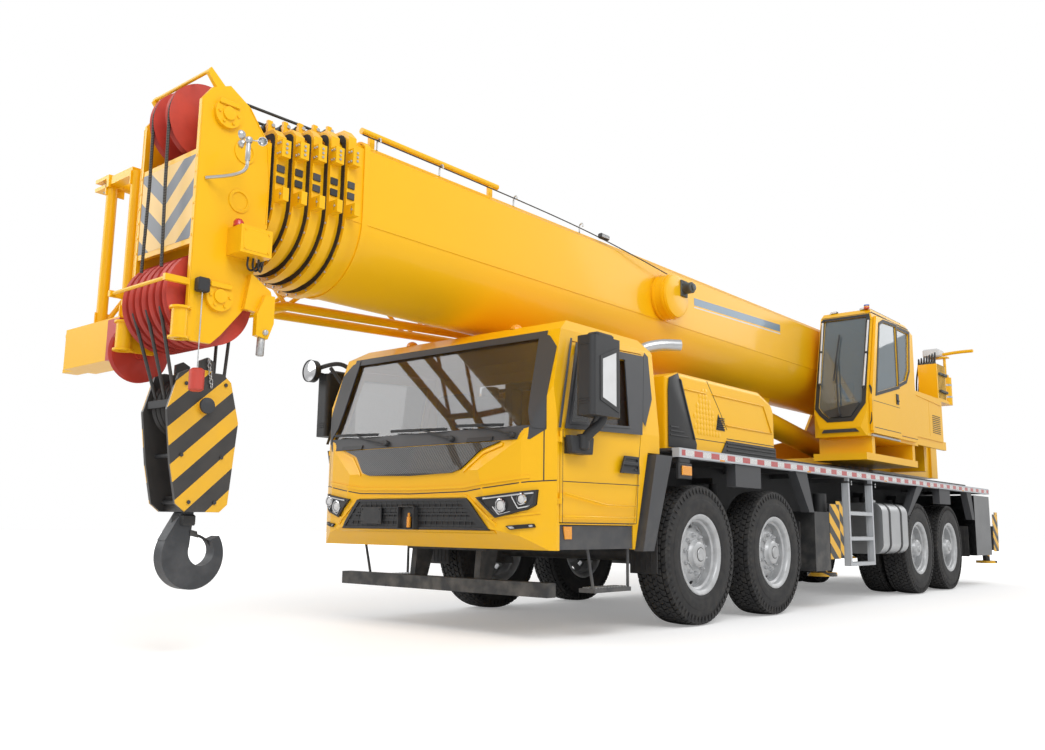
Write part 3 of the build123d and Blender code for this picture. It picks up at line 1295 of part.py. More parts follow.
# ================================================================ hook block
with BuildPart() as hook_block:
    lug_half, lug_top = block_lug
    lug_foot = block_side[6][1] - 2 * lug_half
    for y in both_sides((block_half - block_plate, block_half)):
        side_plate([(block_x + x, z) for x, z in block_side], y)
        side_plate([(block_x - lug_half, lug_foot), (block_x + lug_half, lug_foot),
                    (block_x + lug_half, lug_top - lug_half / 2), (block_x, lug_top),
                    (block_x - lug_half, lug_top - lug_half / 2)], y)
    pitch = 2 * (block_half - block_plate) / block_sheave_count
    for number in range(block_sheave_count):
        y = -block_half + block_plate + (number + 0.5) * pitch
        sheave(block_x, block_sheave_z, block_sheave_r, (y - pitch / 2 + clear, y + pitch / 2 - clear))
    cross_pin(block_x, block_sheave_z, pin_r, (-block_half - block_plate, block_half + block_plate))
    yoke_half, yoke_height = block_yoke
    block((block_x - yoke_half, block_x + yoke_half), (-block_half, block_half),
          (block_side[0][1], block_side[0][1] + yoke_height))
    # rope falls up to the lower head sheaves
    head_x, head_z, head_r = sheave_lower
    head_pitch = lower_span / (lower_count - 1)
    for side, low_number, high_number in rope_falls:
        start = (block_x + side * (block_sheave_r - groove_depth), block_sheave_z)
        top_x, top_z = tangent_point((head_x, head_z), head_r - groove_depth + rope_r + run_gap, start, side)
        rod((start[0], low_number * pitch, start[1]), (top_x, high_number * head_pitch, top_z), rope_r)
finish(hook_block, "hook_block")

with BuildPart() as hook:
    bowl_x = block_x - hook_shift
    eye_x = bowl_x - hook_shift
    shank_z = block_side[0][1] - run_gap
    neck_z = hook_mid_z + hook_eye_r
    with BuildSketch(Plane.XZ.offset(-hook_half)) as profile:
        with Locations((bowl_x, hook_mid_z)):
            Circle(hook_r)
        with BuildLine():
            Polyline((block_x - hook_shank_r, neck_z), (block_x - hook_shank_r, shank_z),
                     (block_x + hook_shank_r, shank_z), (bowl_x + hook_r - hook_neck_inset, neck_z), close=True)
        make_face()
        with Locations((eye_x, hook_mid_z + 2 * hook_round)):
            Circle(hook_eye_r, mode=Mode.SUBTRACT)
        with BuildLine():
            Polyline((eye_x - hook_eye_r * 0.6, neck_z), (bowl_x - hook_r, hook_mid_z + 1.5 * hook_eye_r),
                     (bowl_x - hook_r, hook_mid_z + hook_r), (block_x - hook_shank_r - 1, neck_z + hook_r),
                     (eye_x + hook_eye_r * 0.95, hook_mid_z + hook_eye_r / 2), close=True)
        make_face(mode=Mode.SUBTRACT)
    extrude(profile.sketch, amount=2 * hook_half, dir=(0, -1, 0))
finish(hook, "hook")
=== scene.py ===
from math import atan2, cos, pi, radians, sin

import bpy
import numpy as np
from mathutils import Matrix, Vector


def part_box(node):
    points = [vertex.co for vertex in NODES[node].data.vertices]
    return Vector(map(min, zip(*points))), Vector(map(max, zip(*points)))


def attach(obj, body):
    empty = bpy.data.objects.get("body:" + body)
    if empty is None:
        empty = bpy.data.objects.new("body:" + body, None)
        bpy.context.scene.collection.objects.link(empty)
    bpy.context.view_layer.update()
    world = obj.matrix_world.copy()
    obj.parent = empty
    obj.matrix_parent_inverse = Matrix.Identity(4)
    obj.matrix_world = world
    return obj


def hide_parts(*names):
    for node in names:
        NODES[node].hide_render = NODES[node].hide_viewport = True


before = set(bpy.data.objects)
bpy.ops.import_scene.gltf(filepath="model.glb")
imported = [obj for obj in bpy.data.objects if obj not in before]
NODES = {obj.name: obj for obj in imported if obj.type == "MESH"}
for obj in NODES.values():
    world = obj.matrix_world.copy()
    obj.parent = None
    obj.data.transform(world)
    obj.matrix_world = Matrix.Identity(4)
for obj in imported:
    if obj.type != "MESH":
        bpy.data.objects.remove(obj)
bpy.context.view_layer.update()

bl_info = {
    "name": "Mobile crane dressing",
    "version": (1, 0, 0),
    "blender": (4, 5, 0),
    "location": "3D View > Sidebar > Crane",
    "description": "Finishes, tyres, lamps, rigging and trim for the four-axle mobile crane, and its stage",
    "category": "Object",
}

SIDES = (("left", 1), ("right", -1))


class CraneSettings(bpy.types.PropertyGroup):
    """Colours and sizes of the crane's finishes and trim."""
    yellow: bpy.props.FloatVectorProperty(name="Crane yellow", description="Colour of the bodywork, boom and jib",
        subtype="COLOR", size=3, min=0, max=1, default=(0.9, 0.485, 0.004))
    dark: bpy.props.FloatVectorProperty(name="Frame black", description="Colour of the frame, axles and steps",
        subtype="COLOR", size=3, min=0, max=1, default=(0.026, 0.027, 0.029))
    sky: bpy.props.FloatProperty(name="Sky strength", description="How strongly the pale sky lights the crane", min=0,
        max=3, default=0.7)
    tread_blocks: bpy.props.IntProperty(name="Tread blocks", description="Blocks round each row of a tyre's tread",
        min=24, max=96, default=60)
    tread_depth: bpy.props.FloatProperty(name="Tread depth", description="How far the tread blocks stand up",
        unit="LENGTH", min=0.004, max=0.03, default=0.014)
    wheel_nuts: bpy.props.IntProperty(name="Wheel nuts", description="Nuts round each hub", min=6, max=12, default=10)
    tape_height: bpy.props.FloatProperty(name="Tape height",
        description="Height of the reflective tape on the deck's rails", unit="LENGTH", min=0.02, max=0.07,
        default=0.05)
    rope_radius: bpy.props.FloatProperty(name="Rope radius", description="Radius of the hoist rope", unit="LENGTH",
        min=0.005, max=0.02, default=0.011)


# ---------------------------------------------------------------- shapes
# A form is a pair: points as an N by 3 array, and a list of arrays of faces that index them.

def grid(points, close_rows=False, close_columns=False):
    """A form over a grid of points, rows by columns by 3: each face joins four neighbours."""
    rows, columns = points.shape[:2]
    i = np.arange(rows if close_rows else rows - 1)[:, None]
    j = np.arange(columns if close_columns else columns - 1)[None, :]
    i2, j2 = (i + 1) % rows, (j + 1) % columns
    faces = np.stack([i * columns + j, i * columns + j2, i2 * columns + j2, i2 * columns + j], axis=-1)
    return points.reshape(-1, 3), [faces.reshape(-1, 4)]


def capped(points):
    """A closed form from loops of points, rows by columns by 3, with a flat face over each end."""
    verts, faces = grid(points, close_columns=True)
    rows, columns = points.shape[:2]
    first = np.arange(columns)[None, ::-1]
    return verts, faces + [first, first[:, ::-1] + (rows - 1) * columns]


def joined(forms):
    """Several forms as one."""
    points, faces, start = [], [], 0
    for verts, groups in forms:
        points.append(verts)
        faces += [group + start for group in groups]
        start += len(verts)
    return np.concatenate(points), faces


def one(forms):
    """A list of forms as one form; a form stays as it is."""
    return joined(forms) if isinstance(forms, list) else forms


def placed(forms, places, frames=None):
    """Copies of a form: point = place + frame . point, for every place and its 3 by 3 frame."""
    verts, groups = one(forms)
    places = np.atleast_2d(np.asarray(places, float))
    if frames is None:
        frames = np.broadcast_to(np.eye(3), (len(places), 3, 3))
    points = np.einsum("nij,vj->nvi", frames, verts) + places[:, None, :]
    shift = np.arange(len(places))[:, None, None] * len(verts)
    return points.reshape(-1, 3), [(group[None] + shift).reshape(-1, group.shape[1]) for group in groups]


def turned(axis, angles):
    """Rotation matrices about X (0), Y (1) or Z (2), one for each angle."""
    angles = np.atleast_1d(angles)
    a, b = [k for k in range(3) if k != axis]
    frames = np.zeros((len(angles), 3, 3))
    frames[:, axis, axis] = 1
    frames[:, a, a] = frames[:, b, b] = np.cos(angles)
    flip = -1 if axis == 1 else 1
    frames[:, a, b] = -flip * np.sin(angles)
    frames[:, b, a] = flip * np.sin(angles)
    return frames


def flipped(form):
    """The form with its faces turned inside out."""
    return form[0], [group[:, ::-1] for group in form[1]]


def mirrored(forms):
    """The forms on the other side of the plane y = 0: (x, y, z) becomes (x, -y, z)."""
    verts, faces = one(forms)
    return flipped((verts * (1, -1, 1), faces))


def both(forms):
    """The forms and their mirror image across y = 0."""
    return joined([one(forms), mirrored(forms)])


def laid(forms, axis, level):
    """Forms laid on a skin: each point (x, y, z) moves along the axis by level(y, z)."""
    verts, faces = one(forms)
    verts = verts.copy()
    verts[:, axis] += level(verts[:, 1], verts[:, 2])
    return verts, faces


def area(outline):
    """Twice an outline's area, above 0 when it runs anticlockwise."""
    return (outline[:, 0] * np.roll(outline[:, 1], -1) - np.roll(outline[:, 0], -1) * outline[:, 1]).sum()


def finely(outline, pieces):
    """An outline with every edge cut into equal pieces."""
    outline = np.asarray(outline, float)
    t = np.linspace(0, 1, pieces, endpoint=False)[:, None]
    return (outline[:, None] * (1 - t) + np.roll(outline, -1, 0)[:, None] * t).reshape(-1, 2)


def inset(outline, distance):
    """An outline moved inwards: each corner goes along its bisector until both its edges have moved by distance."""
    outline = np.asarray(outline, float)
    ahead = unit(np.roll(outline, -1, 0) - outline)
    behind = np.roll(ahead, 1, 0)
    normal = np.stack([-(ahead + behind)[:, 1], (ahead + behind)[:, 0]], 1)
    reach = 1 + (ahead * behind).sum(1)
    return outline + np.sign(area(outline)) * distance * normal / np.maximum(reach, 0.3)[:, None]


def four(low, high):
    """The corners of an upright rectangle between two of them."""
    return [low, (high[0], low[1]), high, (low[0], high[1])]


def levelled(loops, axis):
    """Outlines at their levels along an axis, as rows of points."""
    return np.stack([np.insert(loop, axis, level, axis=1) for loop, level in loops])


def plate(outline, low, high, axis=1, edge=0.003):
    """An outline carried from low to high along an axis, its edges cut at 45 degrees: loops at low, low + edge,
    high - edge and high, the outer two moved inwards by edge. The outline's values are the other axes in order."""
    outline = np.asarray(outline, float)
    if (area(outline) > 0) == (axis == 1):
        outline = outline[::-1]
    small = inset(outline, edge)
    edge = min(edge, (high - low) / 3)
    return capped(levelled([(small, low), (outline, low + edge), (outline, high - edge), (small, high)], axis))


def slab(low, high, edge=0.004):
    """A block between two corners with every edge cut off: a plate whose outline is a rectangle with cut corners."""
    low, high = np.minimum(low, high), np.maximum(low, high)
    edge = min(edge, *((high - low) / 3))
    (x0, y0, z0), (x1, y1, z1) = low, high
    outline = [(x0 + edge, y0), (x1 - edge, y0), (x1, y0 + edge), (x1, y1 - edge), (x1 - edge, y1), (x0 + edge, y1),
        (x0, y1 - edge), (x0, y0 + edge)]
    return plate(outline, z0, z1, 2, edge)


def smooth_path(points, count=24):
    """A path through a quadratic B-spline with its ends on the first and last point: on each span,
    P(t) = (1-t)^2/2 A + (1/2 + t - t^2) B + t^2/2 C, with one more point mirrored across each end."""
    p = np.asarray(points, float)
    p = np.concatenate([2 * p[:1] - p[1:2], p, 2 * p[-1:] - p[-2:-1]])
    t = np.linspace(0, 1, count, endpoint=False)[:, None]
    a, b, c = p[:-2, None], p[1:-1, None], p[2:, None]
    spans = a * (1 - t) ** 2 / 2 + b * (0.5 + t - t * t) + c * t * t / 2
    line = spans.reshape(-1, 3)
    keep = line[count // 2: len(line) - count // 2]
    return np.concatenate([p[1:2], keep[1:], p[-2:-1]]) if len(points) > 2 else np.asarray(points, float)


def unit(vectors):
    """Rows of vectors at length 1."""
    return vectors / np.linalg.norm(vectors, axis=1)[:, None]


def tubed(path, side, up, profile):
    """A profile at every point of a path: path + u * side + v * up."""
    return path[:, None] + profile[None, :, :1] * side[:, None] + profile[None, :, 1:] * up[:, None]


def frames_along(path):
    """Unit side and up vectors across a path, from its tangent and the axis least in line with it."""
    tangent = unit(np.gradient(path, axis=0))
    reference = np.eye(3)[np.argmin(np.abs(tangent).mean(0))]
    side = unit(np.cross(tangent, reference))
    return side, np.cross(side, tangent)


def swept(path, profile):
    """A closed profile carried along a path: point = path + u * side + v * up, with flat ends."""
    side, up = frames_along(path)
    return flipped(capped(tubed(path, side, up, np.asarray(profile, float))))


def circle(radius, sides=12):
    """Points round a circle: r (cos a, sin a)."""
    a = np.linspace(0, 2 * pi, sides, endpoint=False)
    return np.stack([radius * np.cos(a), radius * np.sin(a)], 1)


def tube(points, radius, sides=12, count=10):
    """A round bar along a smooth path: path + r (cos a * side + sin a * up)."""
    return swept(smooth_path(points, count), circle(radius, sides))


def bar(start, end, radius, sides=12):
    """A straight round bar with cut edges: four rings along it, of which the end ones are smaller by a fifth."""
    start, end = np.asarray(start, float), np.asarray(end, float)
    length = np.linalg.norm(end - start)
    cut = min(radius * 0.2, length / 4) / length
    path = start + (end - start) * np.array([0, cut, 1 - cut, 1])[:, None]
    side, up = frames_along(path)
    size = radius * np.array([0.8, 1, 1, 0.8])[:, None, None]
    ring = circle(1, sides)
    loops = path[:, None] + size * (ring[None, :, :1] * side[:, None] + ring[None, :, 1:] * up[:, None])
    return flipped(capped(loops))


def lathe(profile, centre, axis=1, steps=48, sign=1):
    """A profile of (distance along the axis, radius) turned about an axis through centre. A profile that ends
    where it begins makes a ring; any other gets a flat face over each end."""
    profile = np.asarray(profile, float)
    ring = bool(np.allclose(profile[0], profile[-1]))
    if ring:
        profile = profile[:-1]
    profile = profile[profile[:, 1] > 1e-6]
    a = np.linspace(0, 2 * pi, steps, endpoint=False)
    points = np.zeros((len(profile), steps, 3))
    u, v = [k for k in range(3) if k != axis]
    points[..., axis] = profile[:, :1] * sign
    points[..., u] = profile[:, 1:] * np.cos(a)
    points[..., v] = profile[:, 1:] * np.sin(a)
    points = points + np.asarray(centre, float)
    form = grid(points, close_rows=True, close_columns=True) if ring else capped(points)
    x, r = profile[:, 0], profile[:, 1]
    following = np.roll(np.arange(len(x)), -1)
    turn = (x * r[following] - x[following] * r).sum() if ring else -(x[-1] - x[0])
    outward = (turn > 0) == (axis == 1)
    return form if outward == (sign > 0) else flipped(form)


def nut(radius, height, axis=2):
    """A six-sided nut with a domed cap: rings of (height, radius) on six sides, then a ring on the dome."""
    rings = [(0, 1.0), (0.5, 1.0), (0.6, 0.86), (0.62, 0.62), (0.9, 0.5), (1.0, 0.2)]
    a = np.linspace(0, 2 * pi, 6, endpoint=False)
    points = np.stack([np.stack([radius * r * np.cos(a), radius * r * np.sin(a), np.full(6, height * h)], 1)
        for h, r in rings])
    verts, faces = capped(points)
    return np.roll(verts, axis - 2, axis=1), faces


def piece(name, forms, body, finish, sharp=35, replaces=(), slot=None):
    """An object from forms: it rides on a body, takes a finish, and may stand for CAD nodes."""
    verts, groups = one(forms)
    mesh = bpy.data.meshes.new(name)
    faces = [face for group in groups for face in group.tolist()]
    mesh.from_pydata(verts.tolist(), [], faces)
    mesh.polygons.foreach_set("use_smooth", np.ones(len(mesh.polygons), bool))
    mesh.set_sharp_from_angle(angle=radians(sharp))
    mesh.validate()
    made = bpy.data.objects.new(name, mesh)
    bpy.context.scene.collection.objects.link(made)
    made.data.materials.append(shade(finish))
    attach(made, body)
    if replaces:
        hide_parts(*replaces)
    return made


def carried(body):
    """piece() with its body given once, for pieces that all ride on it."""
    return lambda name, forms, *rest: piece(name, forms, body, *rest)


on_chassis, on_top, on_boom = carried("chassis"), carried("superstructure"), carried("boom_base")
on_head, on_block = carried("boom_head"), carried("hook_block")


# ---------------------------------------------------------------- finishes
WARNING_YELLOW = (0.86, 0.46, 0.006)


class Signal:
    """A shader socket that Python's operators work on: each adds a Math node."""

    def __init__(self, recipe, socket):
        self.recipe, self.socket = recipe, socket

    def math(self, operation, *values):
        return self.recipe.node("ShaderNodeMath", {"operation": operation}, dict(enumerate(values)))

    def __rsub__(self, other):
        return self.math("SUBTRACT", other, self)

    def __abs__(self):
        return self.math("ABSOLUTE", self)

    def part(self):
        """The part after the decimal point."""
        return self.math("FRACT", self)

    def root(self):
        return self.math("SQRT", self)

    def held(self, low=0.0, high=1.0):
        """The value held between two limits."""
        return self.math("MAXIMUM", self.math("MINIMUM", self, high), low)

    def rise(self, low, high):
        """0 below low, 1 above high, and even between them."""
        return ((self - low) / (high - low)).held()


for sign, operation in {"add": "ADD", "radd": "ADD", "sub": "SUBTRACT", "mul": "MULTIPLY", "rmul": "MULTIPLY",
        "truediv": "DIVIDE", "lt": "LESS_THAN", "gt": "GREATER_THAN", "or": "MAXIMUM"}.items():
    setattr(Signal, f"__{sign}__", lambda self, other, kind=operation: self.math(kind, self, other))


class Recipe:
    """One material's nodes, round one Principled BSDF."""

    def __init__(self, name):
        self.material = bpy.data.materials.new(name)
        self.material.use_nodes = True
        self.tree = self.material.node_tree
        self.shader = next(n for n in self.tree.nodes if n.type == "BSDF_PRINCIPLED")
        self.coordinates = None

    def node(self, kind, settings=None, sockets=None, output=0):
        """A node of any type: its settings are put in first, then each socket's value or link."""
        made = self.tree.nodes.new(kind)
        for key, value in (settings or {}).items():
            setattr(made, key, value)
        for key, value in (sockets or {}).items():
            if isinstance(value, Signal):
                self.tree.links.new(value.socket, made.inputs[key])
            else:
                made.inputs[key].default_value = value
        return Signal(self, made.outputs[output])

    def place(self):
        """The point's x, y and z on the object."""
        if self.coordinates is None:
            self.coordinates = self.node("ShaderNodeTexCoord", output="Object")
            split = self.node("ShaderNodeSeparateXYZ", None, {0: self.coordinates}).socket.node
            self.axes = [Signal(self, socket) for socket in split.outputs]
        return self.axes

    def noise(self, scale, detail=3.0, stretch=(1, 1, 1)):
        """Cloudy noise, about 0.5 in the middle; stretch makes it finer along an axis."""
        self.place()
        spot = self.node("ShaderNodeVectorMath", {"operation": "MULTIPLY"}, {0: self.coordinates, 1: stretch})
        return self.node("ShaderNodeTexNoise", None, {"Vector": spot, "Scale": scale, "Detail": detail})

    def cells(self, scale, feature="F1", stretch=(1, 1, 1)):
        """Distance to scattered points, or to the edges between their cells."""
        self.place()
        spot = self.node("ShaderNodeVectorMath", {"operation": "MULTIPLY"}, {0: self.coordinates, 1: stretch})
        return self.node("ShaderNodeTexVoronoi", {"feature": feature}, {"Vector": spot, "Scale": scale})

    def blend(self, amount, first, second):
        """A colour between two: the first where amount is 0."""
        colours = [c if isinstance(c, Signal) else (*c[:3], 1) for c in (first, second)]
        return self.node("ShaderNodeMix", {"data_type": "RGBA"}, {0: amount, 6: colours[0], 7: colours[1]}, 2)

    def bump(self, height, distance, strength=1.0):
        """A normal from a height, in metres at a height of 1."""
        return self.node("ShaderNodeBump", None, {"Height": height, "Distance": distance, "Strength": strength})

    def surface(self, **sockets):
        """Values or links on the shader, by socket name with _ for a space."""
        for key, value in sockets.items():
            socket = self.shader.inputs[key.replace("_", " ")]
            if isinstance(value, Signal):
                self.tree.links.new(value.socket, socket)
            elif isinstance(value, tuple):
                socket.default_value = (*value[:3], 1)
            else:
                socket.default_value = value
        return self.material


def weathered(recipe, colour, wear=0.12, dust=0.35):
    """A colour with slow cloudy change, and road dust that thickens towards the ground."""
    _, _, z = recipe.place()
    cloud = recipe.noise(1.7, 4.0)
    darker = tuple(c * 0.82 for c in colour)
    soft = recipe.blend(cloud * wear * 2, colour, darker)
    low = (1.15 - z).rise(0.0, 1.0) * recipe.noise(9.0, 5.0).rise(0.38, 0.75) * dust
    return recipe.blend(low, soft, (0.36, 0.33, 0.28))


def gloss_yellow(recipe):
    """Gloss crane paint: clear coat over yellow, with a faint orange-peel bump."""
    colour = weathered(recipe, tuple(settings().yellow), 0.1, 0.12)
    peel = recipe.noise(160.0, 2.0)
    fine = recipe.noise(22.0, 4.0)
    return recipe.surface(Base_Color=colour, Roughness=0.3 + fine * 0.12, Specular_IOR_Level=0.3, Coat_Weight=0.22,
        Coat_Roughness=0.08, Normal=recipe.bump(peel, 0.0006, 0.5))


def jib_paint(recipe):
    """Crane yellow, and red on the rope wheel at the end of the jib's cross beam."""
    x, y, z = recipe.place()
    wheel = (x > 6.75) * (y > -0.66) * (z < 2.19)
    colour = recipe.blend(wheel, weathered(recipe, tuple(settings().yellow), 0.1, 0.12), (0.5, 0.05, 0.035))
    fine = recipe.noise(22.0, 4.0)
    return recipe.surface(Base_Color=colour, Roughness=0.3 + fine * 0.12, Specular_IOR_Level=0.3, Coat_Weight=0.22)


def deck_finish(recipe):
    """Dark chequer plate on top, light grey enamel on the side rails."""
    x, y, z = recipe.place()
    rail = (abs(y) > 1.325) * (z > 1.4)
    tread = abs((x * 18 + y * 18).part() - 0.5).rise(0.36, 0.42)
    cloud = recipe.noise(4.0, 5.0)
    dark = recipe.blend(cloud * 0.7, (0.055, 0.057, 0.06), (0.11, 0.11, 0.11))
    ladder = (x > -1.5) * (x < -0.68) * (z < 1.375) * (abs(y) > 1.27)
    colour = recipe.blend(rail | ladder, dark, weathered(recipe, (0.5, 0.52, 0.545), 0.2, 0.2))
    return recipe.surface(Base_Color=colour, Roughness=0.45 + cloud * 0.15, Normal=recipe.bump(tread * (1 - rail),
        0.002, 0.6))


def box_panels(recipe):
    """Tool boxes: black ones ahead of the ladders, and polished steel ones at the rear."""
    x, _, _ = recipe.place()
    wave = recipe.noise(3.0, 2.0)
    rear = x < -2.0
    steel = recipe.blend(wave, (0.24, 0.245, 0.25), (0.11, 0.115, 0.12))
    return recipe.surface(Base_Color=recipe.blend(rear, weathered(recipe, (0.024, 0.025, 0.027), 0.3, 0.3), steel),
        Metallic=rear * 1.0, Roughness=0.42 - rear * 0.26 + wave * 0.08, Normal=recipe.bump(wave, 0.004, 0.4))


def rope_steel(recipe):
    """Greased wire rope: the strands are slanting ridges across the rope."""
    x, y, z = recipe.place()
    lay = ((x + y + z) * 55).part()
    ridge = (lay - 0.5) * (lay - 0.5) * -4 + 1
    colour = recipe.blend(ridge, (0.015, 0.014, 0.013), (0.1, 0.097, 0.09))
    return recipe.surface(Base_Color=colour, Metallic=0.6, Roughness=0.48 + ridge * 0.1,
        Normal=recipe.bump(ridge, 0.002, 0.8))


def tinted(recipe, colour, cover):
    """Tinted glazing: a dark film that covers a part of what is behind, more at a slant, with sharp reflections."""
    ripple = recipe.noise(1.1, 2.0)
    slant = recipe.node("ShaderNodeLayerWeight", None, {"Blend": 0.35}, 1)
    tone = recipe.blend(ripple, colour, tuple(c * 0.7 for c in colour))
    return recipe.surface(Base_Color=tone, Roughness=0.03, IOR=2.2, Alpha=(slant * 0.5 + cover).held(0, 0.95),
        Normal=recipe.bump(ripple, 0.004, 0.3))


def lens_clear(recipe):
    """Clear lamp lens with fine flutes."""
    _, y, _ = recipe.place()
    flute = (y * 90).part()
    return recipe.surface(Base_Color=(0.82, 0.85, 0.88), Roughness=0.05, IOR=1.45, Transmission_Weight=0.7,
        Normal=recipe.bump(flute, 0.001, 0.4))


def lens(recipe, colour):
    """A coloured lamp lens with a fine moulded grid."""
    grain = recipe.cells(160.0)
    tone = recipe.blend(grain, tuple(c * 0.75 for c in colour), colour)
    return recipe.surface(Base_Color=tone, Roughness=0.16 + grain * 0.1, Coat_Weight=0.6,
        Normal=recipe.bump(grain, 0.002, 0.5))


def jack_stripes(recipe):
    """Yellow and black slanting warning stripes."""
    x, _, z = recipe.place()
    band = ((z - x * 0.75) / 0.22).part() < 0.5
    cloud = recipe.noise(6.0, 4.0)
    tone = recipe.blend(band, WARNING_YELLOW, (0.018, 0.018, 0.02))
    return recipe.surface(Base_Color=recipe.blend(cloud * 0.15, tone, (0.3, 0.27, 0.22)), Roughness=0.4 + cloud * 0.12,
        Coat_Weight=0.15)


def head_chevrons(recipe):
    """V-shaped chevrons of grey on pale yellow, over the plate at the boom's tip."""
    _, y, z = recipe.place()
    band = ((z - abs(y + 0.02) * 0.75) / 0.26).part() < 0.46
    cloud = recipe.noise(5.0, 4.0)
    tone = recipe.blend(band, (0.84, 0.52, 0.12), (0.1, 0.12, 0.15))
    return recipe.surface(Base_Color=recipe.blend(cloud * 0.2, tone, (0.5, 0.45, 0.36)), Roughness=0.3 + cloud * 0.2)


def road_tape(recipe):
    """Reflective tape: red and white lengths along X, with a honeycomb in the film."""
    x, _, _ = recipe.place()
    comb = recipe.cells(300.0, "DISTANCE_TO_EDGE").rise(0.02, 0.12)
    red = (x / 0.3).part() < 0.5
    tone = recipe.blend(red, (0.74, 0.74, 0.73), (0.52, 0.018, 0.02))
    return recipe.surface(Base_Color=recipe.blend(comb * 0.8 + 0.2, (0.3, 0.28, 0.27), tone),
        Roughness=0.25 + comb * 0.1, Coat_Weight=0.5)


def hatched(recipe):
    """Black moulded hatching: fine slanting ribs that lean towards the middle."""
    _, y, z = recipe.place()
    rib = ((abs(y) * 0.85 + z) * 44).part()
    ridge = 1 - abs(rib - 0.5) * 2
    colour = recipe.blend(ridge, (0.008, 0.008, 0.009), (0.05, 0.052, 0.055))
    return recipe.surface(Base_Color=colour, Roughness=0.3 + ridge * 0.1, Coat_Weight=0.4,
        Normal=recipe.bump(ridge, 0.006, 0.9))


def seat_fabric(recipe, colour):
    """Woven seat cloth: crossed threads a few millimetres apart."""
    x, y, z = recipe.place()
    warp = abs((y * 260).part() - 0.5)
    weft = abs(((x + z) * 260).part() - 0.5)
    weave = warp + weft
    tone = recipe.blend(weave, tuple(c * 0.6 for c in colour), colour)
    return recipe.surface(Base_Color=tone, Roughness=0.82 + weave * 0.1, Normal=recipe.bump(weave, 0.0015, 0.8))


def hose_rubber(recipe):
    """Hydraulic hose: black with a fine wrap."""
    x, y, z = recipe.place()
    wrap = ((x - y + z) * 90).part()
    colour = recipe.blend(wrap, (0.012, 0.012, 0.013), (0.035, 0.035, 0.036))
    return recipe.surface(Base_Color=colour, Roughness=0.45 + wrap * 0.1, Normal=recipe.bump(wrap, 0.001, 0.6))


def block_paint(recipe):
    """Hook block: warning stripes on its two side plates, black between them."""
    x, y, z = recipe.place()
    side = (abs(y) > 0.152) * (z < 1.8)
    band = ((z + x * 0.9) / 0.26).part() < 0.5
    cloud = recipe.noise(6.0, 4.0)
    stripes = recipe.blend(band, WARNING_YELLOW, (0.02, 0.02, 0.022))
    tone = recipe.blend(side, (0.024, 0.024, 0.026), stripes)
    return recipe.surface(Base_Color=recipe.blend(cloud * 0.2, tone, (0.22, 0.19, 0.15)),
        Roughness=0.35 + cloud * 0.15, Coat_Weight=0.2)


def studio_floor(recipe):
    """Pale floor: nearly white, and lifted a little for the camera so that it meets the white behind."""
    x, y, _ = recipe.place()
    seen = recipe.node("ShaderNodeLightPath", output="Is Camera Ray")
    far = (x * x + y * y).root().rise(7.0, 24.0)
    cloud = recipe.noise(0.6, 3.0)
    colour = recipe.blend(cloud * 0.3, (0.86, 0.86, 0.86), (0.82, 0.82, 0.82))
    glow = recipe.blend(seen * (far * 0.75 + 0.25), (0, 0, 0), (1, 1, 1))
    return recipe.surface(Base_Color=colour, Roughness=0.7 + cloud * 0.1, Emission_Color=glow, Emission_Strength=1.0)


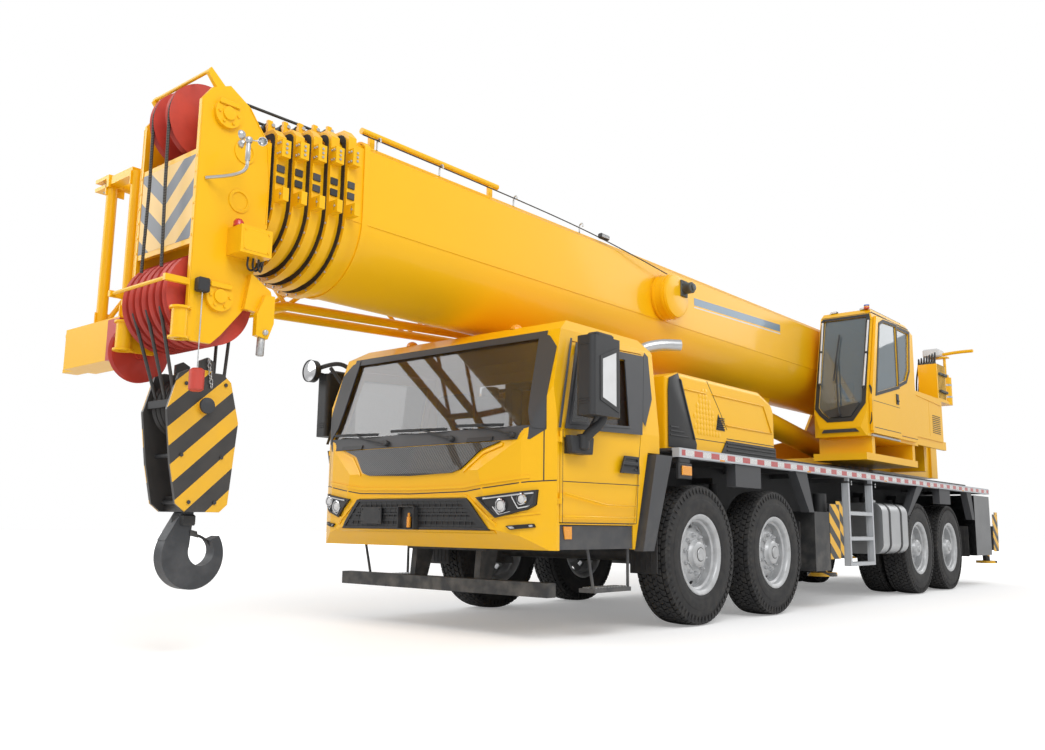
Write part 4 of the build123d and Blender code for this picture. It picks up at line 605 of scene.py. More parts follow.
# Two-tone finishes: the tones, or a weathered colour with its wear and dust; the pattern between the tones with its
# rise and amount; the roughness (lowest, gain, pattern); the bump (pattern, metres, strength); and the shader's other
# values. A pattern is (scale, detail, stretch) of noise, or "cells" and a scale.
PLAIN = {
    "frame_black": (("dark", 0.3, 0.3), None, (0.46, 0.16, (90, 3)), ((90, 3), 0.0008, 0.5), {}),
    "moulded_black": (((0.02, 0.021, 0.023), (0.036, 0.037, 0.039)), ((3, 3), None, 0.5), (0.42, 0.14, (3, 3)),
        (("cells", 420), 0.0006, 0.6), {}),
    "slate_plastic": (((0.056, 0.058, 0.063), 0.25, 0.25), None, (0.44, 0.15, (2.4, 4)), ((240, 2), 0.0006, 0.5), {}),
    "pale_grey": (((0.52, 0.54, 0.56), 0.2, 0.4), None, (0.4, 0.15, (5, 5)), None, {"Coat_Weight": 0.2}),
    "tyre_rubber": (((0.016, 0.016, 0.017), (0.052, 0.047, 0.041)), ((12, 6), (0.4, 0.8), 0.6), (0.62, 0.2, (180, 2)),
        ((180, 2), 0.001, 0.6), {}),
    "wheel_silver": (((0.5, 0.51, 0.52), (0.21, 0.2, 0.19)), ((14, 5), (0.45, 0.85), 0.45), (0.34, 0.2, (14, 5)),
        None, {"Metallic": 0.35, "Coat_Weight": 0.2}),
    "brushed_aluminium": (((0.62, 0.63, 0.64), (0.47, 0.48, 0.49)), ((3, 4), None, 1),
        (0.26, 0.22, (30, 4, (1, 26, 26))), ((30, 4, (1, 26, 26)), 0.0004, 0.4), {"Metallic": 0.92}),
    "zinc_steel": (((0.42, 0.43, 0.44), (0.6, 0.61, 0.61)), (("cells", 70), None, 1), (0.3, 0.3, ("cells", 70)), None,
        {"Metallic": 0.8}),
    "cast_grey": (((0.052, 0.055, 0.06), (0.14, 0.14, 0.145)), ((6, 4), (0.5, 0.8), 0.5), (0.36, 0.18, (60, 5)),
        ((60, 5), 0.0015, 0.6), {"Metallic": 0.3}),
    "sheave_red": (((0.56, 0.06, 0.04), (0.3, 0.026, 0.02)), ((9, 4), (0.35, 0.9), 0.6), (0.36, 0.2, (9, 4)), None,
        {"Coat_Weight": 0.15}),
    "greased_ring": (((0.05, 0.045, 0.04), (0.2, 0.085, 0.018)), ((16, 5), (0.4, 0.65), 1), (0.34, 0.25, (16, 5)),
        ((16, 5), 0.003, 0.6), {"Metallic": 0.4}),
    "chrome": (((0.8, 0.8, 0.81), (0.62, 0.62, 0.63)), ((9, 3), None, 1), (0.05, 0.08, (9, 3)), None,
        {"Metallic": 1.0}),
    "interior_trim": (((0.075, 0.066, 0.058), (0.14, 0.125, 0.105)), ((2, 3), None, 1), (0.62, 0.15, (180, 3)),
        ((180, 3), 0.001, 0.5), {}),
    "engine_metal": (((0.1, 0.115, 0.11), (0.035, 0.033, 0.03)), ((7, 6), (0.4, 0.7), 1), (0.45, 0.25, (7, 6)),
        ((7, 6), 0.01, 0.4), {}),
    "white_plastic": (((0.72, 0.73, 0.74), (0.56, 0.57, 0.58)), ((8, 4), None, 1), (0.32, 0.15, (8, 4)), None,
        {"Coat_Weight": 0.3}),
    "stripe_blue": (((0.1, 0.2, 0.3), (0.2, 0.24, 0.28)), ((8, 4), None, 0.4), (0.3, 0.1, (8, 4)), None,
        {"Coat_Weight": 0.4}),
}


def plain(recipe, tones, mask, rough, bump, values):
    """A row of PLAIN as a finish: colour = first + mask (second - first), roughness = lowest + gain * pattern."""
    made = {}

    def pattern(key):
        if key not in made:
            made[key] = recipe.cells(key[1]) if key[0] == "cells" else recipe.noise(*key)
        return made[key]

    if mask:
        key, rise, amount = mask
        level = pattern(key).rise(*rise) if rise else pattern(key)
        colour = recipe.blend(level * amount, *tones)
    else:
        colour = weathered(recipe, tuple(settings().dark) if tones[0] == "dark" else tones[0], *tones[1:])
    if bump:
        values = {**values, "Normal": recipe.bump(pattern(bump[0]), *bump[1:])}
    return recipe.surface(Base_Color=colour, Roughness=rough[0] + pattern(rough[2]) * rough[1], **values)


# Finishes that differ from each other only in what one maker takes.
VARIED = {
    "windscreen_glass": (tinted, (0.04, 0.045, 0.05), 0.34),
    "cabin_glass": (tinted, (0.13, 0.18, 0.21), 0.55),
    "lens_amber": (lens, (0.92, 0.36, 0.02)),
    "lens_red": (lens, (0.62, 0.02, 0.015)),
    "lens_blue": (lens, (0.03, 0.13, 0.55)),
    "blue_cloth": (seat_fabric, (0.035, 0.075, 0.17)),
    "dark_cloth": (seat_fabric, (0.05, 0.05, 0.055)),
    **{name: (plain, *row) for name, row in PLAIN.items()},
}
SINGLE = (block_paint, jib_paint, studio_floor, gloss_yellow, deck_finish, box_panels, rope_steel, lens_clear,
    jack_stripes, head_chevrons, road_tape, hatched, hose_rubber)
MAKERS = {make.__name__: (make,) for make in SINGLE} | VARIED
MADE = {}


def shade(name):
    """The finish of that name, made once."""
    if name not in MADE:
        make, *values = MAKERS[name]
        MADE[name] = make(Recipe(name), *values)
    return MADE[name]


def settings():
    return bpy.context.scene.crane


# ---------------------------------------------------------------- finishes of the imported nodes
NODE_FINISHES = {
    "gloss_yellow": ("driver_cab", "engine_hood", "turntable", "counterweight", "operator_cab", "operator_door",
                     "boom_base", "boom_section_2", "boom_section_3", "boom_section_4", "boom_section_5", "boom_head",
                     "luffing_barrel", "cab_door_left", "cab_door_right"),
    "frame_black": ("chassis_frame", "axles", "underrun_bar", "winches"),
    "moulded_black": ("front_grille", "mirror_left", "mirror_right"),
    "jib_paint": ("jib",),
    "slate_plastic": ("fenders",),
    "deck_finish": ("deck",),
    "brushed_aluminium": ("fuel_tank",),
    "box_panels": ("tool_boxes",),
    "sheave_red": ("head_sheaves",),
    "greased_ring": ("slew_ring",),
    "chrome": ("luffing_rod",),
    "windscreen_glass": ("cab_glass", "cab_door_glass_left", "cab_door_glass_right"),
    "cabin_glass": ("operator_glass", "operator_door_glass"),
    "engine_metal": ("engine",),
    "block_paint": ("hook_block",),
    "cast_grey": ("hook",),
    "jack_stripes": tuple(f"outrigger_jack_{end}_{side}" for end in ("front", "rear") for side in ("left", "right")),
    "tyre_rubber": tuple(f"wheel_{n}_{side}" for n in range(1, 5) for side in ("left", "right")),
}


class CRANE_OT_node_finishes(bpy.types.Operator):
    """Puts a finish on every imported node"""
    bl_idname = "crane.node_finishes"
    bl_label = "Node finishes"

    def execute(self, context):
        chosen = {node: finish for finish, nodes in NODE_FINISHES.items() for node in nodes}
        for name, node in NODES.items():
            finish = shade(chosen.get(name, "frame_black"))
            if not node.material_slots:
                node.data.materials.append(finish)
            for slot in node.material_slots:
                slot.material = finish
        return {"FINISHED"}


# ---------------------------------------------------------------- wheels
FRONT_TYRE, FRONT_HUB, REAR_HUB = (1.346, 1.026), 1.25, 1.13  # outer and inner face of a tyre, and hub faces
TYRE_HALF = 0.16  # the profiles' half width
REAR_TYRES = ((1.314, 0.994), (0.96, 0.64))
AXLE_X = [sum(corner[0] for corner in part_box(f"wheel_{n}_left")) / 2 for n in range(1, 5)]
TYRE_R = (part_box("wheel_1_left")[1][2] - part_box("wheel_1_left")[0][2]) / 2
AXLE_Z = TYRE_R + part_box("wheel_1_left")[0][2]


def carcass(x, low, high, depth):
    """The tyre under its tread: a profile of (y, radius) from bead to bead, turned about the axle."""
    half, middle = (high - low) / 2, (low + high) / 2
    side = [(0.128, 0.33), (0.143, 0.352), (0.15, 0.372), (0.153, 0.384), (0.1525, 0.39), (0.157, 0.408),
        (0.16, 0.432), (0.1585, 0.47), (0.1575, 0.478), (0.1545, 0.482), (0.152, 0.51), (0.146, 0.545), (0.139, 0.568)]
    crown = [(0.126, TYRE_R - depth - 0.012), (0.085, TYRE_R - depth - 0.005), (0.0, TYRE_R - depth - 0.002)]
    right = [(s * half / TYRE_HALF, r) for s, r in side + crown]
    profile = [(middle - s, r) for s, r in right] + [(middle + s, r) for s, r in right[-2::-1]]
    inner = [(middle + 0.12, 0.315), (middle - 0.12, 0.315), (middle - right[0][0], right[0][1])]
    return lathe(profile + inner, (x, 0, AXLE_Z), 1, 120)


def repeated(points):
    """Closed forms from an array of copies by rows by columns by 3, each with a flat face over its ends."""
    first = capped(points[0])
    shift = np.arange(len(points))[:, None, None] * len(first[0])
    return points.reshape(-1, 3), [(g[None] + shift).reshape(-1, g.shape[1]) for g in first[1]]


def tread(x, low, high, blocks, depth):
    """Rows of blocks standing on the carcass. A block is a six-sided outline (across, along) whose ends lean to and
    fro by row, at three levels: root, edge and a slightly smaller top. A point at across s, along t and level h
    goes to y = middle + s, angle = t / R, radius = R - depth + h - crown(s)."""
    middle, half = (low + high) / 2, (high - low) / 2
    pitch = 2 * pi / blocks
    rows = [(-0.127, 0.04, 1, 0.0), (-0.073, 0.047, -1, 0.5), (-0.0245, 0.043, 1, 0.05), (0.0245, 0.043, -1, 0.55),
        (0.073, 0.047, 1, 0.1), (0.127, 0.04, -1, 0.6)]
    forms = []
    for s0, width, lean, phase in rows:
        outer = abs(s0) > 0.1
        across = np.array([-0.5, 0.0, 0.5, 0.5, 0.0, -0.5]) * width
        along = np.array([-0.4, -0.3, -0.44, 0.4, 0.52, 0.36]) * pitch
        along = along + lean * across / width * pitch * 0.34
        levels = [(-0.01, 1.0), (depth * 0.82, 1.0), (depth, 0.86)]
        a = (np.arange(blocks) * pitch + phase * pitch)[:, None, None]
        s = np.stack([s0 + across * k for _, k in levels])[None]
        t = np.stack([along * k for _, k in levels])[None]
        h = np.array([level for level, _ in levels])[None, :, None]
        drop = 0.01 * (s / 0.15) ** 2 + (0.16 * np.maximum(abs(s) - 0.132, 0) if outer else 0)
        r = TYRE_R - depth + h - drop
        if outer:
            r = np.where(h < 0, r - 0.012, r)
        points = np.stack([x + r * np.sin(a + t), middle + s * half / TYRE_HALF + 0 * (r + a),
            AXLE_Z + r * np.cos(a + t)], -1)
        forms.append(flipped(repeated(points)))
    return joined(forms + [shoulder_lugs(x, middle, half, blocks, side) for side in (1, -1)])


def shoulder_lugs(x, middle, half, blocks, side):
    """Lugs over the tyre's shoulder: a four-sided section in angle, at radii from tread to wall, as deep as the
    tread at the top and flush with the wall at the bottom."""
    pitch = 2 * pi / blocks
    steps = [(TYRE_R - 0.02, 0.146, 0.3), (TYRE_R - 0.034, 0.1525, 0.3), (TYRE_R - 0.06, 0.156, 0.24),
        (TYRE_R - 0.078, 0.1545, 0.2)]
    a = (np.arange(blocks) * pitch)[:, None, None]
    corner = np.array([-1, 1, 1, -1])[None, None]
    sink = np.array([0, 0, 0.03, 0.03])[None, None]
    r, y, width = np.array(steps).T[:, None, :, None]
    y, width = y * half / TYRE_HALF, width * pitch
    angle = a + corner * width + 0 * r
    points = np.stack([x + r * np.sin(angle), middle + side * (y - sink + 0 * angle), AXLE_Z + r * np.cos(angle)], -1)
    return repeated(points) if side > 0 else flipped(repeated(points))


def rim(x, low, high, sign):
    """Wheel rim between two tyre faces: flanges, bead seats and a well."""
    middle, half = (low + high) / 2, (high - low) / 2
    out = sign * half
    edge = [(0.86, 0.334), (0.905, 0.352), (0.93, 0.35), (0.94, 0.338), (0.9, 0.324), (0.86, 0.312), (0.8, 0.306),
        (0.62, 0.302), (0.55, 0.284)]
    profile = [(middle + out * s, r) for s, r in edge]
    profile += [(middle - out * s, r) for s, r in edge[::-1]]
    profile += [(middle - out * 0.55, 0.3), (middle + out * 0.55, 0.3)]
    return lathe(profile + profile[:1], (x, 0, AXLE_Z), 1, 72)


def disc(x, centre, sign):
    """Wheel disc: a flat middle, a raised ring for the nuts, a slope with hand holes and an outer hoop. The grid
    is angle by radius; faces inside each hand hole are left out, and the plate is given its thickness after."""
    radii = [(0.0, 0.0), (0.06, 0.0), (0.1, 0.0), (0.135, 0.0), (0.142, -0.004), (0.188, -0.004), (0.198, -0.01),
        (0.214, -0.022), (0.228, -0.03), (0.246, -0.04), (0.262, -0.048), (0.284, -0.054), (0.3, -0.054), (0.3, -0.11)]
    steps = 120
    a = np.linspace(0, 2 * pi, steps, endpoint=False)[:, None]
    r = np.array([max(radius, 0.012) for radius, _ in radii])[None]
    y = np.array([level for _, level in radii])[None] + 0 * a
    points = np.stack([x + r * np.cos(a), centre + sign * y + 0 * r, AXLE_Z + r * np.sin(a)], -1)
    verts, (faces,) = grid(points, close_rows=True)
    i = np.repeat(np.arange(steps), len(radii) - 1)
    j = np.tile(np.arange(len(radii) - 1), steps)
    hole = (i % 12 >= 3) & (i % 12 < 8) & (j >= 8) & (j <= 9)
    cap = np.arange(steps)[None] * len(radii)
    faces = faces[~hole]
    if sign > 0:
        faces, cap = faces[:, ::-1], cap[:, ::-1]
    return verts, [faces[:, ::-1], cap]


def hub(x, centre, reach, sign):
    """Hub boss: a profile of (distance out, radius) turned about the axle, rounded at its cap."""
    profile = [(0.0, 0.132), (reach * 0.35, 0.13), (reach * 0.5, 0.118), (reach * 0.85, 0.11), (reach * 0.95, 0.1),
        (reach, 0.086), (reach, 0.058), (reach * 1.12, 0.052), (reach * 1.14, 0.04), (reach * 1.14, 0.0)]
    return lathe([(centre + sign * d, r) for d, r in profile], (x, 0, AXLE_Z), 1, 40)


def hub_nuts(x, centre, sign, count):
    """Nuts round the hub on a 335 mm circle."""
    a = np.arange(count) * 2 * pi / count + 0.2
    head = nut(0.02, 0.05, 1) if sign > 0 else mirrored(nut(0.02, 0.05, 1))
    washer = lathe([(0, 0.027), (sign * 0.006, 0.027), (sign * 0.008, 0.018)], (0, 0, 0), 1, 14)
    places = np.stack([x + 0.1675 * np.cos(a), np.full(count, centre), AXLE_Z + 0.1675 * np.sin(a)], 1)
    return placed([head, washer], places)


class CRANE_OT_wheels(bpy.types.Operator):
    """Tyres with block tread on silver disc wheels, in place of the plain wheels"""
    bl_idname = "crane.wheels"
    bl_label = "Wheels"

    def execute(self, context):
        values = context.scene.crane
        for number, x in enumerate(AXLE_X, 1):
            for side_name, sign in SIDES:
                name = f"wheel_{number}_{side_name}"
                pairs = [FRONT_TYRE] if number < 3 else REAR_TYRES
                faces = [tuple(sorted((sign * a, sign * b))) for a, b in pairs]
                rubber = [carcass(x, low, high, values.tread_depth) for low, high in faces]
                rubber += [tread(x, low, high, values.tread_blocks, values.tread_depth) for low, high in faces]
                piece(f"tyre_{number}_{side_name}", rubber, name, "tyre_rubber", 30, (name,), "rubber")
                metal = [rim(x, low, high, sign) for low, high in faces]
                middle = sign * (FRONT_HUB if number < 3 else REAR_HUB)
                metal += [hub(x, middle, 0.075 if number < 3 else 0.16, sign),
                    hub_nuts(x, middle, sign, values.wheel_nuts)]
                piece(f"rim_{number}_{side_name}", metal, name, "wheel_silver", 30)
                plates = [("disc", disc(x, middle, sign))]
                if number > 2:
                    plates.append(("inner_disc", disc(x, middle - sign * 0.02, -sign)))
                for kind, form in plates:
                    made = piece(f"{kind}_{number}_{side_name}", form, name, "wheel_silver", 30)
                    wall = made.modifiers.new("wall", "SOLIDIFY")
                    wall.thickness, wall.offset = 0.012, -1
        return {"FINISHED"}


# ---------------------------------------------------------------- driver's cab
CAB_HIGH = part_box("driver_cab")[1]
CAB_FRONT = CAB_HIGH[0]
CAB_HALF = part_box("cab_door_left")[1][1]
CAB_NOSE_Z = (0.665, 0.815, 1.25, 1.53, 2.33, 2.43)  # heights at which the nose's slope changes
CAB_NOSE_X = (-0.204, -0.03, 0.0, -0.11, -0.35, -0.52)  # and how far it stands there, from the front
CAB_PLAN_Y = (0.0, 0.74, 1.09, 1.32)
CAB_PLAN_X = (0.0, 0.0, -0.09, -0.23)
CAB_SIDE_Z = (0.0, 1.6, 2.33, 2.43)
CAB_SIDE_Y = (0.0, 0.0, -0.07, -0.15)


def nose_x(y, z):
    """Where the cab's front skin is: the lower of the side view's slope at z and the plan's at y."""
    return CAB_FRONT + np.minimum(np.interp(z, CAB_NOSE_Z, CAB_NOSE_X), np.interp(abs(y), CAB_PLAN_Y, CAB_PLAN_X))


def side_y(z):
    """Where the cab's left skin is: upright to the belt, then leaning in."""
    return CAB_HALF + np.interp(z, CAB_SIDE_Z, CAB_SIDE_Y)


def nose_panel(y, low, high, lift=0.006, depth=0.01, rows=7, count=25):
    """A panel on the cab's nose: stations along y between two height lines, each a closed loop of points that go up
    the front, x = nose + lift, and down the back, x = nose + lift - depth."""
    line = np.linspace(y[0], y[-1], count) if count else np.asarray(y, float)
    bottom, top = np.interp(line, y, low), np.interp(line, y, high)
    v = np.linspace(0, 1, rows)[None]
    z = bottom[:, None] + (top - bottom)[:, None] * v
    across = line[:, None] + 0 * z
    x = nose_x(across, z) + lift
    front = np.stack([x, across, z], -1)
    back = np.stack([x - depth, across, z], -1)[:, ::-1]
    return flipped(capped(np.concatenate([front, back], 1)))


def nose_strip(y, z, width, lift=0.004, depth=0.006, count=33):
    """A narrow strip along a line on the nose."""
    z = np.asarray(z, float)
    return nose_panel(y, z - width / 2, z + width / 2, lift, depth, 2, count)


def on_side(forms):
    """Plates made about y = 0, laid on the cab's left skin."""
    return laid(forms, 1, lambda _, z: side_y(z))


def on_nose(forms):
    """Plates made about x = 0, laid on the nose."""
    return laid(forms, 0, nose_x)


def ring_plate(outer, inner, low, high, axis=1):
    """A plate with a hole: four loops round it, outer low, outer high, inner high, inner low. Both outlines have the
    same number of corners, in step, and each edge is cut into four so that it can be bent."""
    outer, inner = finely(outer, 4), finely(inner, 4)
    loops = [(outer, low), (outer, high), (inner, high), (inner, low)]
    form = grid(levelled(loops, axis), close_rows=True, close_columns=True)
    return form if (area(outer) > 0) == (axis != 1) else flipped(form)


class CRANE_OT_cab_front(bpy.types.Operator):
    """Screen surround, hatched apron, grille, lamps, wipers and seams on the cab's nose"""
    bl_idname = "crane.cab_front"
    bl_label = "Cab front"

    def execute(self, context):
        dark = [nose_panel((-1.25, -1.15, 1.15, 1.25), (1.545, 1.47, 1.47, 1.545), (1.6, 1.575, 1.575, 1.6), 0.005),
            nose_panel((-1.13, 1.13), (2.268, 2.268), (2.325, 2.325), 0.005)]
        dark += [both(nose_panel((1.06, 1.1, 1.16, 1.25), (2.26, 1.7, 1.555, 1.545), (2.31, 2.3, 2.28, 2.18), 0.011,
            0.014, 12, 13))]
        on_chassis("screen_surround", dark, "slate_plastic")
        on_chassis("screen_apron", nose_panel((-0.9, -0.72, -0.57, -0.48, 0.0, 0.48, 0.57, 0.72, 0.9),
            (1.462, 1.405, 1.262, 1.235, 1.222, 1.235, 1.262, 1.405, 1.462), [1.463] * 9, 0.016, 0.012, 9, 49),
            "hatched", 50)
        self.grille()
        self.lamps()
        self.wipers()
        seam_y = (-1.318, -1.15, -0.6, 0.0, 0.6, 1.15, 1.318)
        seams = [nose_strip(seam_y, (1.17, 1.16, 1.09, 1.08, 1.09, 1.16, 1.17), 0.008, 0.0015, 0.004, 61)]
        seams += [both(nose_panel((1.232, 1.239), (1.17, 1.17), (1.545, 1.545), 0.0015, 0.004, 9, 2))]
        on_chassis("nose_seams", seams, "moulded_black")
        folds = [nose_strip(seam_y[1:-1], (1.196, 1.128, 1.118, 1.128, 1.196), 0.022, 0.01, 0.016, 61),
            nose_strip((-0.9, -0.62, 0.62, 0.9), (0.845, 1.058, 1.058, 0.845), 0.02, 0.01, 0.016, 61),
            nose_strip((-0.88, 0.88), (0.788, 0.788), 0.022, 0.012, 0.018, 41)]
        folds += [both(nose_strip((0.6, 0.76, 0.93), (1.245, 1.385, 1.44), 0.024, 0.012, 0.018, 21)),
            both(nose_strip((0.84, 1.22), (0.888, 0.935), 0.016, 0.009, 0.014, 21))]
        on_chassis("nose_folds", folds, "gloss_yellow", 60)
        on_chassis("roof_markers", [placed(lathe([(0, 0.055), (0.022, 0.05), (0.04, 0.034), (0.048, 0.014)], (0, 0, 0),
            2, 24), [(CAB_FRONT - 0.56, y, CAB_HIGH[2] - 0.004)]) for y in (-0.62, 0.62)], "lens_amber")
        return {"FINISHED"}

    def grille(self):
        """Dark frame, cross bars and staggered uprights of the grille, its tow box and blank plate."""
        frame_line = [(0.845, 0.803), (0.632, 1.04), (-0.632, 1.04), (-0.845, 0.803)]
        hole = [(0.795, 0.822), (0.605, 1.022), (-0.605, 1.022), (-0.795, 0.822)]
        parts = [on_nose(ring_plate(frame_line, hole, 0.0, 0.02, 0))]
        levels = np.array([0.822, 0.872, 0.922, 0.972, 1.022])
        widths = 0.795 - (levels - 0.822) * 0.95
        parts += [nose_panel((-w, w), (z - 0.006, z - 0.006), (z + 0.006, z + 0.006), 0.017, 0.026, 2, 21)
            for z, w in zip(levels[1:-1], widths[1:-1])]
        parts += [on_nose(placed(plate(four((-0.004, -0.022), (0.004, 0.022)), -0.008, 0.012, 0, 0.001),
            [(0, y, z + 0.025) for y in np.arange(-w + 0.05 + 0.03 * (row % 2), w - 0.03, 0.062)]))
            for row, (z, w) in enumerate(zip(levels[:-1], widths[1:]))]
        on_chassis("grille_bars", parts, "moulded_black", 30)
        on_chassis("grille_back", nose_panel((-0.8, -0.61, 0.61, 0.8), (0.82, 0.82, 0.82, 0.82),
            (0.822, 1.024, 1.024, 0.822), 0.006, 0.012, 4, 33), "tyre_rubber")
        x = CAB_FRONT - 0.01
        box_walls = [slab((x - 0.02, y0, z0), (x + 0.048, y1, z1)) for y0, z0, y1, z1 in ((-0.095, 0.8, -0.085, 0.985),
            (0.085, 0.8, 0.095, 0.985), (-0.095, 0.975, 0.095, 0.985), (-0.095, 0.8, 0.095, 0.808))]
        box_walls += [slab((x, -0.085, 0.806), (x + 0.01, 0.085, 0.977)), slab((x + 0.012, -0.56, 0.842),
            (x + 0.03, -0.31, 0.978), 0.006)]
        box_walls += [bar((x + 0.028, y, z), (x + 0.036, y, z), 0.007, 6) for y in (-0.54, -0.33)
            for z in (0.86, 0.96)]
        on_chassis("tow_box", box_walls, "frame_black", 30)
        on_chassis("tow_pin", [bar((x + 0.03, 0.028, 0.815), (x + 0.03, 0.028, 0.9), 0.017, 14),
            bar((x + 0.03, 0.028, 0.9), (x + 0.03, 0.028, 0.93), 0.01, 12)], "lens_amber")

    def lamps(self):
        """Headlamps: a dark bezel, two projectors with chrome rings, a light strip; and the fog lamps below."""
        outline = np.array([(0.73, 1.045), (1.205, 1.1), (1.195, 0.99), (1.14, 0.955), (0.905, 0.895)])
        small = inset(outline, 0.014)
        on_chassis("headlamp_bezels", both(on_nose(ring_plate(outline, small, 0.0, 0.024, 0))), "moulded_black")
        on_chassis("headlamp_backs", both(on_nose(plate(small, 0.01, 0.014, 0, 0.001))), "slate_plastic")
        rings, domes, strips = [], [], []
        for y, z, r in ((0.945, 0.985, 0.042), (1.105, 1.032, 0.036)):
            x = float(nose_x(y, z)) + 0.012
            rings.append(lathe([(0, r * 1.25), (0.014, r * 1.2), (0.016, r * 1.04), (0.004, r * 0.96), (0, r * 1.25)],
                (x, y, z), 0, 36))
            domes.append(lathe([(-0.004, r * 0.98), (0.006, r * 0.92), (0.013, r * 0.7), (0.017, r * 0.35),
                (0.018, r * 0.06)], (x, y, z), 0, 28))
        strips += [nose_strip(y, z, width, 0.02, 0.006, 9) for y, z, width in (((0.8, 1.18), (1.036, 1.078), 0.012),
            ((0.88, 0.93, 1.02), (0.975, 0.918, 0.94), 0.008), ((1.03, 1.08, 1.17), (1.05, 0.965, 0.985), 0.008))]
        fog = np.array([(0.985, 0.838), (1.18, 0.855), (1.19, 0.83), (1.02, 0.81)])
        on_chassis("fog_bezels", both(on_nose(ring_plate(fog, inset(fog, 0.006), 0.0, 0.02, 0))), "moulded_black")
        strips.append(on_nose(plate(inset(fog, 0.006), 0.01, 0.016, 0, 0.001)))
        on_chassis("projector_rings", both(rings), "chrome")
        on_chassis("lamp_lenses", both(domes + strips), "white_plastic", 40)

    def wipers(self):
        """Three wipers: a pivot cap, a cranked arm and a blade that lies on the screen."""
        caps, arms, blades = [], [], []
        for pivot, elbow, end, tips in ((1.01, 0.86, 0.66, (0.9, 0.4)), (0.38, 0.22, 0.03, (0.3, -0.36)),
                (-0.38, -0.6, -0.81, (-0.52, -1.1))):
            def spot(y, z, lift):
                return (float(nose_x(y, z)) + lift, y, z)
            caps.append(bar(spot(pivot, 1.502, 0.0), spot(pivot, 1.512, 0.045), 0.024, 16))
            caps.append(bar(spot(pivot - 0.05, 1.52, 0.02), spot(pivot + 0.03, 1.5, 0.03), 0.015, 12))
            arms.append(tube([spot(pivot, 1.506, 0.038), spot(elbow, 1.545, 0.05), spot(end, 1.6, 0.04)], 0.0085, 8,
                6))
            line = np.linspace(tips[0], tips[1], 9)
            share = np.linspace(0, 1, 9)
            path = np.array([spot(y, 1.59 + 0.018 * k, 0.024 + 0.012 * sin(pi * k)) for y, k in zip(line, share)])
            blades.append(swept(path, [(-0.004, -0.012), (0.004, -0.012), (0.01, 0.01), (-0.01, 0.01)]))
            blades.append(bar(path[4] + (0.006, 0.05, 0), path[4] + (0.006, -0.05, 0), 0.012, 8))
        on_chassis("wiper_arms", caps + arms, "moulded_black", 40)
        on_chassis("wiper_blades", blades, "moulded_black", 40)
        on_chassis("washer_covers", [nose_strip((low, low + 0.26), (1.487, 1.487), 0.034, 0.02, 0.022, 9)
            for low in (0.55, -0.95)], "moulded_black", 30)


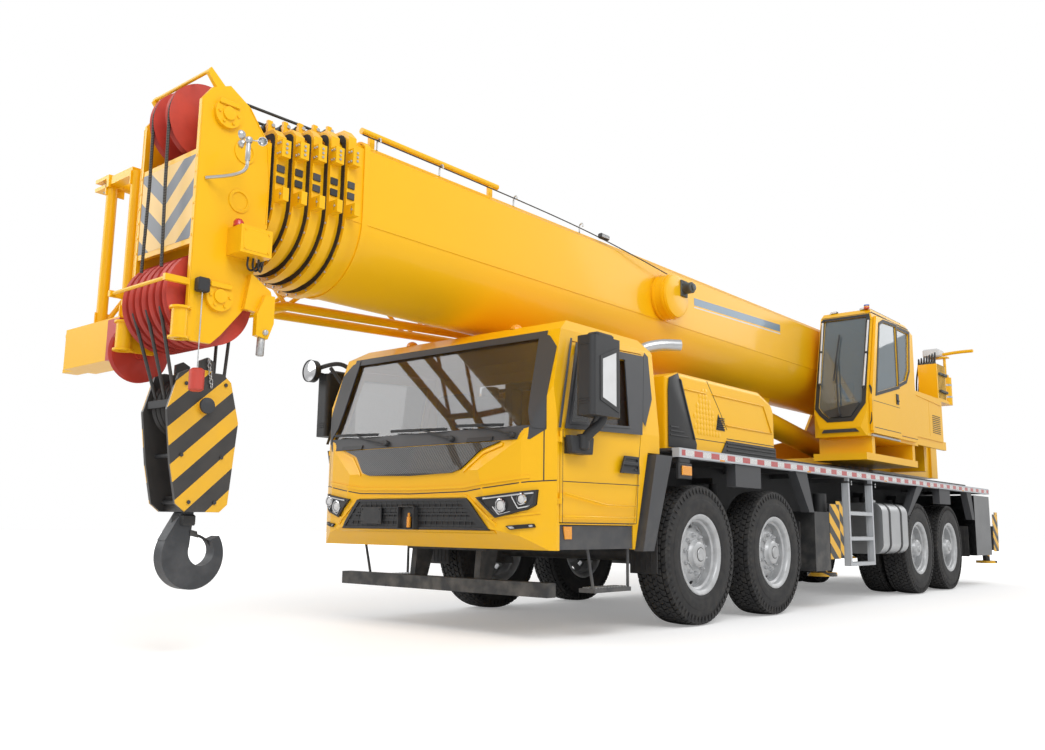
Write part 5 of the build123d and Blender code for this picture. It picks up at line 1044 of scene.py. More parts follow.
class CRANE_OT_cab_sides(bpy.types.Operator):
    """Window surrounds, door handles, seams, mirrors and steps on both sides of the cab"""
    bl_idname = "crane.cab_sides"
    bl_label = "Cab sides"

    def execute(self, context):
        window = [(4.574, 1.596), (4.392, 2.174), (3.76, 2.205), (3.78, 1.628)]
        outer = [(4.628, 1.552), (4.418, 2.236), (3.48, 2.262), (3.6, 1.585)]
        rear = [(3.402, 1.9), (3.402, 2.27), (3.452, 2.3), (3.47, 2.262), (3.572, 1.7), (3.54, 1.66)]
        seams = [[(4.652, 0.862), (4.652, 1.545), (4.647, 1.545), (4.647, 0.862)], four((3.69, 0.863), (4.652, 0.869)),
            [(3.684, 0.866), (3.462, 2.275), (3.467, 2.277), (3.69, 0.866)], [(3.64, 1.176), (4.652, 1.166),
            (4.652, 1.16), (3.64, 1.17)]]
        folds = [four((3.7, 0.905), (4.64, 0.918)), [(3.69, 1.0), (4.1, 1.0), (4.63, 1.075), (4.63, 1.088),
            (4.1, 1.012), (3.69, 1.01)]]
        recess = [(3.92, 1.262), (3.86, 1.4), (3.66, 1.4), (3.65, 1.262)]
        for side_name, sign in SIDES:
            turn = one if sign > 0 else mirrored

            def put(name, forms, finish, sharp=35, body=f"door_{side_name}"):
                piece(f"{name}_{side_name}", turn(forms), body, finish, sharp)
            frame_parts = [on_side(ring_plate(outer, window, 0.0, 0.008))]
            inner_line = inset(window, 0.012)
            frame_parts.append(on_side(ring_plate(inset(window, -0.006), inner_line, 0.004, 0.014)))
            put("window_surround", frame_parts, "slate_plastic")
            put("door_seams", [on_side(plate(s, 0.0, 0.0016, 1, 0.0004)) for s in seams], "moulded_black")
            put("door_folds", [on_side(plate(s, 0.0, 0.01, 1, 0.005)) for s in folds], "gloss_yellow", 60)
            cup = [on_side(ring_plate(recess, inset(recess, 0.02), 0.0, 0.012)),
                on_side(plate(inset(recess, 0.018), 0.0, 0.003, 1, 0.001)),
                on_side(plate([(3.9, 1.325), (3.885, 1.355), (3.67, 1.355), (3.665, 1.325)], 0.004, 0.022, 1, 0.005)),
                on_side(plate([(3.715, 1.275), (3.715, 1.3), (3.68, 1.3), (3.68, 1.275)], 0.004, 0.012, 1, 0.003))]
            put("door_handle", cup, "moulded_black", 30)
            put("door_lock", on_side(lathe([(0, 0.014), (0.006, 0.013), (0.007, 0.008)], (3.7, 0, 1.288), 1, 16)),
                "chrome")
            pillar = [on_side(plate(rear, 0.0, 0.006, 1, 0.002))]
            corner = [(4.676, 1.552), (4.704, 1.552), (4.648, 1.75), (4.484, 2.262), (4.462, 2.262)]
            pillar.append(on_side(plate(corner, 0.0, 0.006, 1, 0.002)))
            put("pillar_cover", pillar, "slate_plastic", body="chassis")
            self.mirror(side_name, put)
            self.steps(put)
        return {"FINISHED"}

    def mirror(self, side_name, put):
        """Mirror housing with rounded ends and a glass of its own, a ribbed cap and the crooked arm."""
        (x0, y0), (x1, y1, z1) = (4.27, 1.45), (4.64, 1.61, 2.23)
        glass = [(4.52, 1.775), (4.52, 2.06), (4.345, 2.13), (4.345, 1.72)]
        rim_plate = ring_plate(inset(glass, -0.03), glass, 0.0, 0.005)
        shell = [placed(rim_plate, (0, y1 - 0.001, 0)), slab((x0 + 0.05, y0 + 0.02, z1 - 0.004),
            (x1 - 0.1, y1 - 0.03, z1 + 0.04), 0.02)]
        shell += [slab((x1 - 0.004, y0 + 0.03, z), (x1 + 0.004, y1 - 0.03, z + 0.006), 0.002)
            for z in (1.72, 1.74, 1.76, 2.16)]
        put("mirror_housing",
            shell + [tube([(4.4, 1.53, 1.665), (4.415, 1.52, 1.6), (4.47, 1.46, 1.53), (4.49, 1.41, 1.46)], 0.04, 12,
            8), bar((4.49, 1.41, 1.4), (4.49, 1.41, 1.515), 0.05, 18)]
            + [plate([(4.365, 1.372), (4.612, 1.372), (4.64, 1.5), (4.35, 1.5)], CAB_HALF + 0.004, 1.418, 1, 0.012)],
            "moulded_black", 40)
        # The mirror's glass takes the pale white_plastic finish: its whiteness is a painted reflection of the bright
        # sky, not the colour of the glass.
        put("mirror_glass", placed(plate(glass, 0.0, 0.003, 1, 0.001), (0, y1, 0)), "white_plastic")
        if side_name == "right":
            centre = (4.7, -1.585, 2.25)
            piece("round_mirror", lathe([(0.048, 0.102), (0.052, 0.1), (0.056, 0.086), (0.066, 0.06), (0.071, 0.03),
                (0.072, 0.004)], centre, 0, 40), "door_right", "chrome")
            stay = [tube([(4.46, -1.3, 2.245), (4.56, -1.36, 2.33), (4.66, -1.48, 2.3), (4.715, -1.585, 2.25)], 0.02,
                10, 8), tube([(4.53, -1.3, 2.06), (4.585, -1.36, 2.17), (4.62, -1.44, 2.28)], 0.018, 10, 8),
                lathe([(-0.004, 0.104), (0.046, 0.104), (0.056, 0.106), (0.058, 0.1), (0.05, 0.097)], centre, 0, 40)]
            piece("round_mirror_stay", stay, "door_right", "moulded_black", 40)

    def steps(self, put):
        """Teeth on the step treads, marker lamps and their holder."""
        teeth = slab((-0.006, -0.03, 0.0), (0.006, 0.03, 0.012), 0.003)
        put("step_teeth", [placed(teeth, [(x, y, z) for x in np.arange(first, last, pitch)])
            for y, z, first, last, pitch in ((1.28, 0.856, 3.78, 4.5, 0.045), (1.255, 0.372, 3.74, 4.16, 0.04),
            (1.195, 0.372, 3.76, 4.16, 0.04))], "zinc_steel", 30, body="chassis")
        put("marker_lamps", [plate([(4.505, 0.745), (4.585, 0.745), (4.605, 0.838), (4.505, 0.838)], 1.31, 1.326, 1,
            0.005), plate(four((2.905, 1.285), (3.065, 1.365)), 1.395, 1.409, 1, 0.005)], "lens_amber", body="chassis")
        put("marker_holder", [plate(four((2.88, 1.255), (3.1, 1.39)), 1.355, 1.396, 1, 0.008),
            slab((2.9, 1.3, 1.385), (3.08, 1.39, 1.44), 0.01)], "moulded_black", 30, body="chassis")


# ---------------------------------------------------------------- hood, deck and chassis
HOOD_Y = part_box("engine_hood")[1][1]


class CRANE_OT_engine_hood(bpy.types.Operator):
    """Ribbed front cover, yellow side panel with hexagons, louvres, skirt and exhaust of the engine hood"""
    bl_idname = "crane.engine_hood"
    bl_label = "Engine hood"

    def execute(self, context):
        y = HOOD_Y
        cover = [(3.086, 2.03), (3.07, 2.138), (2.915, 2.196), (2.744, 1.837), (2.604, 1.583), (2.615, 1.53),
            (3.086, 1.53)]
        ribs = [four((2.93 - k, 1.7 - k * 0.4), (3.07, 1.715 - k * 0.4)) for k in (0.0, 0.09, 0.18)]
        parts = [plate(cover, y, y + 0.012, 1, 0.006)] + [plate(rib, y + 0.01, y + 0.022, 1, 0.004) for rib in ribs]
        parts += [plate([(2.9, 2.15), (2.875, 2.14), (2.64, 1.62), (2.66, 1.62)], y + 0.01, y + 0.02, 1, 0.003)]
        on_chassis("hood_front_cover", both(parts), "moulded_black", 40)
        lid = [slab((2.7, -1.0, 2.196), (3.02, 1.0, 2.2115), 0.006)]
        lid += [slab((2.72, y0, 2.204), (3.0, y0 + 0.05, 2.2118), 0.003) for y0 in np.arange(-0.95, 0.95, 0.1)]
        on_chassis("hood_intake", lid, "moulded_black", 40)
        seam = [[(2.389, 2.19), (2.395, 2.186), (2.147, 1.912), (2.024, 1.762), (2.018, 1.766), (2.141, 1.916)],
            four((1.012, 1.676), (2.03, 1.684)), [(2.61, 1.64), (2.03, 1.64), (2.03, 1.634), (2.607, 1.634)]]
        on_chassis("hood_seams", both([plate(s, y, y + 0.002, 1, 0.0005) for s in seam]), "moulded_black")
        folds = [[(1.06, 1.8), (1.24, 2.08), (2.31, 2.08), (2.3, 2.068), (1.25, 2.068), (1.075, 1.8)],
            [(2.43, 2.075), (2.86, 2.075), (2.855, 2.062), (2.415, 2.062)], [(1.06, 1.8), (2.03, 1.8), (2.04, 1.812),
            (1.068, 1.812)]]
        on_chassis("hood_folds", both([plate(f, y, y + 0.012, 1, 0.006) for f in folds]), "gloss_yellow", 60)
        self.hexagons(y)
        on_chassis("hood_louvres", both([plate([(2.06, 1.748), (2.24, 1.748), (2.19, 1.9)], y, y + 0.004, 1, 0.001)]
            + [slab((2.085, y + 0.002, z), (2.23 - (z - 1.76) * 0.33, y + 0.018, z + 0.007), 0.002)
            for z in np.arange(1.76, 1.87, 0.02)]), "moulded_black", 30)
        on_chassis("hood_skirt", both([plate([(2.15, 1.534), (2.045, 1.66), (1.01, 1.66), (1.0, 1.64), (1.0, 1.534)],
            y, y + 0.012, 1, 0.003)] + [slab((1.02, y + 0.01, z), (2.05, y + 0.02, z + 0.016), 0.004)
            for z in (1.56, 1.6, 1.63)]), "moulded_black", 30)
        on_chassis("exhaust", [tube([(3.16, 0.98, 1.62), (3.16, 0.98, 2.2), (3.15, 1.02, 2.4), (3.02, 1.16, 2.452),
            (2.86, 1.28, 2.455)], 0.052, 20, 12)] + [bar((3.16, 0.98, z), (3.16, 0.98, z + 0.03), 0.058, 20)
            for z in (2.02, 2.16)], "brushed_aluminium", 50)
        on_chassis("air_intake", [bar((3.2, -0.7, 1.7), (3.2, -0.7, 2.1), 0.16, 32),
            bar((3.2, -0.7, 2.1), (3.2, -0.7, 2.2), 0.09, 24)], "moulded_black", 40)
        return {"FINISHED"}

    def hexagons(self, y):
        """Rows of flat hexagons with sloped edges, fewer in each row, on the panel before the seam."""
        a = np.arange(6) * pi / 3
        on_chassis("hood_hexagons", both(placed(plate(np.stack([0.03 * np.cos(a), 0.03 * np.sin(a)], 1), y, y + 0.003,
            1, 0.003), [(2.175 + column * 0.0545 + (row % 2) * 0.027 + row * 0.03, 0, 1.705 + row * 0.0475)
            for row in range(9) for column in range(10) if column * 0.0545 + row * 0.026 < 0.4 + row * 0.012 and 2.175
            + column * 0.0545 + row * 0.057 < 2.7])), "gloss_yellow", 50)


class CRANE_OT_deck_details(bpy.types.Operator):
    """Reflective tape, rail lamps, ladder treads, tank straps, mudguard flaps and the band over the deck"""
    bl_idname = "crane.deck_details"
    bl_label = "Deck details"

    def execute(self, context):
        tape_z, y = 1.478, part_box("deck")[1][1]
        half = settings().tape_height / 2
        on_chassis("rail_tape", both(slab((-6.56, y, tape_z - half), (3.06, y + 0.0015, tape_z + half), 0.0004)),
            "road_tape")
        band = [slab((-6.56, 1.052, 1.53), (0.9, 1.062, 1.592), 0.003)]
        band += [slab((x, 1.06, 1.53), (x + 0.03, 1.07, 1.592), 0.003) for x in np.arange(-6.4, 0.8, 0.45)]
        on_chassis("deck_band", both(band), "moulded_black", 30)
        on_chassis("deck_plates", both(slab((-6.6, 1.075, 1.519), (0.95, 1.395, 1.524), 0.001)), "deck_finish", 30)
        on_chassis("deck_treads", both(placed(slab((-0.004, -0.014, 0), (0.004, 0.014, 0.003), 0.001),
            [(x, yy, 1.524) for x in np.arange(-6.4, 0.9, 0.12) for yy in (1.14, 1.22, 1.3)])), "pale_grey", 30)
        on_chassis("rail_lamps", both([slab((x, y - 0.004, 1.44), (x + 0.09, y + 0.002, 1.456), 0.001)
            for x in (-5.2, -3.6, -1.9, 0.4, 2.3)]), "lens_amber")
        self.ladders()
        self.tank()
        self.flaps()
        return {"FINISHED"}

    def ladders(self):
        """Raised strips on the ladders' rungs, and bolts at the top."""
        on_chassis("ladder_treads",
            both([placed(slab((0, 0, -0.001), (0.012, 0.06, 0.006), 0.002),
            [(x, 1.3, z) for x in np.arange(-1.4, -0.78, 0.035) for z in (0.47, 0.76, 1.05)])]
            + [placed(bar((0, 0, 0), (0, 0.01, 0), 0.011, 6), [(x, 1.4, z) for x in (-1.47, -0.71)
            for z in (1.36, 1.39)])]), "zinc_steel", 30)

    def tank(self):
        """Two straps bent round the fuel tank, and a filler cap."""
        low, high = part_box("fuel_tank")
        y, x0, x1, z0, z1, r = high[1], low[0], high[0], low[2], high[2], 0.13
        a = np.linspace(0, pi / 2, 9)
        bend = np.concatenate([[(y - 0.45, z0)], np.stack([y - r + r * np.sin(a), z0 + r - r * np.cos(a)], 1),
            np.stack([y - r + r * np.cos(a), z1 - r + r * np.sin(a)], 1), [(y - 0.45, z1)]])
        middle = np.array([y - r - 0.1, (z0 + z1) / 2])
        outer = bend + 0.006 * (bend - middle) / np.linalg.norm(bend - middle, axis=1)[:, None]
        on_chassis("tank_straps", [plate(np.concatenate([outer, bend[::-1]]), x, x + 0.055, 0, 0.0008)
            for x in (x0 + 0.22, x1 - 0.28)], "moulded_black", 30)
        on_chassis("tank_cap", [bar((x1 - 0.12, y - 0.18, z1 - 0.004), (x1 - 0.12, y - 0.18, z1 + 0.035), 0.055, 24),
            slab((x1 - 0.19, y - 0.19, z1 + 0.03), (x1 - 0.05, y - 0.17, z1 + 0.045), 0.004)], "zinc_steel", 30)

    def flaps(self):
        """Rubber flaps with ribs behind the wheels."""
        flap = [slab((0, 1.06, 0.46), (0.014, 1.33, 0.92), 0.004)]
        flap += [slab((-0.004, 1.07 + k * 0.05, 0.48), (0.018, 1.08 + k * 0.05, 0.9), 0.003) for k in range(5)]
        on_chassis("wheel_flaps", both(placed(flap, [(x, 0, 0) for x in (3.345, 0.555, -5.555)])), "tyre_rubber", 30)


# ---------------------------------------------------------------- operator's cab and superstructure
OPERATOR_SIDE_Z = (2.01, 2.12, 2.46, 3.64, 3.72)
OPERATOR_SIDE_X = (-1.63, -1.6, -1.66, -1.97, -2.08)
OPERATOR_Y = 1.29
BARREL_PIN, ROD_PIN = (-4.11, 1.865), (-0.96, 2.31)  # the luffing cylinder's pins and the rest: (x, z)
REAR_WINCH, FRONT_WINCH, BOOM_PIVOT = (-5.75, 2.3), (-5.05, 2.2), (-5.26, 3.15)
GAS_X, GAS_Y = -5.6, 1.12  # the accumulator
TURNTABLE_HALF = 0.585


def screen_x(z):
    """Where the front of the operator's cab is at a height, from its side view."""
    return np.interp(z, OPERATOR_SIDE_Z, OPERATOR_SIDE_X)


def on_screen(forms):
    """Plates made about x = 0, laid on the operator's cab front."""
    return laid(forms, 0, lambda _, z: screen_x(z))


def tall(outline):
    """A thin plate across x whose edges are cut into six, so that it can follow a slope."""
    return plate(finely(outline, 6), 0.004, 0.014, 0, 0.001)


class CRANE_OT_operator_cab(bpy.types.Operator):
    """Frames, light tubes, hatched panel, roof guard, lamps, wiper, beacon and step of the operator's cab"""
    bl_idname = "crane.operator_cab"
    bl_label = "Operator's cab"

    def execute(self, context):
        y = OPERATOR_Y
        screen = [(0.71, 2.33), (0.8, 2.25), (1.09, 2.25), (1.22, 2.44), (1.22, 3.6), (0.66, 3.6), (0.66, 2.4)]
        on_top("operator_screen_frame", on_screen(ring_plate(inset(screen, -0.05), screen, 0.0, 0.008, 0)),
            "frame_black", 30)
        on_top("operator_lower_panel",
            [on_screen(tall([(0.735, 2.345), (0.806, 2.262), (1.084, 2.262), (1.205, 2.445), (0.96, 2.4)])),
            on_screen(tall([(0.7, 2.062), (1.19, 2.062), (1.15, 2.104), (0.74, 2.104)]))], "hatched")
        tubes = []
        for top, low in (((0.64, 3.6), (0.655, 2.7)), ((1.255, 3.56), (1.24, 2.62))):
            z = np.linspace(low[1], top[1], 12)
            path = np.stack([screen_x(z) + 0.022, np.interp(z, (low[1], top[1]), (low[0], top[0])), z], 1)
            tubes.append(swept(path, circle(0.013, 10)))
        on_top("light_tubes", tubes, "white_plastic", 50)
        on_top("tube_clips", [on_screen(slab((0.0, yy - 0.02, z), (0.04, yy + 0.02, z + 0.03), 0.006))
            for yy, z in ((0.642, 3.58), (0.654, 2.7), (1.253, 3.54), (1.241, 2.62), (0.645, 3.15), (1.247, 3.08))],
            "moulded_black", 30)
        guard = [slab((-3.3, 0.64 + k * 0.056, 3.722), (-2.16, 0.648 + k * 0.056, 3.742), 0.002) for k in range(11)]
        guard += [slab((x, 0.63, 3.722), (x + 0.012, 1.21, 3.738), 0.003) for x in (-3.28, -2.9, -2.52, -2.17)]
        on_top("roof_guard", guard, "frame_black", 30)
        on_top("roof_lamp_cases", [slab((-2.115, yy - 0.05, 3.718), (-2.065, yy + 0.05, 3.748), 0.01)
            for yy in (0.74, 1.14)], "moulded_black", 40)
        on_top("roof_lamp_lenses", [slab((-2.068, yy - 0.042, 3.722), (-2.06, yy + 0.042, 3.743), 0.003)
            for yy in (0.74, 1.14)], "white_plastic", 40)
        wiper = [tube([(screen_x(2.3) + 0.035, 0.94, 2.3), (screen_x(2.7) + 0.045, 0.9, 2.7),
            (screen_x(3.05) + 0.035, 0.86, 3.05)], 0.01, 8, 8), bar((screen_x(2.75) + 0.018, 0.84, 2.75),
            (screen_x(3.38) + 0.018, 0.88, 3.38), 0.01, 8), bar((screen_x(2.29), 0.94, 2.29),
            (screen_x(2.29) + 0.05, 0.94, 2.29), 0.026, 16)]
        on_top("operator_wiper", wiper, "moulded_black", 40)
        self.side(y)
        return {"FINISHED"}

    def side(self, y):
        """Window surrounds, door handle, rain strip, cover folds, vents, beacon, grab rail and the step."""
        window = [(-2.71, 2.76), (-1.89, 2.58), (-2.1, 3.49), (-2.24, 3.55), (-2.71, 3.57)]
        rear = [(-2.84, 2.8), (-3.16, 2.9), (-3.29, 3.06), (-3.36, 3.58), (-2.84, 3.58)]
        door_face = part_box("operator_door")[1][1]
        piece("operator_door_surround", placed(ring_plate(inset(window, -0.04), window, 0.0, 0.006),
            (0, door_face, 0)), "operator_door", "frame_black", 30)
        piece("operator_door_handle", [plate(four((-2.69, 2.5), (-2.6, 2.64)), door_face, door_face + 0.01, 1, 0.004),
            slab((-2.675, door_face + 0.008, 2.535), (-2.615, door_face + 0.022, 2.56), 0.005)], "operator_door",
            "moulded_black", 30)
        piece("operator_door_seams", [plate(four((-2.73, low), (-1.76, high)), door_face, door_face + 0.002, 1, 0.0005)
            for low, high in ((2.12, 2.128), (2.46, 2.466))], "operator_door", "moulded_black")
        on_top("operator_rear_surround",
            [placed(ring_plate(inset(rear, -0.045), rear, 0.0, min(0.006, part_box("operator_door")[0][1] - y - 0.0015)),
            (0, y, 0))] + [plate(four((-3.535, 2.1), (-2.8, 2.108)), y, y + 0.002, 1, 0.0005)], "frame_black", 30)
        on_top("rain_strip", slab((-3.44, y - 0.05, 3.652), (-2.02, y - 0.025, 3.672), 0.005), "moulded_black", 30)
        on_top("cover_folds", [plate([(-3.56, 2.74), (-4.66, 2.7), (-4.66, 2.692), (-3.56, 2.732)], y, y + 0.01, 1,
            0.004), plate(four((-4.1, 2.2), (-4.092, 2.72)), y, y + 0.002, 1, 0.0006)], "gloss_yellow", 60)
        on_top("cover_vents", [slab((-4.6, y - 0.002, 2.26 + k * 0.028), (-4.24, y + 0.008, 2.268 + k * 0.028), 0.003)
            for k in range(10)], "frame_black", 30)
        beacon = [lathe([(h, 0.036), (h + 0.016, 0.035), (h + 0.017, 0.03)], (-1.9, 1.2, 3.745), 2, 24)
            for h in (0.0, 0.018, 0.036)]
        for name, form, finish in zip(("low", "middle", "high"), beacon, ("lens_red", "lens_amber", "lens_blue")):
            on_top(f"beacon_{name}", placed(form, (-0.14, 0, -0.025)), finish, 50)
        on_top("operator_grab_rail", tube([(-1.72, y + 0.005, 2.16), (-1.715, y + 0.03, 2.22), (-1.74, y + 0.03, 2.6),
            (-1.75, y + 0.005, 2.66)], 0.012, 10, 8), "frame_black", 50)
        on_top("operator_step", [slab((-2.74, y - 0.02, 2.012), (-1.72, y + 0.03, 2.032), 0.004),
            placed(slab((-0.005, 0, 0), (0.005, 0.04, 0.01), 0.002),
            [(x, y - 0.01, 2.03) for x in np.arange(-2.7, -1.75, 0.045)])], "zinc_steel", 30)


class CRANE_OT_superstructure(bpy.types.Operator):
    """Winch ropes, hoses, valves, accumulator bands, pin caps, ribs, ring bolts and the lamp arm"""
    bl_idname = "crane.superstructure"
    bl_label = "Superstructure"

    def execute(self, context):
        ropes = []
        for (x, z), r in ((REAR_WINCH, 0.21), (FRONT_WINCH, 0.18)):
            turns, radius = 26, settings().rope_radius
            a = np.linspace(0, 2 * pi * turns, turns * 20)
            path = np.stack([x + (r + radius) * np.cos(a), np.linspace(-0.36, 0.36, len(a)),
                z + (r + radius) * np.sin(a)], 1)
            ropes.append(swept(path, circle(radius, 6)))
        on_top("winch_ropes", ropes, "rope_steel", 60)
        caps = [bar((x, s * TURNTABLE_HALF, z), (x, s * (TURNTABLE_HALF + 0.028), z), r, 28)
            for (x, z), r in ((BARREL_PIN, 0.085), (REAR_WINCH, 0.1), (FRONT_WINCH, 0.09)) for s in (1, -1)]
        spots = np.arange(6) * pi / 3
        on_top("pin_caps", caps + [bar((x + r * cos(a), s * 0.612, z + r * sin(a)), (x + r * cos(a), s * 0.624,
            z + r * sin(a)), 0.01, 6) for (x, z), r in ((BARREL_PIN, 0.06), (REAR_WINCH, 0.072)) for s in (1, -1)
            for a in spots] + [lathe([(0, 0.058), (0.012, 0.056), (0.016, 0.04)], (BOOM_PIVOT[0], s * 0.614,
            BOOM_PIVOT[1]), 1, 28, s) for s in (1, -1)], "zinc_steel", 30)
        side = [(-2.5, 1.86), (-3.9, 2.16), (-4.88, 3.22), (-5.54, 3.22), (-6.18, 2.52), (-6.18, 1.86)]
        on_top("turntable_ribs",
            [ring_plate(side, inset(side, 0.03), *sorted((s * TURNTABLE_HALF, s * (TURNTABLE_HALF + 0.007))))
            for s in (1, -1)], "gloss_yellow", 30)
        hoses = [tube([(-5.05 + 0.012 * k, y, 3.4), (-5.02, y, 3.52 + 0.012 * k), (-5.35, y - 0.1, 3.5 + 0.02 * k),
            (-5.62, y - 0.25, 3.2), (-5.66, 0.66, 2.62 - 0.05 * k), (-5.4 + 0.05 * k, 0.64, 2.05),
            (-5.0 + 0.05 * k, 0.62, 1.86)], 0.013, 8, 8) for k, y in enumerate(0.9 + np.arange(7) * 0.042)]
        hoses += [tube([(-4.98, 0.92 + k * 0.06, 2.9), (-4.86, 0.94 + k * 0.06, 2.7), (-4.8, 0.8, 2.4 - 0.04 * k),
            (-4.7, 0.66, 2.05)], 0.013, 8, 8) for k in range(4)]
        hoses += [tube([(-4.2, 0.1 + 0.05 * k, 1.95), (-4.5, 0.12 + 0.05 * k, 2.1 + 0.02 * k), (-4.8, 0.2, 2.0),
            (-4.9, 0.3 + 0.03 * k, 1.84)], 0.014, 8, 8) for k in range(3)]
        on_top("hydraulic_hoses", hoses, "hose_rubber", 50)
        on_top("valve_spools", [bar((-5.05 + 0.012 * k, 0.9 + k * 0.042, 3.385), (-5.05 + 0.012 * k, 0.9 + k * 0.042,
            3.43), 0.018, 6) for k in range(7)]
            + [slab((-5.396 + k * 0.062, 0.895, 2.87), (-5.39 + k * 0.062, 1.186, 3.404), 0.001) for k in range(1, 7)]
            + [bar((-5.36 + k * 0.062, 1.178, z), (-5.36 + k * 0.062, 1.215, z), 0.022, 12) for k in range(6)
            for z in (2.98, 3.25)], "engine_metal", 30)
        gas = [lathe([(-0.004, 0.05), (0.01, 0.045), (0.02, 0.02)], (GAS_X, GAS_Y, 3.3), 2, 20)]
        gas += [lathe([(0.0, 0.0865), (0.03, 0.0865), (0.03, 0.085), (0.0, 0.085), (0.0, 0.0865)], (GAS_X, GAS_Y, z),
            2, 32) for z in (2.93, 3.12)]
        on_top("accumulator_bands", gas, "zinc_steel", 40)
        a = np.arange(40) * 2 * pi / 40
        on_top("ring_bolts", placed(bar((0, 0, 0), (0, 0, 0.016), 0.013, 6),
            np.stack([-3.11 + 0.62 * np.cos(a), 0.62 * np.sin(a), 0 * a + 1.8], 1)), "zinc_steel", 30)
        on_top("lamp_arm", [bar((GAS_X, GAS_Y, 3.29), (GAS_X, GAS_Y, 3.6), 0.022, 12), slab((-5.66, 0.92, 3.575),
            (-5.54, 1.18, 3.6), 0.004), tube([(-5.6, 1.1, 3.64), (-5.58, 1.26, 3.65), (-5.55, 1.42, 3.648),
            (-5.52, 1.57, 3.64)], 0.026, 12, 8)], "gloss_yellow", 50)
        on_top("lamp_case", slab((-5.75, 0.83, 3.6), (-5.45, 1.08, 3.73), 0.02), "white_plastic", 40)
        return {"FINISHED"}


# ---------------------------------------------------------------- boom, head, jib and hook
BOOM_HALF, BOOM_TOP, ROUND_Z, BOOM_CORNER = 0.49, 3.58, 2.99, 0.072
SECTION_STEP, COLLAR_X, COLLAR_PITCH, COLLAR_WIDTH, COLLAR_HEIGHT = 0.032, 6.08, 0.125, 0.07, 0.034
SHEAVE, LOWER_SHEAVE, GROOVE_RADIUS = (6.95, 3.45), (6.93, 2.24), 0.242  # axles as (x, z)
HEAD_FACE, HEAD_HALF, HOOK_X = 7.125, 0.36, 6.85
HEAD_HOLES = ((6.8, 3.24), (6.82, 2.9))
POLE = (6.93, 0.6)  # the wind gauge's, as (x, y)
STAY_X, STAY_Y = 7.06, 0.4  # the switch weight's rope
SECTION_BODIES = ("boom_base", "boom_section_2", "boom_section_3", "boom_section_4", "boom_section_5")


def boom_line(inset_by, count=24):
    """The boom's outline: a half circle below, upright sides and rounded top corners, each corner 7 points."""
    half, top = BOOM_HALF - inset_by, BOOM_TOP - inset_by
    a = np.linspace(0, -pi, count)
    low = np.stack([half * np.cos(a), ROUND_Z + half * np.sin(a)], 1)
    b = np.linspace(0, pi / 2, 7)
    r = max(BOOM_CORNER - inset_by * 0.2, 0.02)
    left = np.stack([-half + r - r * np.cos(b), top - r + r * np.sin(b)], 1)
    right = np.stack([half - r + r * np.sin(b), top - r + r * np.cos(b)], 1)
    return np.concatenate([low, left, right])


def hoop(outer_inset, inner_inset, low, high):
    """A ring between two of the boom's outlines, from low to high along the boom."""
    outer, inner = boom_line(outer_inset), boom_line(inner_inset)
    loops = [(outer, low), (outer, high), (inner, high), (inner, low)]
    return grid(levelled(loops, 0), close_rows=True, close_columns=True)


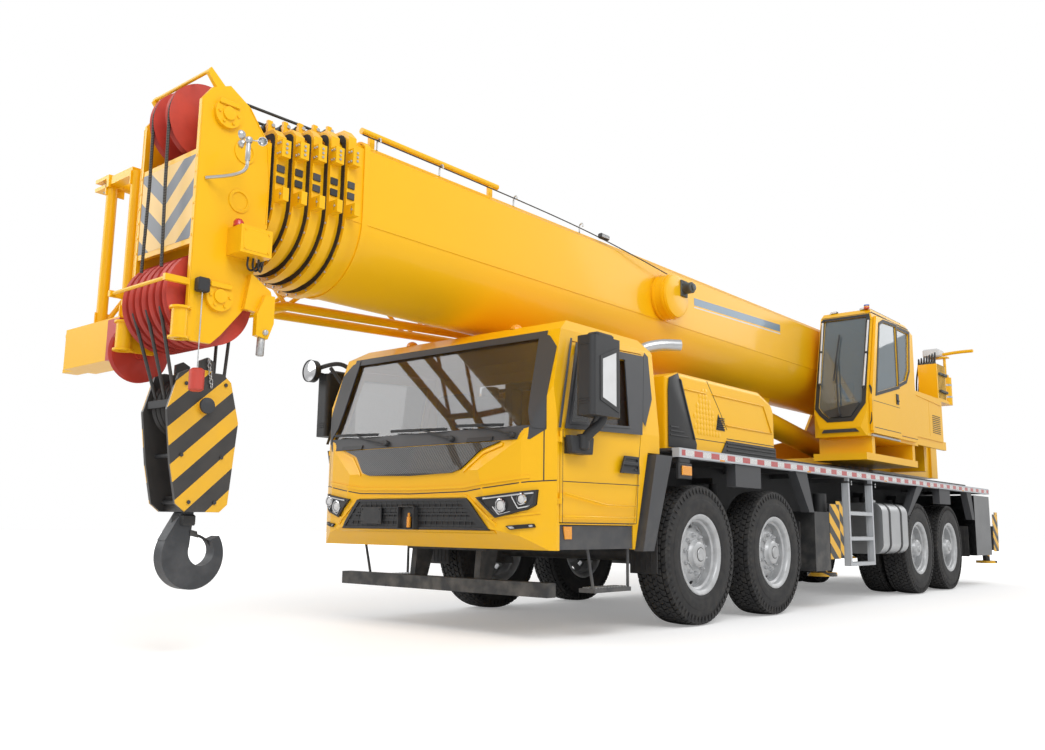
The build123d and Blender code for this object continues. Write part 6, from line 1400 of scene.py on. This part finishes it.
class CRANE_OT_boom_details(bpy.types.Operator):
    """Seals, bolts, rollers and shims at each collar, and what lies along the base section"""
    bl_idname = "crane.boom_details"
    bl_label = "Boom details"

    def execute(self, context):
        for index, body in enumerate(SECTION_BODIES):
            front, inset_by = COLLAR_X + COLLAR_PITCH * index, SECTION_STEP * index
            half, top = BOOM_HALF - inset_by, BOOM_TOP - inset_by
            piece(f"collar_seal_{index + 1}", hoop(inset_by - 0.004, inset_by + SECTION_STEP - 0.001, front,
                front + 0.006), body, "tyre_rubber", 30)
            piece(f"collar_weld_{index + 1}", hoop(inset_by - 0.006, inset_by + 0.001, front - COLLAR_WIDTH - 0.01,
                front - COLLAR_WIDTH + 0.001), body, "gloss_yellow", 60)
            a = np.radians(np.arange(-168, -10, 13))
            bolts = [placed(bar((0, 0, 0), (0.008, 0, 0), 0.0085, 6),
                np.stack([0 * a + front, (half + 0.019) * np.cos(a), ROUND_Z + (half + 0.019) * np.sin(a)], 1))]
            outer = half + COLLAR_HEIGHT
            pad_z = (3.33 - inset_by / 2, 3.45 - inset_by / 2)
            spots = [(front + 0.001, outer + out, z) for out in (0.018, 0.044) for z in (pad_z[0] + 0.025,
                pad_z[1] - 0.025)]
            spots += [(front + 0.001, outer + 0.07, 2.995)]
            bolts += [both(placed(bar((0, 0, 0), (0.01, 0, 0), 0.008, 6), spots))]
            side_spots = [(front - 0.035, outer + 0.06, z) for z in (pad_z[0] + 0.03, pad_z[0] + 0.06,
                pad_z[1] - 0.03)]
            bolts += [both(placed(bar((0, 0, 0), (0, 0.008, 0), 0.01, 6), side_spots))]
            ear = top + 0.12
            bolts += [both(placed(bar((0, 0.274, 0), (0, 0.284, 0), 0.015, 6), [(front - 0.039, 0, ear - 0.031)]))]
            piece(f"collar_bolts_{index + 1}", bolts, body, "zinc_steel", 30)
            piece(f"collar_roller_{index + 1}",
                [lathe([(-0.1, 0.029), (-0.09, 0.034), (-0.07, 0.029), (0.07, 0.029), (0.09, 0.034), (0.1, 0.029)],
                (front - 0.039, y, ear - 0.031), 1, 24) for y in (0.12, -0.12)], body, "moulded_black", 40)
            piece(f"collar_shims_{index + 1}",
                [both(slab((front - 0.046, outer + 0.0605, 2.965), (front + 0.002, outer + 0.062, 3.025), 0.004))]
                + [both(slab((front - 0.064, outer - 0.002, z), (front - 0.004, outer + 0.012, z + 0.05), 0.003))
                for z in (3.17, 3.09)], body, "frame_black" if index % 2 else "slate_plastic", 30)
        self.base_section()
        return {"FINISHED"}

    def base_section(self):
        """Stripes, welds, bands, lamp, cable reel, rope eyes, pin caps and the luffing barrel's gland."""
        y = BOOM_HALF
        on_boom("boom_stripe", both(plate([(1.22, 3.251), (1.22, 3.333), (-0.93, 3.403), (-0.93, 3.314)], y,
            y + 0.0012, 1, 0.0003)), "stripe_blue")
        on_boom("boom_stripe_lower", both(plate([(1.22, 3.222), (1.22, 3.234), (-0.93, 3.294), (-0.93, 3.28)], y,
            y + 0.0012, 1, 0.0003)), "white_plastic")
        beads = []
        for z, height in ((2.962, 0.01), (3.545, 0.006)):
            line = np.stack([np.linspace(-4.99, 5.995, 90), np.full(90, y + (0.0 if z < 3.2 else -0.012)),
                np.full(90, z)], 1)
            beads.append(swept(line, circle(height / 2, 6)))
        on_boom("boom_welds", both(beads), "gloss_yellow", 60)
        on_boom("boom_bands", [hoop(-0.012, 0.001, x, x + 0.05) for x in (-4.98, 5.86)], "gloss_yellow", 50)
        on_boom("boom_lamp", slab((2.86, y - 0.02, 3.575), (3.0, y + 0.03, 3.625), 0.01), "moulded_black", 40)
        on_boom("boom_lamp_lens", slab((2.87, y + 0.024, 3.583), (2.99, y + 0.034, 3.617), 0.003), "lens_clear")
        x, z, r = 1.87, 3.2, 0.23
        cover = [lathe([(0.158, r - 0.004), (0.176, r - 0.01), (0.184, r - 0.04), (0.184, 0.02)], (x, y, z), 1, 48)]
        cover += [lathe([(out, r + 0.01), (out + 0.02, r + 0.01), (out + 0.02, r - 0.004), (out, r - 0.004),
            (out, r + 0.01)], (x, y, z), 1, 48) for out in (0.02, 0.12)]
        on_boom("reel_cover", cover, "gloss_yellow", 40)
        on_boom("reel_motor", [bar((1.753, y + 0.18, 3.296), (1.753, y + 0.3, 3.296), 0.058, 28),
            bar((1.753, y + 0.3, 3.296), (1.753, y + 0.318, 3.296), 0.035, 20), slab((1.69, y + 0.182, 3.21),
            (1.82, y + 0.2, 3.385), 0.008)], "engine_metal", 40)
        line = [(1.87, y + 0.08, 3.438), (2.4, y + 0.06, 3.5), (3.2, 0.47, 3.61), (4.4, 0.46, 3.64),
            (5.9, 0.455, 3.645)]
        on_boom("reel_rope", tube(line, 0.006, 6, 14), "hose_rubber", 60)
        on_boom("rope_eyes", [tube([(x0, 0.44, 3.575), (x0, 0.44, 3.655), (x0, 0.48, 3.662), (x0, 0.48, 3.625)], 0.007,
            8, 6) for x0 in (3.25, 4.2, 5.1, 5.75)], "zinc_steel", 50)
        x, z = ROD_PIN
        on_boom("luff_pin_caps", [lathe([(0, 0.072), (0.016, 0.07), (0.02, 0.052)], (x, s * 0.155, z), 1, 28, s)
            for s in (1, -1)] + [bar((x + 0.05 * cos(k), s * 0.17, z + 0.05 * sin(k)), (x + 0.05 * cos(k), s * 0.182,
            z + 0.05 * sin(k)), 0.009, 6) for k in np.arange(4) * pi / 2 for s in (1, -1)], "zinc_steel", 40)
        gland = lathe([(0, 0.15), (0.02, 0.15), (0.03, 0.135), (0.05, 0.112), (0.05, 0.098), (0.0, 0.098), (0, 0.15)],
            (0, 0, 0), 0, 40)
        start, end = np.insert(BARREL_PIN, 1, 0), np.insert(ROD_PIN, 1, 0)
        way = (end - start) / np.linalg.norm(end - start)
        piece("barrel_gland", placed(gland, start + way * 2.765, turned(1, -atan2(way[2], way[0]))), "luffing_barrel",
            "zinc_steel", 40)


class CRANE_OT_head_details(bpy.types.Operator):
    """Chevron plate, hoist ropes, bolts, wind gauge, lamp, wiring and switch weight at the boom head"""
    bl_idname = "crane.head_details"
    bl_label = "Boom head details"

    def execute(self, context):
        on_head("chevron_plate", plate(four((-0.325, 2.585), (0.325, 3.135)), HEAD_FACE, HEAD_FACE + 0.002, 0, 0.0006),
            "head_chevrons")
        spots = [(HEAD_FACE, y, z) for y in (-0.345, 0.345) for z in np.linspace(2.6, 3.12, 6)]
        nuts = [placed(bar((0, 0, 0), (0.009, 0, 0), 0.009, 6), spots)]
        ring = np.arange(6) * pi / 3
        for x, z in (SHEAVE, LOWER_SHEAVE):
            nuts += [both(placed(bar((0, 0.388, 0), (0, 0.398, 0), 0.01, 6),
                np.stack([x + 0.068 * np.cos(ring), 0 * ring, z + 0.068 * np.sin(ring)], 1)))]
            nuts += [both(lathe([(0.388, 0.046), (0.4, 0.044), (0.402, 0.03)], (x, 0, z), 1, 28))]
            nuts += [both(slab((x - 0.075, 0.39, z + 0.05), (x + 0.075, 0.402, z + 0.085), 0.004))]
        on_head("head_bolts", nuts, "gloss_yellow", 40)
        self.ropes(settings().rope_radius)
        self.gauge()
        on_head("head_welds", [both(swept(np.array([(x, 0.3605, z) for x, z in line]), circle(0.005, 6)))
            for line in (((7.128, 1.98), (7.128, 3.48)), ((6.61, 2.8), (6.605, 3.1), (6.635, 3.36), (6.78, 3.555)))],
            "gloss_yellow", 60)
        on_head("head_hole_rims", both([lathe([(0.0, 0.08), (0.008, 0.078), (0.01, 0.06), (0.002, 0.056), (0.0, 0.08)],
            (x, HEAD_HALF, z), 1, 40) for x, z in HEAD_HOLES]), "gloss_yellow", 50)
        on_head("head_hole_shades",
            [both(plate([(x + 0.066 * cos(k), z + 0.066 * sin(k)) for k in np.linspace(0, 2 * pi, 28, endpoint=False)],
            HEAD_HALF + 0.0002, HEAD_HALF + 0.0012, 1, 0.0003)) for x, z in HEAD_HOLES], "gloss_yellow")
        on_head("head_lamp", lathe([(0, 0.034), (0.028, 0.033), (0.046, 0.022), (0.052, 0.006)], (6.864, 0.44, 2.702),
            2, 24), "lens_red", 50)
        box = [slab((6.675, 0.5, 2.535), (6.875, 0.524, 2.685), 0.006)]
        box += [bar((x, 0.523, z), (x, 0.53, z), 0.007, 8) for x in (6.69, 6.86) for z in (2.55, 2.67)]
        on_head("junction_cover", box, "gloss_yellow", 40)
        on_head("head_wires", [tube([(6.7 + 0.04 * k, 0.44, 2.525), (6.7 + 0.04 * k, 0.43, 2.47 - 0.01 * k),
            (6.66 + 0.03 * k, 0.405, 2.44), (6.63, 0.385, 2.52 + 0.02 * k), (6.62, 0.372, 2.75)], 0.007, 8, 10)
            for k in range(3)], "hose_rubber", 60)
        return {"FINISHED"}

    def ropes(self, r):
        """Hoist ropes along the boom's top, over the upper sheaves and down the head's front, with the end socket."""
        ropes = []
        for y in (-0.1, 0.1):
            (x, z), radius = SHEAVE, GROOVE_RADIUS + r
            a = np.linspace(pi / 2, 0.02, 24)
            arc = np.stack([x + radius * np.cos(a), np.full(24, y), z + radius * np.sin(a)], 1)
            back = np.stack([np.linspace(-4.9, x, 40)[:-1], np.full(39, y), np.full(39, z + radius)], 1)
            back[:, 2] = np.interp(back[:, 0], (-4.9, 6.0, 6.95), (3.742, 3.715, z + radius))
            down = np.array([(x + radius - 0.006, y, 3.0), (x + radius - 0.01, y * 1.25, 2.42)])
            ropes.append(swept(np.concatenate([back, arc, down]), circle(r, 8)))
        on_head("hoist_ropes", ropes, "rope_steel", 60)
        on_head("rope_socket", [bar((6.625, 0.405, 2.06), (6.632, 0.407, 1.9), 0.026, 14),
            bar((6.625, 0.36, 2.05), (6.625, 0.46, 2.05), 0.018, 14)], "zinc_steel", 50)
        on_head("switch_rope", tube([(STAY_X, STAY_Y, z) for z in (2.25, 2.0, 1.76)], 0.004, 6, 4), "zinc_steel", 60)
        on_head("switch_weight", lathe([(0, 0.03), (0.012, 0.046), (0.13, 0.046), (0.142, 0.03)],
            (STAY_X, STAY_Y, 1.62), 2, 28), "sheave_red", 50)
        on_head("switch_box", slab((7.02, 0.365, 2.24), (7.1, 0.425, 2.33), 0.008), "moulded_black", 40)

    def gauge(self):
        """Wind gauge: a bent arm, a pole, a hub and three half-ball cups, each a closed bowl."""
        stay = [tube([(7.07, 0.365, 2.985), (6.96, 0.5, 3.0), (*POLE, 3.02), (*POLE, 3.1)], 0.011, 10, 10),
            bar((*POLE, 3.08), (*POLE, 3.205), 0.016, 16), bar((*POLE, 3.2), (*POLE, 3.235), 0.024, 16)]
        bowls = []
        for k in range(3):
            angle = k * 2 * pi / 3 + 0.4
            centre = np.array([POLE[0] + 0.085 * cos(angle), POLE[1] + 0.085 * sin(angle), 3.218])
            stay.append(bar((*POLE, 3.218), centre, 0.004, 8))
            p = np.linspace(0.08, pi / 2, 8)
            shell = [(0.03 * cos(q), 0.03 * sin(q)) for q in p] + [(0.027 * cos(q), 0.027 * sin(q)) for q in p[::-1]]
            bowls.append(placed(lathe(shell + [shell[0]], (0, 0, 0), 0, 20), centre, turned(2, angle + pi / 2)))
        on_head("wind_gauge", stay + bowls, "brushed_aluminium", 50)


class CRANE_OT_jib_details(bpy.types.Operator):
    """Node plates, pins, cable and bolts of the folded jib"""
    bl_idname = "crane.jib_details"
    bl_label = "Jib details"

    def execute(self, context):
        plates, welds = [], []
        for y in (-1.02, -0.66):
            for x, z in ((7.01, 2.26), (7.01, 3.24)):
                plates.append(plate(four((x - 0.09, z - 0.05), (x + 0.05, z + 0.05)), y - 0.008, y + 0.008, 1, 0.002))
            welds += [bar((x, y, 2.57 + (5.7 - x) * 0.0472), (x, y, 3.23), 0.014, 10) for x in (2.5, -0.4)]
        on_boom("jib_plates", plates + welds, "gloss_yellow", 40)
        pins = [bar((7.005, -1.06, z), (7.005, -1.09, z), 0.026, 16) for z in (3.257, 3.323)]
        pins += [bar((7.005, -1.13, z - 0.05), (7.005, -1.13, z + 0.05), 0.02, 14) for z in (3.29, 2.055)]
        pins += [bar((x, -0.62, 3.262), (x, -0.5, 3.262), 0.04, 16) for x in (5.4, 0.4, -2.8)]
        on_boom("jib_pins", pins, "zinc_steel", 40)
        cable = tube([(6.95, -0.7, 3.262), (5.7, -0.705, 3.19), (3.0, -0.703, 3.196), (0.0, -0.704, 3.205),
            (-3.1, -0.703, 3.215)], 0.008, 6, 16)
        ties = [bar((x, -0.66, 3.215 + 0.001 * k), (x + 0.012, -0.66, 3.215 + 0.001 * k), 0.044, 12)
            for k, x in enumerate(np.arange(-2.6, 5.6, 0.9))]
        on_boom("jib_cable", cable, "hose_rubber", 60)
        on_boom("jib_ties", ties, "moulded_black", 40)
        on_boom("jib_bolts", placed(bar((0, -1.29, 0), (0, -1.3, 0), 0.012, 6), [(x, 0, z) for x in (6.92, 7.1)
            for z in (1.95, 2.16)]), "zinc_steel", 40)
        return {"FINISHED"}


class CRANE_OT_hook_details(bpy.types.Operator):
    """Pin caps, bolts, rope guards and chain of the hook block, and the hook's nut and latch"""
    bl_idname = "crane.hook_details"
    bl_label = "Hook details"

    def execute(self, context):
        caps = [both(lathe([(0.185, 0.052), (0.2, 0.05), (0.203, 0.034)], (HOOK_X, 0, 1.57), 1, 28)),
            both(placed(bar((0, 0.16, 0), (0, 0.172, 0), 0.013, 6),
            [(HOOK_X + dx, 0, z) for dx, z in ((-0.11, 0.96), (0.07, 0.96), (-0.14, 1.25), (0.14, 1.25), (-0.14, 1.72),
            (0.14, 1.7))]))]
        on_block("block_bolts", caps, "cast_grey", 40)
        on_block("block_spacers", [bar((HOOK_X + dx, -0.158, z), (HOOK_X + dx, 0.158, z), 0.014, 14)
            for dx, z in ((-0.14, 1.25), (0.14, 1.25), (-0.11, 0.96), (0.07, 0.96))]
            + [slab((HOOK_X + dx, -0.13, 1.545), (HOOK_X + dx + 0.01, 0.13, 1.595), 0.003) for dx in (0.222, -0.228)],
            "frame_black", 40)
        links = []
        for k in range(7):
            a = np.linspace(0, 2 * pi, 14, endpoint=False)
            flat = np.stack([0.01 * np.cos(a), 0.017 * np.sin(a)], 1)
            line = np.insert(flat, k % 2, 0, axis=1)
            centre = np.array([HOOK_X - 0.005 * k, 0.175, 1.86 - 0.026 * k])
            path = line + centre
            side, out = unit(np.roll(path, -1, 0) - np.roll(path, 1, 0)), unit(path - centre)
            loops = tubed(path, out, np.cross(side, out), circle(0.0035, 6))
            links.append(grid(loops, close_rows=True, close_columns=True))
        on_block("block_chain", links, "zinc_steel", 60)
        piece("hook_nut", [lathe([(0, 0.075), (0.01, 0.082), (0.06, 0.082), (0.07, 0.07)], (HOOK_X, 0, 0.815), 2, 6),
            bar((HOOK_X, 0, 0.8), (HOOK_X, 0, 0.9), 0.045, 24)], "hook", "frame_black", 30)
        latch = [tube([(HOOK_X - 0.045, 0.0, 0.765), (HOOK_X - 0.14, 0.0, 0.745), (HOOK_X - 0.205, 0.0, 0.69)], 0.009,
            10, 10), bar((HOOK_X - 0.045, -0.055, 0.768), (HOOK_X - 0.045, 0.055, 0.768), 0.014, 14),
            both(plate([(HOOK_X - 0.08, 0.738), (HOOK_X - 0.02, 0.752), (HOOK_X - 0.02, 0.79), (HOOK_X - 0.07, 0.778)],
            0.0495, 0.0545, 1, 0.001))]
        piece("hook_latch", latch, "hook", "frame_black", 50)
        return {"FINISHED"}


# ---------------------------------------------------------------- seats and controls
def pillow(low, high, power=0.3, rows=22, columns=56):
    """A cushion's first shape: a superellipsoid. With s(t) = sign(t) |t|^power, a point is the centre plus the half
    sizes times (s(cos v) s(cos u), s(cos v) s(sin u), s(sin v)); v stops short of the poles, which get flat faces."""
    low, high = np.asarray(low, float), np.asarray(high, float)
    u = np.linspace(0, 2 * pi, columns, endpoint=False)[None]
    v = np.linspace(-pi / 2 + 0.02, pi / 2 - 0.02, rows)[:, None]

    def s(t):
        return np.sign(t) * np.abs(t) ** power
    points = np.stack([s(np.cos(v)) * s(np.cos(u)), s(np.cos(v)) * s(np.sin(u)), s(np.sin(v)) + 0 * u], -1)
    return capped((low + high) / 2 + points * (high - low) / 2)


def blown(form, cell=0.012, cap=0.014):
    """A padded shape from a closed form: it is remeshed into even cells, blown up as cloth for twenty frames without
    gravity, and no point may travel further than cap: p + (q - p) min(1, cap / |q - p|)."""
    mesh = bpy.data.meshes.new("pad")
    mesh.from_pydata(form[0].tolist(), [], [face for group in form[1] for face in group.tolist()])
    pad = bpy.data.objects.new("pad", mesh)
    scene = bpy.context.scene
    scene.collection.objects.link(pad)
    remesh = pad.modifiers.new("cells", "REMESH")
    remesh.mode, remesh.voxel_size = "VOXEL", cell

    def result():
        graph = bpy.context.evaluated_depsgraph_get()
        return bpy.data.meshes.new_from_object(pad.evaluated_get(graph))

    def coordinates(mesh):
        flat = np.empty(len(mesh.vertices) * 3)
        mesh.vertices.foreach_get("co", flat)
        return flat.reshape(-1, 3)
    pad.data = result()
    pad.modifiers.clear()
    start = coordinates(pad.data)
    end = start
    cloth = pad.modifiers.new("cloth", "CLOTH")
    cloth.settings.use_pressure = True
    cloth.settings.uniform_pressure_force = 4.0
    cloth.settings.effector_weights.gravity = 0
    for frame_number in range(1, 21):
        scene.frame_set(frame_number)
    end = coordinates(result())
    scene.frame_set(1)
    move = end - start
    far = np.linalg.norm(move, axis=1)[:, None]
    points = start + move * np.minimum(1, cap / np.maximum(far, 1e-9))
    faces = [np.array([face.vertices[:] for face in pad.data.polygons if len(face.vertices) == n]) for n in (3, 4)]
    bpy.data.objects.remove(pad)
    return points, [group for group in faces if len(group)]


def channelled(form, axis, spots, depth_axis, sign, depth=0.01, width=0.012):
    """Sewn channels on one face of a pad: points on that side go in by depth exp(-((t - spot) / width)^2)."""
    points, faces = form
    points = points.copy()
    middle = (points[:, depth_axis].min() + points[:, depth_axis].max()) / 2
    facing = np.clip((points[:, depth_axis] - middle) * sign / 0.03, 0, 1)
    dip = sum(np.exp(-((points[:, axis] - spot) / width) ** 2) for spot in spots)
    points[:, depth_axis] -= sign * depth * dip * facing
    return points, faces


class CRANE_OT_seats(bpy.types.Operator):
    """Padded seats in both cabs, the dashboard, the steering wheel and the crane's levers"""
    bl_idname = "crane.seats"
    bl_label = "Seats and controls"

    def execute(self, context):
        cushion = channelled(blown(pillow((-0.235, -0.235, 0.012), (0.235, 0.235, 0.145))), 1, (-0.13, 0.13), 2, 1)
        back = channelled(blown(pillow((-0.048, -0.225, 0.012), (0.045, 0.225, 0.61))), 2, (0.14, 0.26, 0.38), 0, 1)
        for side_name, y in (("left", 0.67), ("right", -0.67)):
            self.seat(f"driver_seat_{side_name}", cushion, back, (3.99, y, 1.345), (3.735, y, 1.47), "chassis",
                "dark_cloth", "dark_seat", "cab_interior", 0.956)
        (_, y0, floor), (_, y1, _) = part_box("operator_seat")
        y, narrow = (y0 + y1) / 2, (0.96, (y1 - y0) / 0.5, 1)
        self.seat("operator_seat_pad", (cushion[0] * narrow, cushion[1]), (back[0] * narrow, back[1]),
            (-2.722, y, 2.28), (-3.04, y, 2.42), "superstructure", "blue_cloth", "blue_seat", "operator_seat",
            floor + 0.001)
        self.dashboard()
        self.levers(y)
        return {"FINISHED"}

    def seat(self, name, cushion, back, cushion_at, back_at, body, finish, slot, node, floor):
        """A cushion and a backrest, both padded, on a bellows foot between the floor and the cushion."""
        for part, form, place in (("cushion", cushion, cushion_at), ("back", back, back_at)):
            made = piece(f"{name}_{part}", placed(form, place), body, finish, 180, (node,), slot)
            smooth = made.modifiers.new("smooth", "SUBSURF")
            smooth.levels = smooth.render_levels = 1
        x, y, z = cushion_at
        folds = np.linspace(floor + 0.03, z - 0.03, 6)
        foot = [slab((x - 0.16 - k % 2 * 0.02, y - 0.13 - k % 2 * 0.02, low),
            (x + 0.16 + k % 2 * 0.02, y + 0.13 + k % 2 * 0.02, low + (z - floor) / 6), 0.012)
            for k, low in enumerate(folds)]
        foot += [slab((x - 0.22, y - 0.17, floor), (x + 0.22, y + 0.17, floor + 0.035), 0.008),
            slab((x - 0.2, y - 0.19, z - 0.01), (x + 0.2, y + 0.19, z + 0.018), 0.008),
            slab((back_at[0] - 0.055, y - 0.15, z + 0.02), (back_at[0] - 0.03, y + 0.15, back_at[2] + 0.4), 0.008)]
        piece(f"{name}_frame", foot, body, "moulded_black", 30, (node,))

    def dashboard(self):
        """Dashboard with a hood over the instruments, a dial panel, vents, the steering column and wheel."""
        outline = [(4.645, 0.96), (4.645, 1.4), (4.6, 1.446), (4.47, 1.43), (4.405, 1.35), (4.43, 1.12), (4.52, 0.96)]
        hood = [(4.56, 1.43), (4.56, 1.5), (4.44, 1.512), (4.396, 1.47), (4.42, 1.4)]
        parts = [plate(outline, -1.045, 1.045, 1, 0.015), plate(hood, 0.42, 0.92, 1, 0.015),
            slab((4.4, -0.25, 1.16), (4.47, 0.3, 1.375), 0.012)]
        parts += [slab((4.398, y, 1.295), (4.42, y + 0.13, 1.345), 0.006) for y in (-0.98, -0.45, 0.1, 0.8)]
        on_chassis("dashboard", parts, "interior_trim", 40, ("cab_interior",))
        tilt = turned(1, radians(-32))
        ring = np.linspace(0, 2 * pi, 17)
        on_chassis("steering_wheel", placed([lathe(np.stack([0.014 * np.sin(ring), 0.205 + 0.014 * np.cos(ring)], 1),
            (0, 0, 0), 2, 48), bar((0, 0, -0.24), (0, 0, -0.015), 0.032, 20)]
            + [slab((-0.2, -0.02, -0.01), (0.02, 0.02, 0.006), 0.006), slab((-0.02, -0.2, -0.01), (0.02, 0.2, 0.006),
            0.006), lathe([(-0.02, 0.05), (0.01, 0.06), (0.024, 0.045), (0.028, 0.02)], (0, 0, 0), 2, 24)],
            (4.31, 0.67, 1.5), tilt), "moulded_black", 40)

    def levers(self, y):
        """Two armrests with levers beside the crane driver's seat, and a console with a screen ahead."""
        rests, sticks = [], []
        for s in (1, -1):
            rests.append(slab((-2.92, y + s * 0.262 - 0.035, 2.56), (-2.58, y + s * 0.262 + 0.035, 2.61), 0.012))
            rests.append(slab((-2.9, y + s * 0.262 - 0.02, 2.3), (-2.86, y + s * 0.262 + 0.02, 2.565), 0.008))
            sticks.append(bar((-2.62, y + s * 0.262, 2.605), (-2.61, y + s * 0.262, 2.69), 0.01, 12))
            sticks.append(lathe([(0, 0.016), (0.02, 0.026), (0.06, 0.028), (0.08, 0.016)],
                (-2.61, y + s * 0.262, 2.68), 2, 20))
        on_top("crane_armrests", rests + [slab((-1.98, 0.72, 2.06), (-1.86, 1.02, 2.52), 0.02),
            slab((-1.99, 0.74, 2.54), (-1.955, 1.0, 2.74), 0.01)], "interior_trim", 40)
        on_top("crane_levers", sticks, "moulded_black", 40)


# ---------------------------------------------------------------- outriggers
class CRANE_OT_outriggers(bpy.types.Operator):
    """Striped covers on the outriggers' jacks and beam ends"""
    bl_idname = "crane.outriggers"
    bl_label = "Outriggers"

    def execute(self, context):
        for end in ("front", "rear"):
            for side_name, sign in SIDES:
                turn = one if sign > 0 else mirrored
                jack_low, jack_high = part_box(f"outrigger_jack_{end}_left")
                beam_low, beam_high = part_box(f"outrigger_beam_{end}_left")
                y, body = jack_high[1], f"beam_{end}_{side_name}"
                piece(f"outrigger_stripes_{end}_{side_name}",
                    turn([plate(four((jack_low[0] + 0.02, 0.52), (jack_high[0] - 0.02, 1.12)), y + 0.002, y + 0.008, 1,
                    0.002), plate(four((beam_low[0] + 0.01, 0.55), (jack_low[0] - 0.01, 1.16)), beam_high[1],
                    beam_high[1] + 0.004, 1, 0.001)]), body, "jack_stripes")
        return {"FINISHED"}


# ---------------------------------------------------------------- stage
class CRANE_OT_stage(bpy.types.Operator):
    """Pale floor, soft studio light and the camera"""
    bl_idname = "crane.stage"
    bl_label = "Stage"

    def execute(self, context):
        floor = on_chassis("floor", grid(self.floor_points()), "studio_floor")
        self.light_world(context.scene)
        for name, place, size, power in (("key", (9.0, 9.0, 11.0), 9.0, 960.0), ("fill", (12.0, -7.0, 7.0), 8.0,
                430.0), ("back", (-11.0, 6.0, 9.0), 9.0, 420.0)):
            lamp = bpy.data.lights.new(name, "AREA")
            lamp.shape, lamp.size, lamp.energy = "DISK", size, power
            holder = bpy.data.objects.new(name, lamp)
            holder.location = place
            holder.rotation_euler = (Vector((0.5, 0.0, 1.6)) - Vector(place)).to_track_quat("-Z", "Y").to_euler()
            context.scene.collection.objects.link(holder)
        self.aim_camera(context.scene)
        context.scene.view_settings.view_transform = "Standard"
        return {"FINISHED"}

    def floor_points(self):
        """A flat square far wider than the crane: (x, y, 0)."""
        side = np.linspace(-70, 70, 15)
        x, y = np.meshgrid(side, side, indexing="ij")
        return np.stack([x, y, np.zeros_like(x)], -1)

    def light_world(self, scene):
        """An even pale sky: white to the camera, and dimmer as a light."""
        world = bpy.data.worlds.new("studio")
        world.use_nodes = True
        tree = world.node_tree
        sky = tree.nodes["Background"]
        path = tree.nodes.new("ShaderNodeLightPath")
        seen = tree.nodes.new("ShaderNodeMath")
        seen.operation = "MAXIMUM"
        tree.links.new(path.outputs["Is Camera Ray"], seen.inputs[0])
        tree.links.new(path.outputs["Is Transmission Ray"], seen.inputs[1])
        strength = tree.nodes.new("ShaderNodeMapRange")
        tree.links.new(seen.outputs[0], strength.inputs["Value"])
        strength.inputs["To Min"].default_value = scene.crane.sky
        strength.inputs["To Max"].default_value = 1.0
        tree.links.new(strength.outputs["Result"], sky.inputs["Strength"])
        sky.inputs["Color"].default_value = (1.0, 1.0, 1.0, 1)
        scene.world = world

    def aim_camera(self, scene):
        """The camera's axes from its yaw, pitch and roll."""
        yaw, pitch, roll = radians(220.384), radians(9.153), radians(0.71)
        ahead = Vector((cos(yaw) * cos(pitch), sin(yaw) * cos(pitch), sin(pitch)))
        right = Vector((sin(yaw), -cos(yaw), 0))
        up = right.cross(ahead)
        right2, up2 = right * cos(roll) + up * sin(roll), up * cos(roll) - right * sin(roll)
        eye = bpy.data.objects.new("camera", bpy.data.cameras.new("camera"))
        eye.data.lens, eye.data.sensor_width, eye.data.clip_end = 32.29, 36.0, 200.0
        turn = Matrix((right2, up2, -ahead)).transposed().to_4x4()
        eye.matrix_world = Matrix.Translation((10.066, 5.557, 0.838)) @ turn
        scene.collection.objects.link(eye)
        scene.camera = eye


# ---------------------------------------------------------------- add-on
class CRANE_PT_panel(bpy.types.Panel):
    """The crane's pieces, one button each"""
    bl_label = "Mobile crane"
    bl_idname = "CRANE_PT_panel"
    bl_space_type = "VIEW_3D"
    bl_region_type = "UI"
    bl_category = "Crane"

    def draw(self, context):
        values = context.scene.crane
        for name in CraneSettings.__annotations__:
            self.layout.prop(values, name)
        for operator in OPERATORS:
            self.layout.operator(operator.bl_idname)


OPERATORS = (
    CRANE_OT_node_finishes,
    CRANE_OT_wheels,
    CRANE_OT_cab_front,
    CRANE_OT_cab_sides,
    CRANE_OT_engine_hood,
    CRANE_OT_deck_details,
    CRANE_OT_operator_cab,
    CRANE_OT_superstructure,
    CRANE_OT_boom_details,
    CRANE_OT_head_details,
    CRANE_OT_jib_details,
    CRANE_OT_hook_details,
    CRANE_OT_seats,
    CRANE_OT_outriggers,
    CRANE_OT_stage,
)
CLASSES = (CraneSettings, *OPERATORS, CRANE_PT_panel)


def register():
    for each in CLASSES:
        bpy.utils.register_class(each)
    bpy.types.Scene.crane = bpy.props.PointerProperty(type=CraneSettings)


def unregister():
    del bpy.types.Scene.crane
    for each in reversed(CLASSES):
        bpy.utils.unregister_class(each)


def main():
    register()
    for operator in OPERATORS:
        group, name = operator.bl_idname.split(".")
        getattr(getattr(bpy.ops, group), name)()


if __name__ == "__main__":
    main()
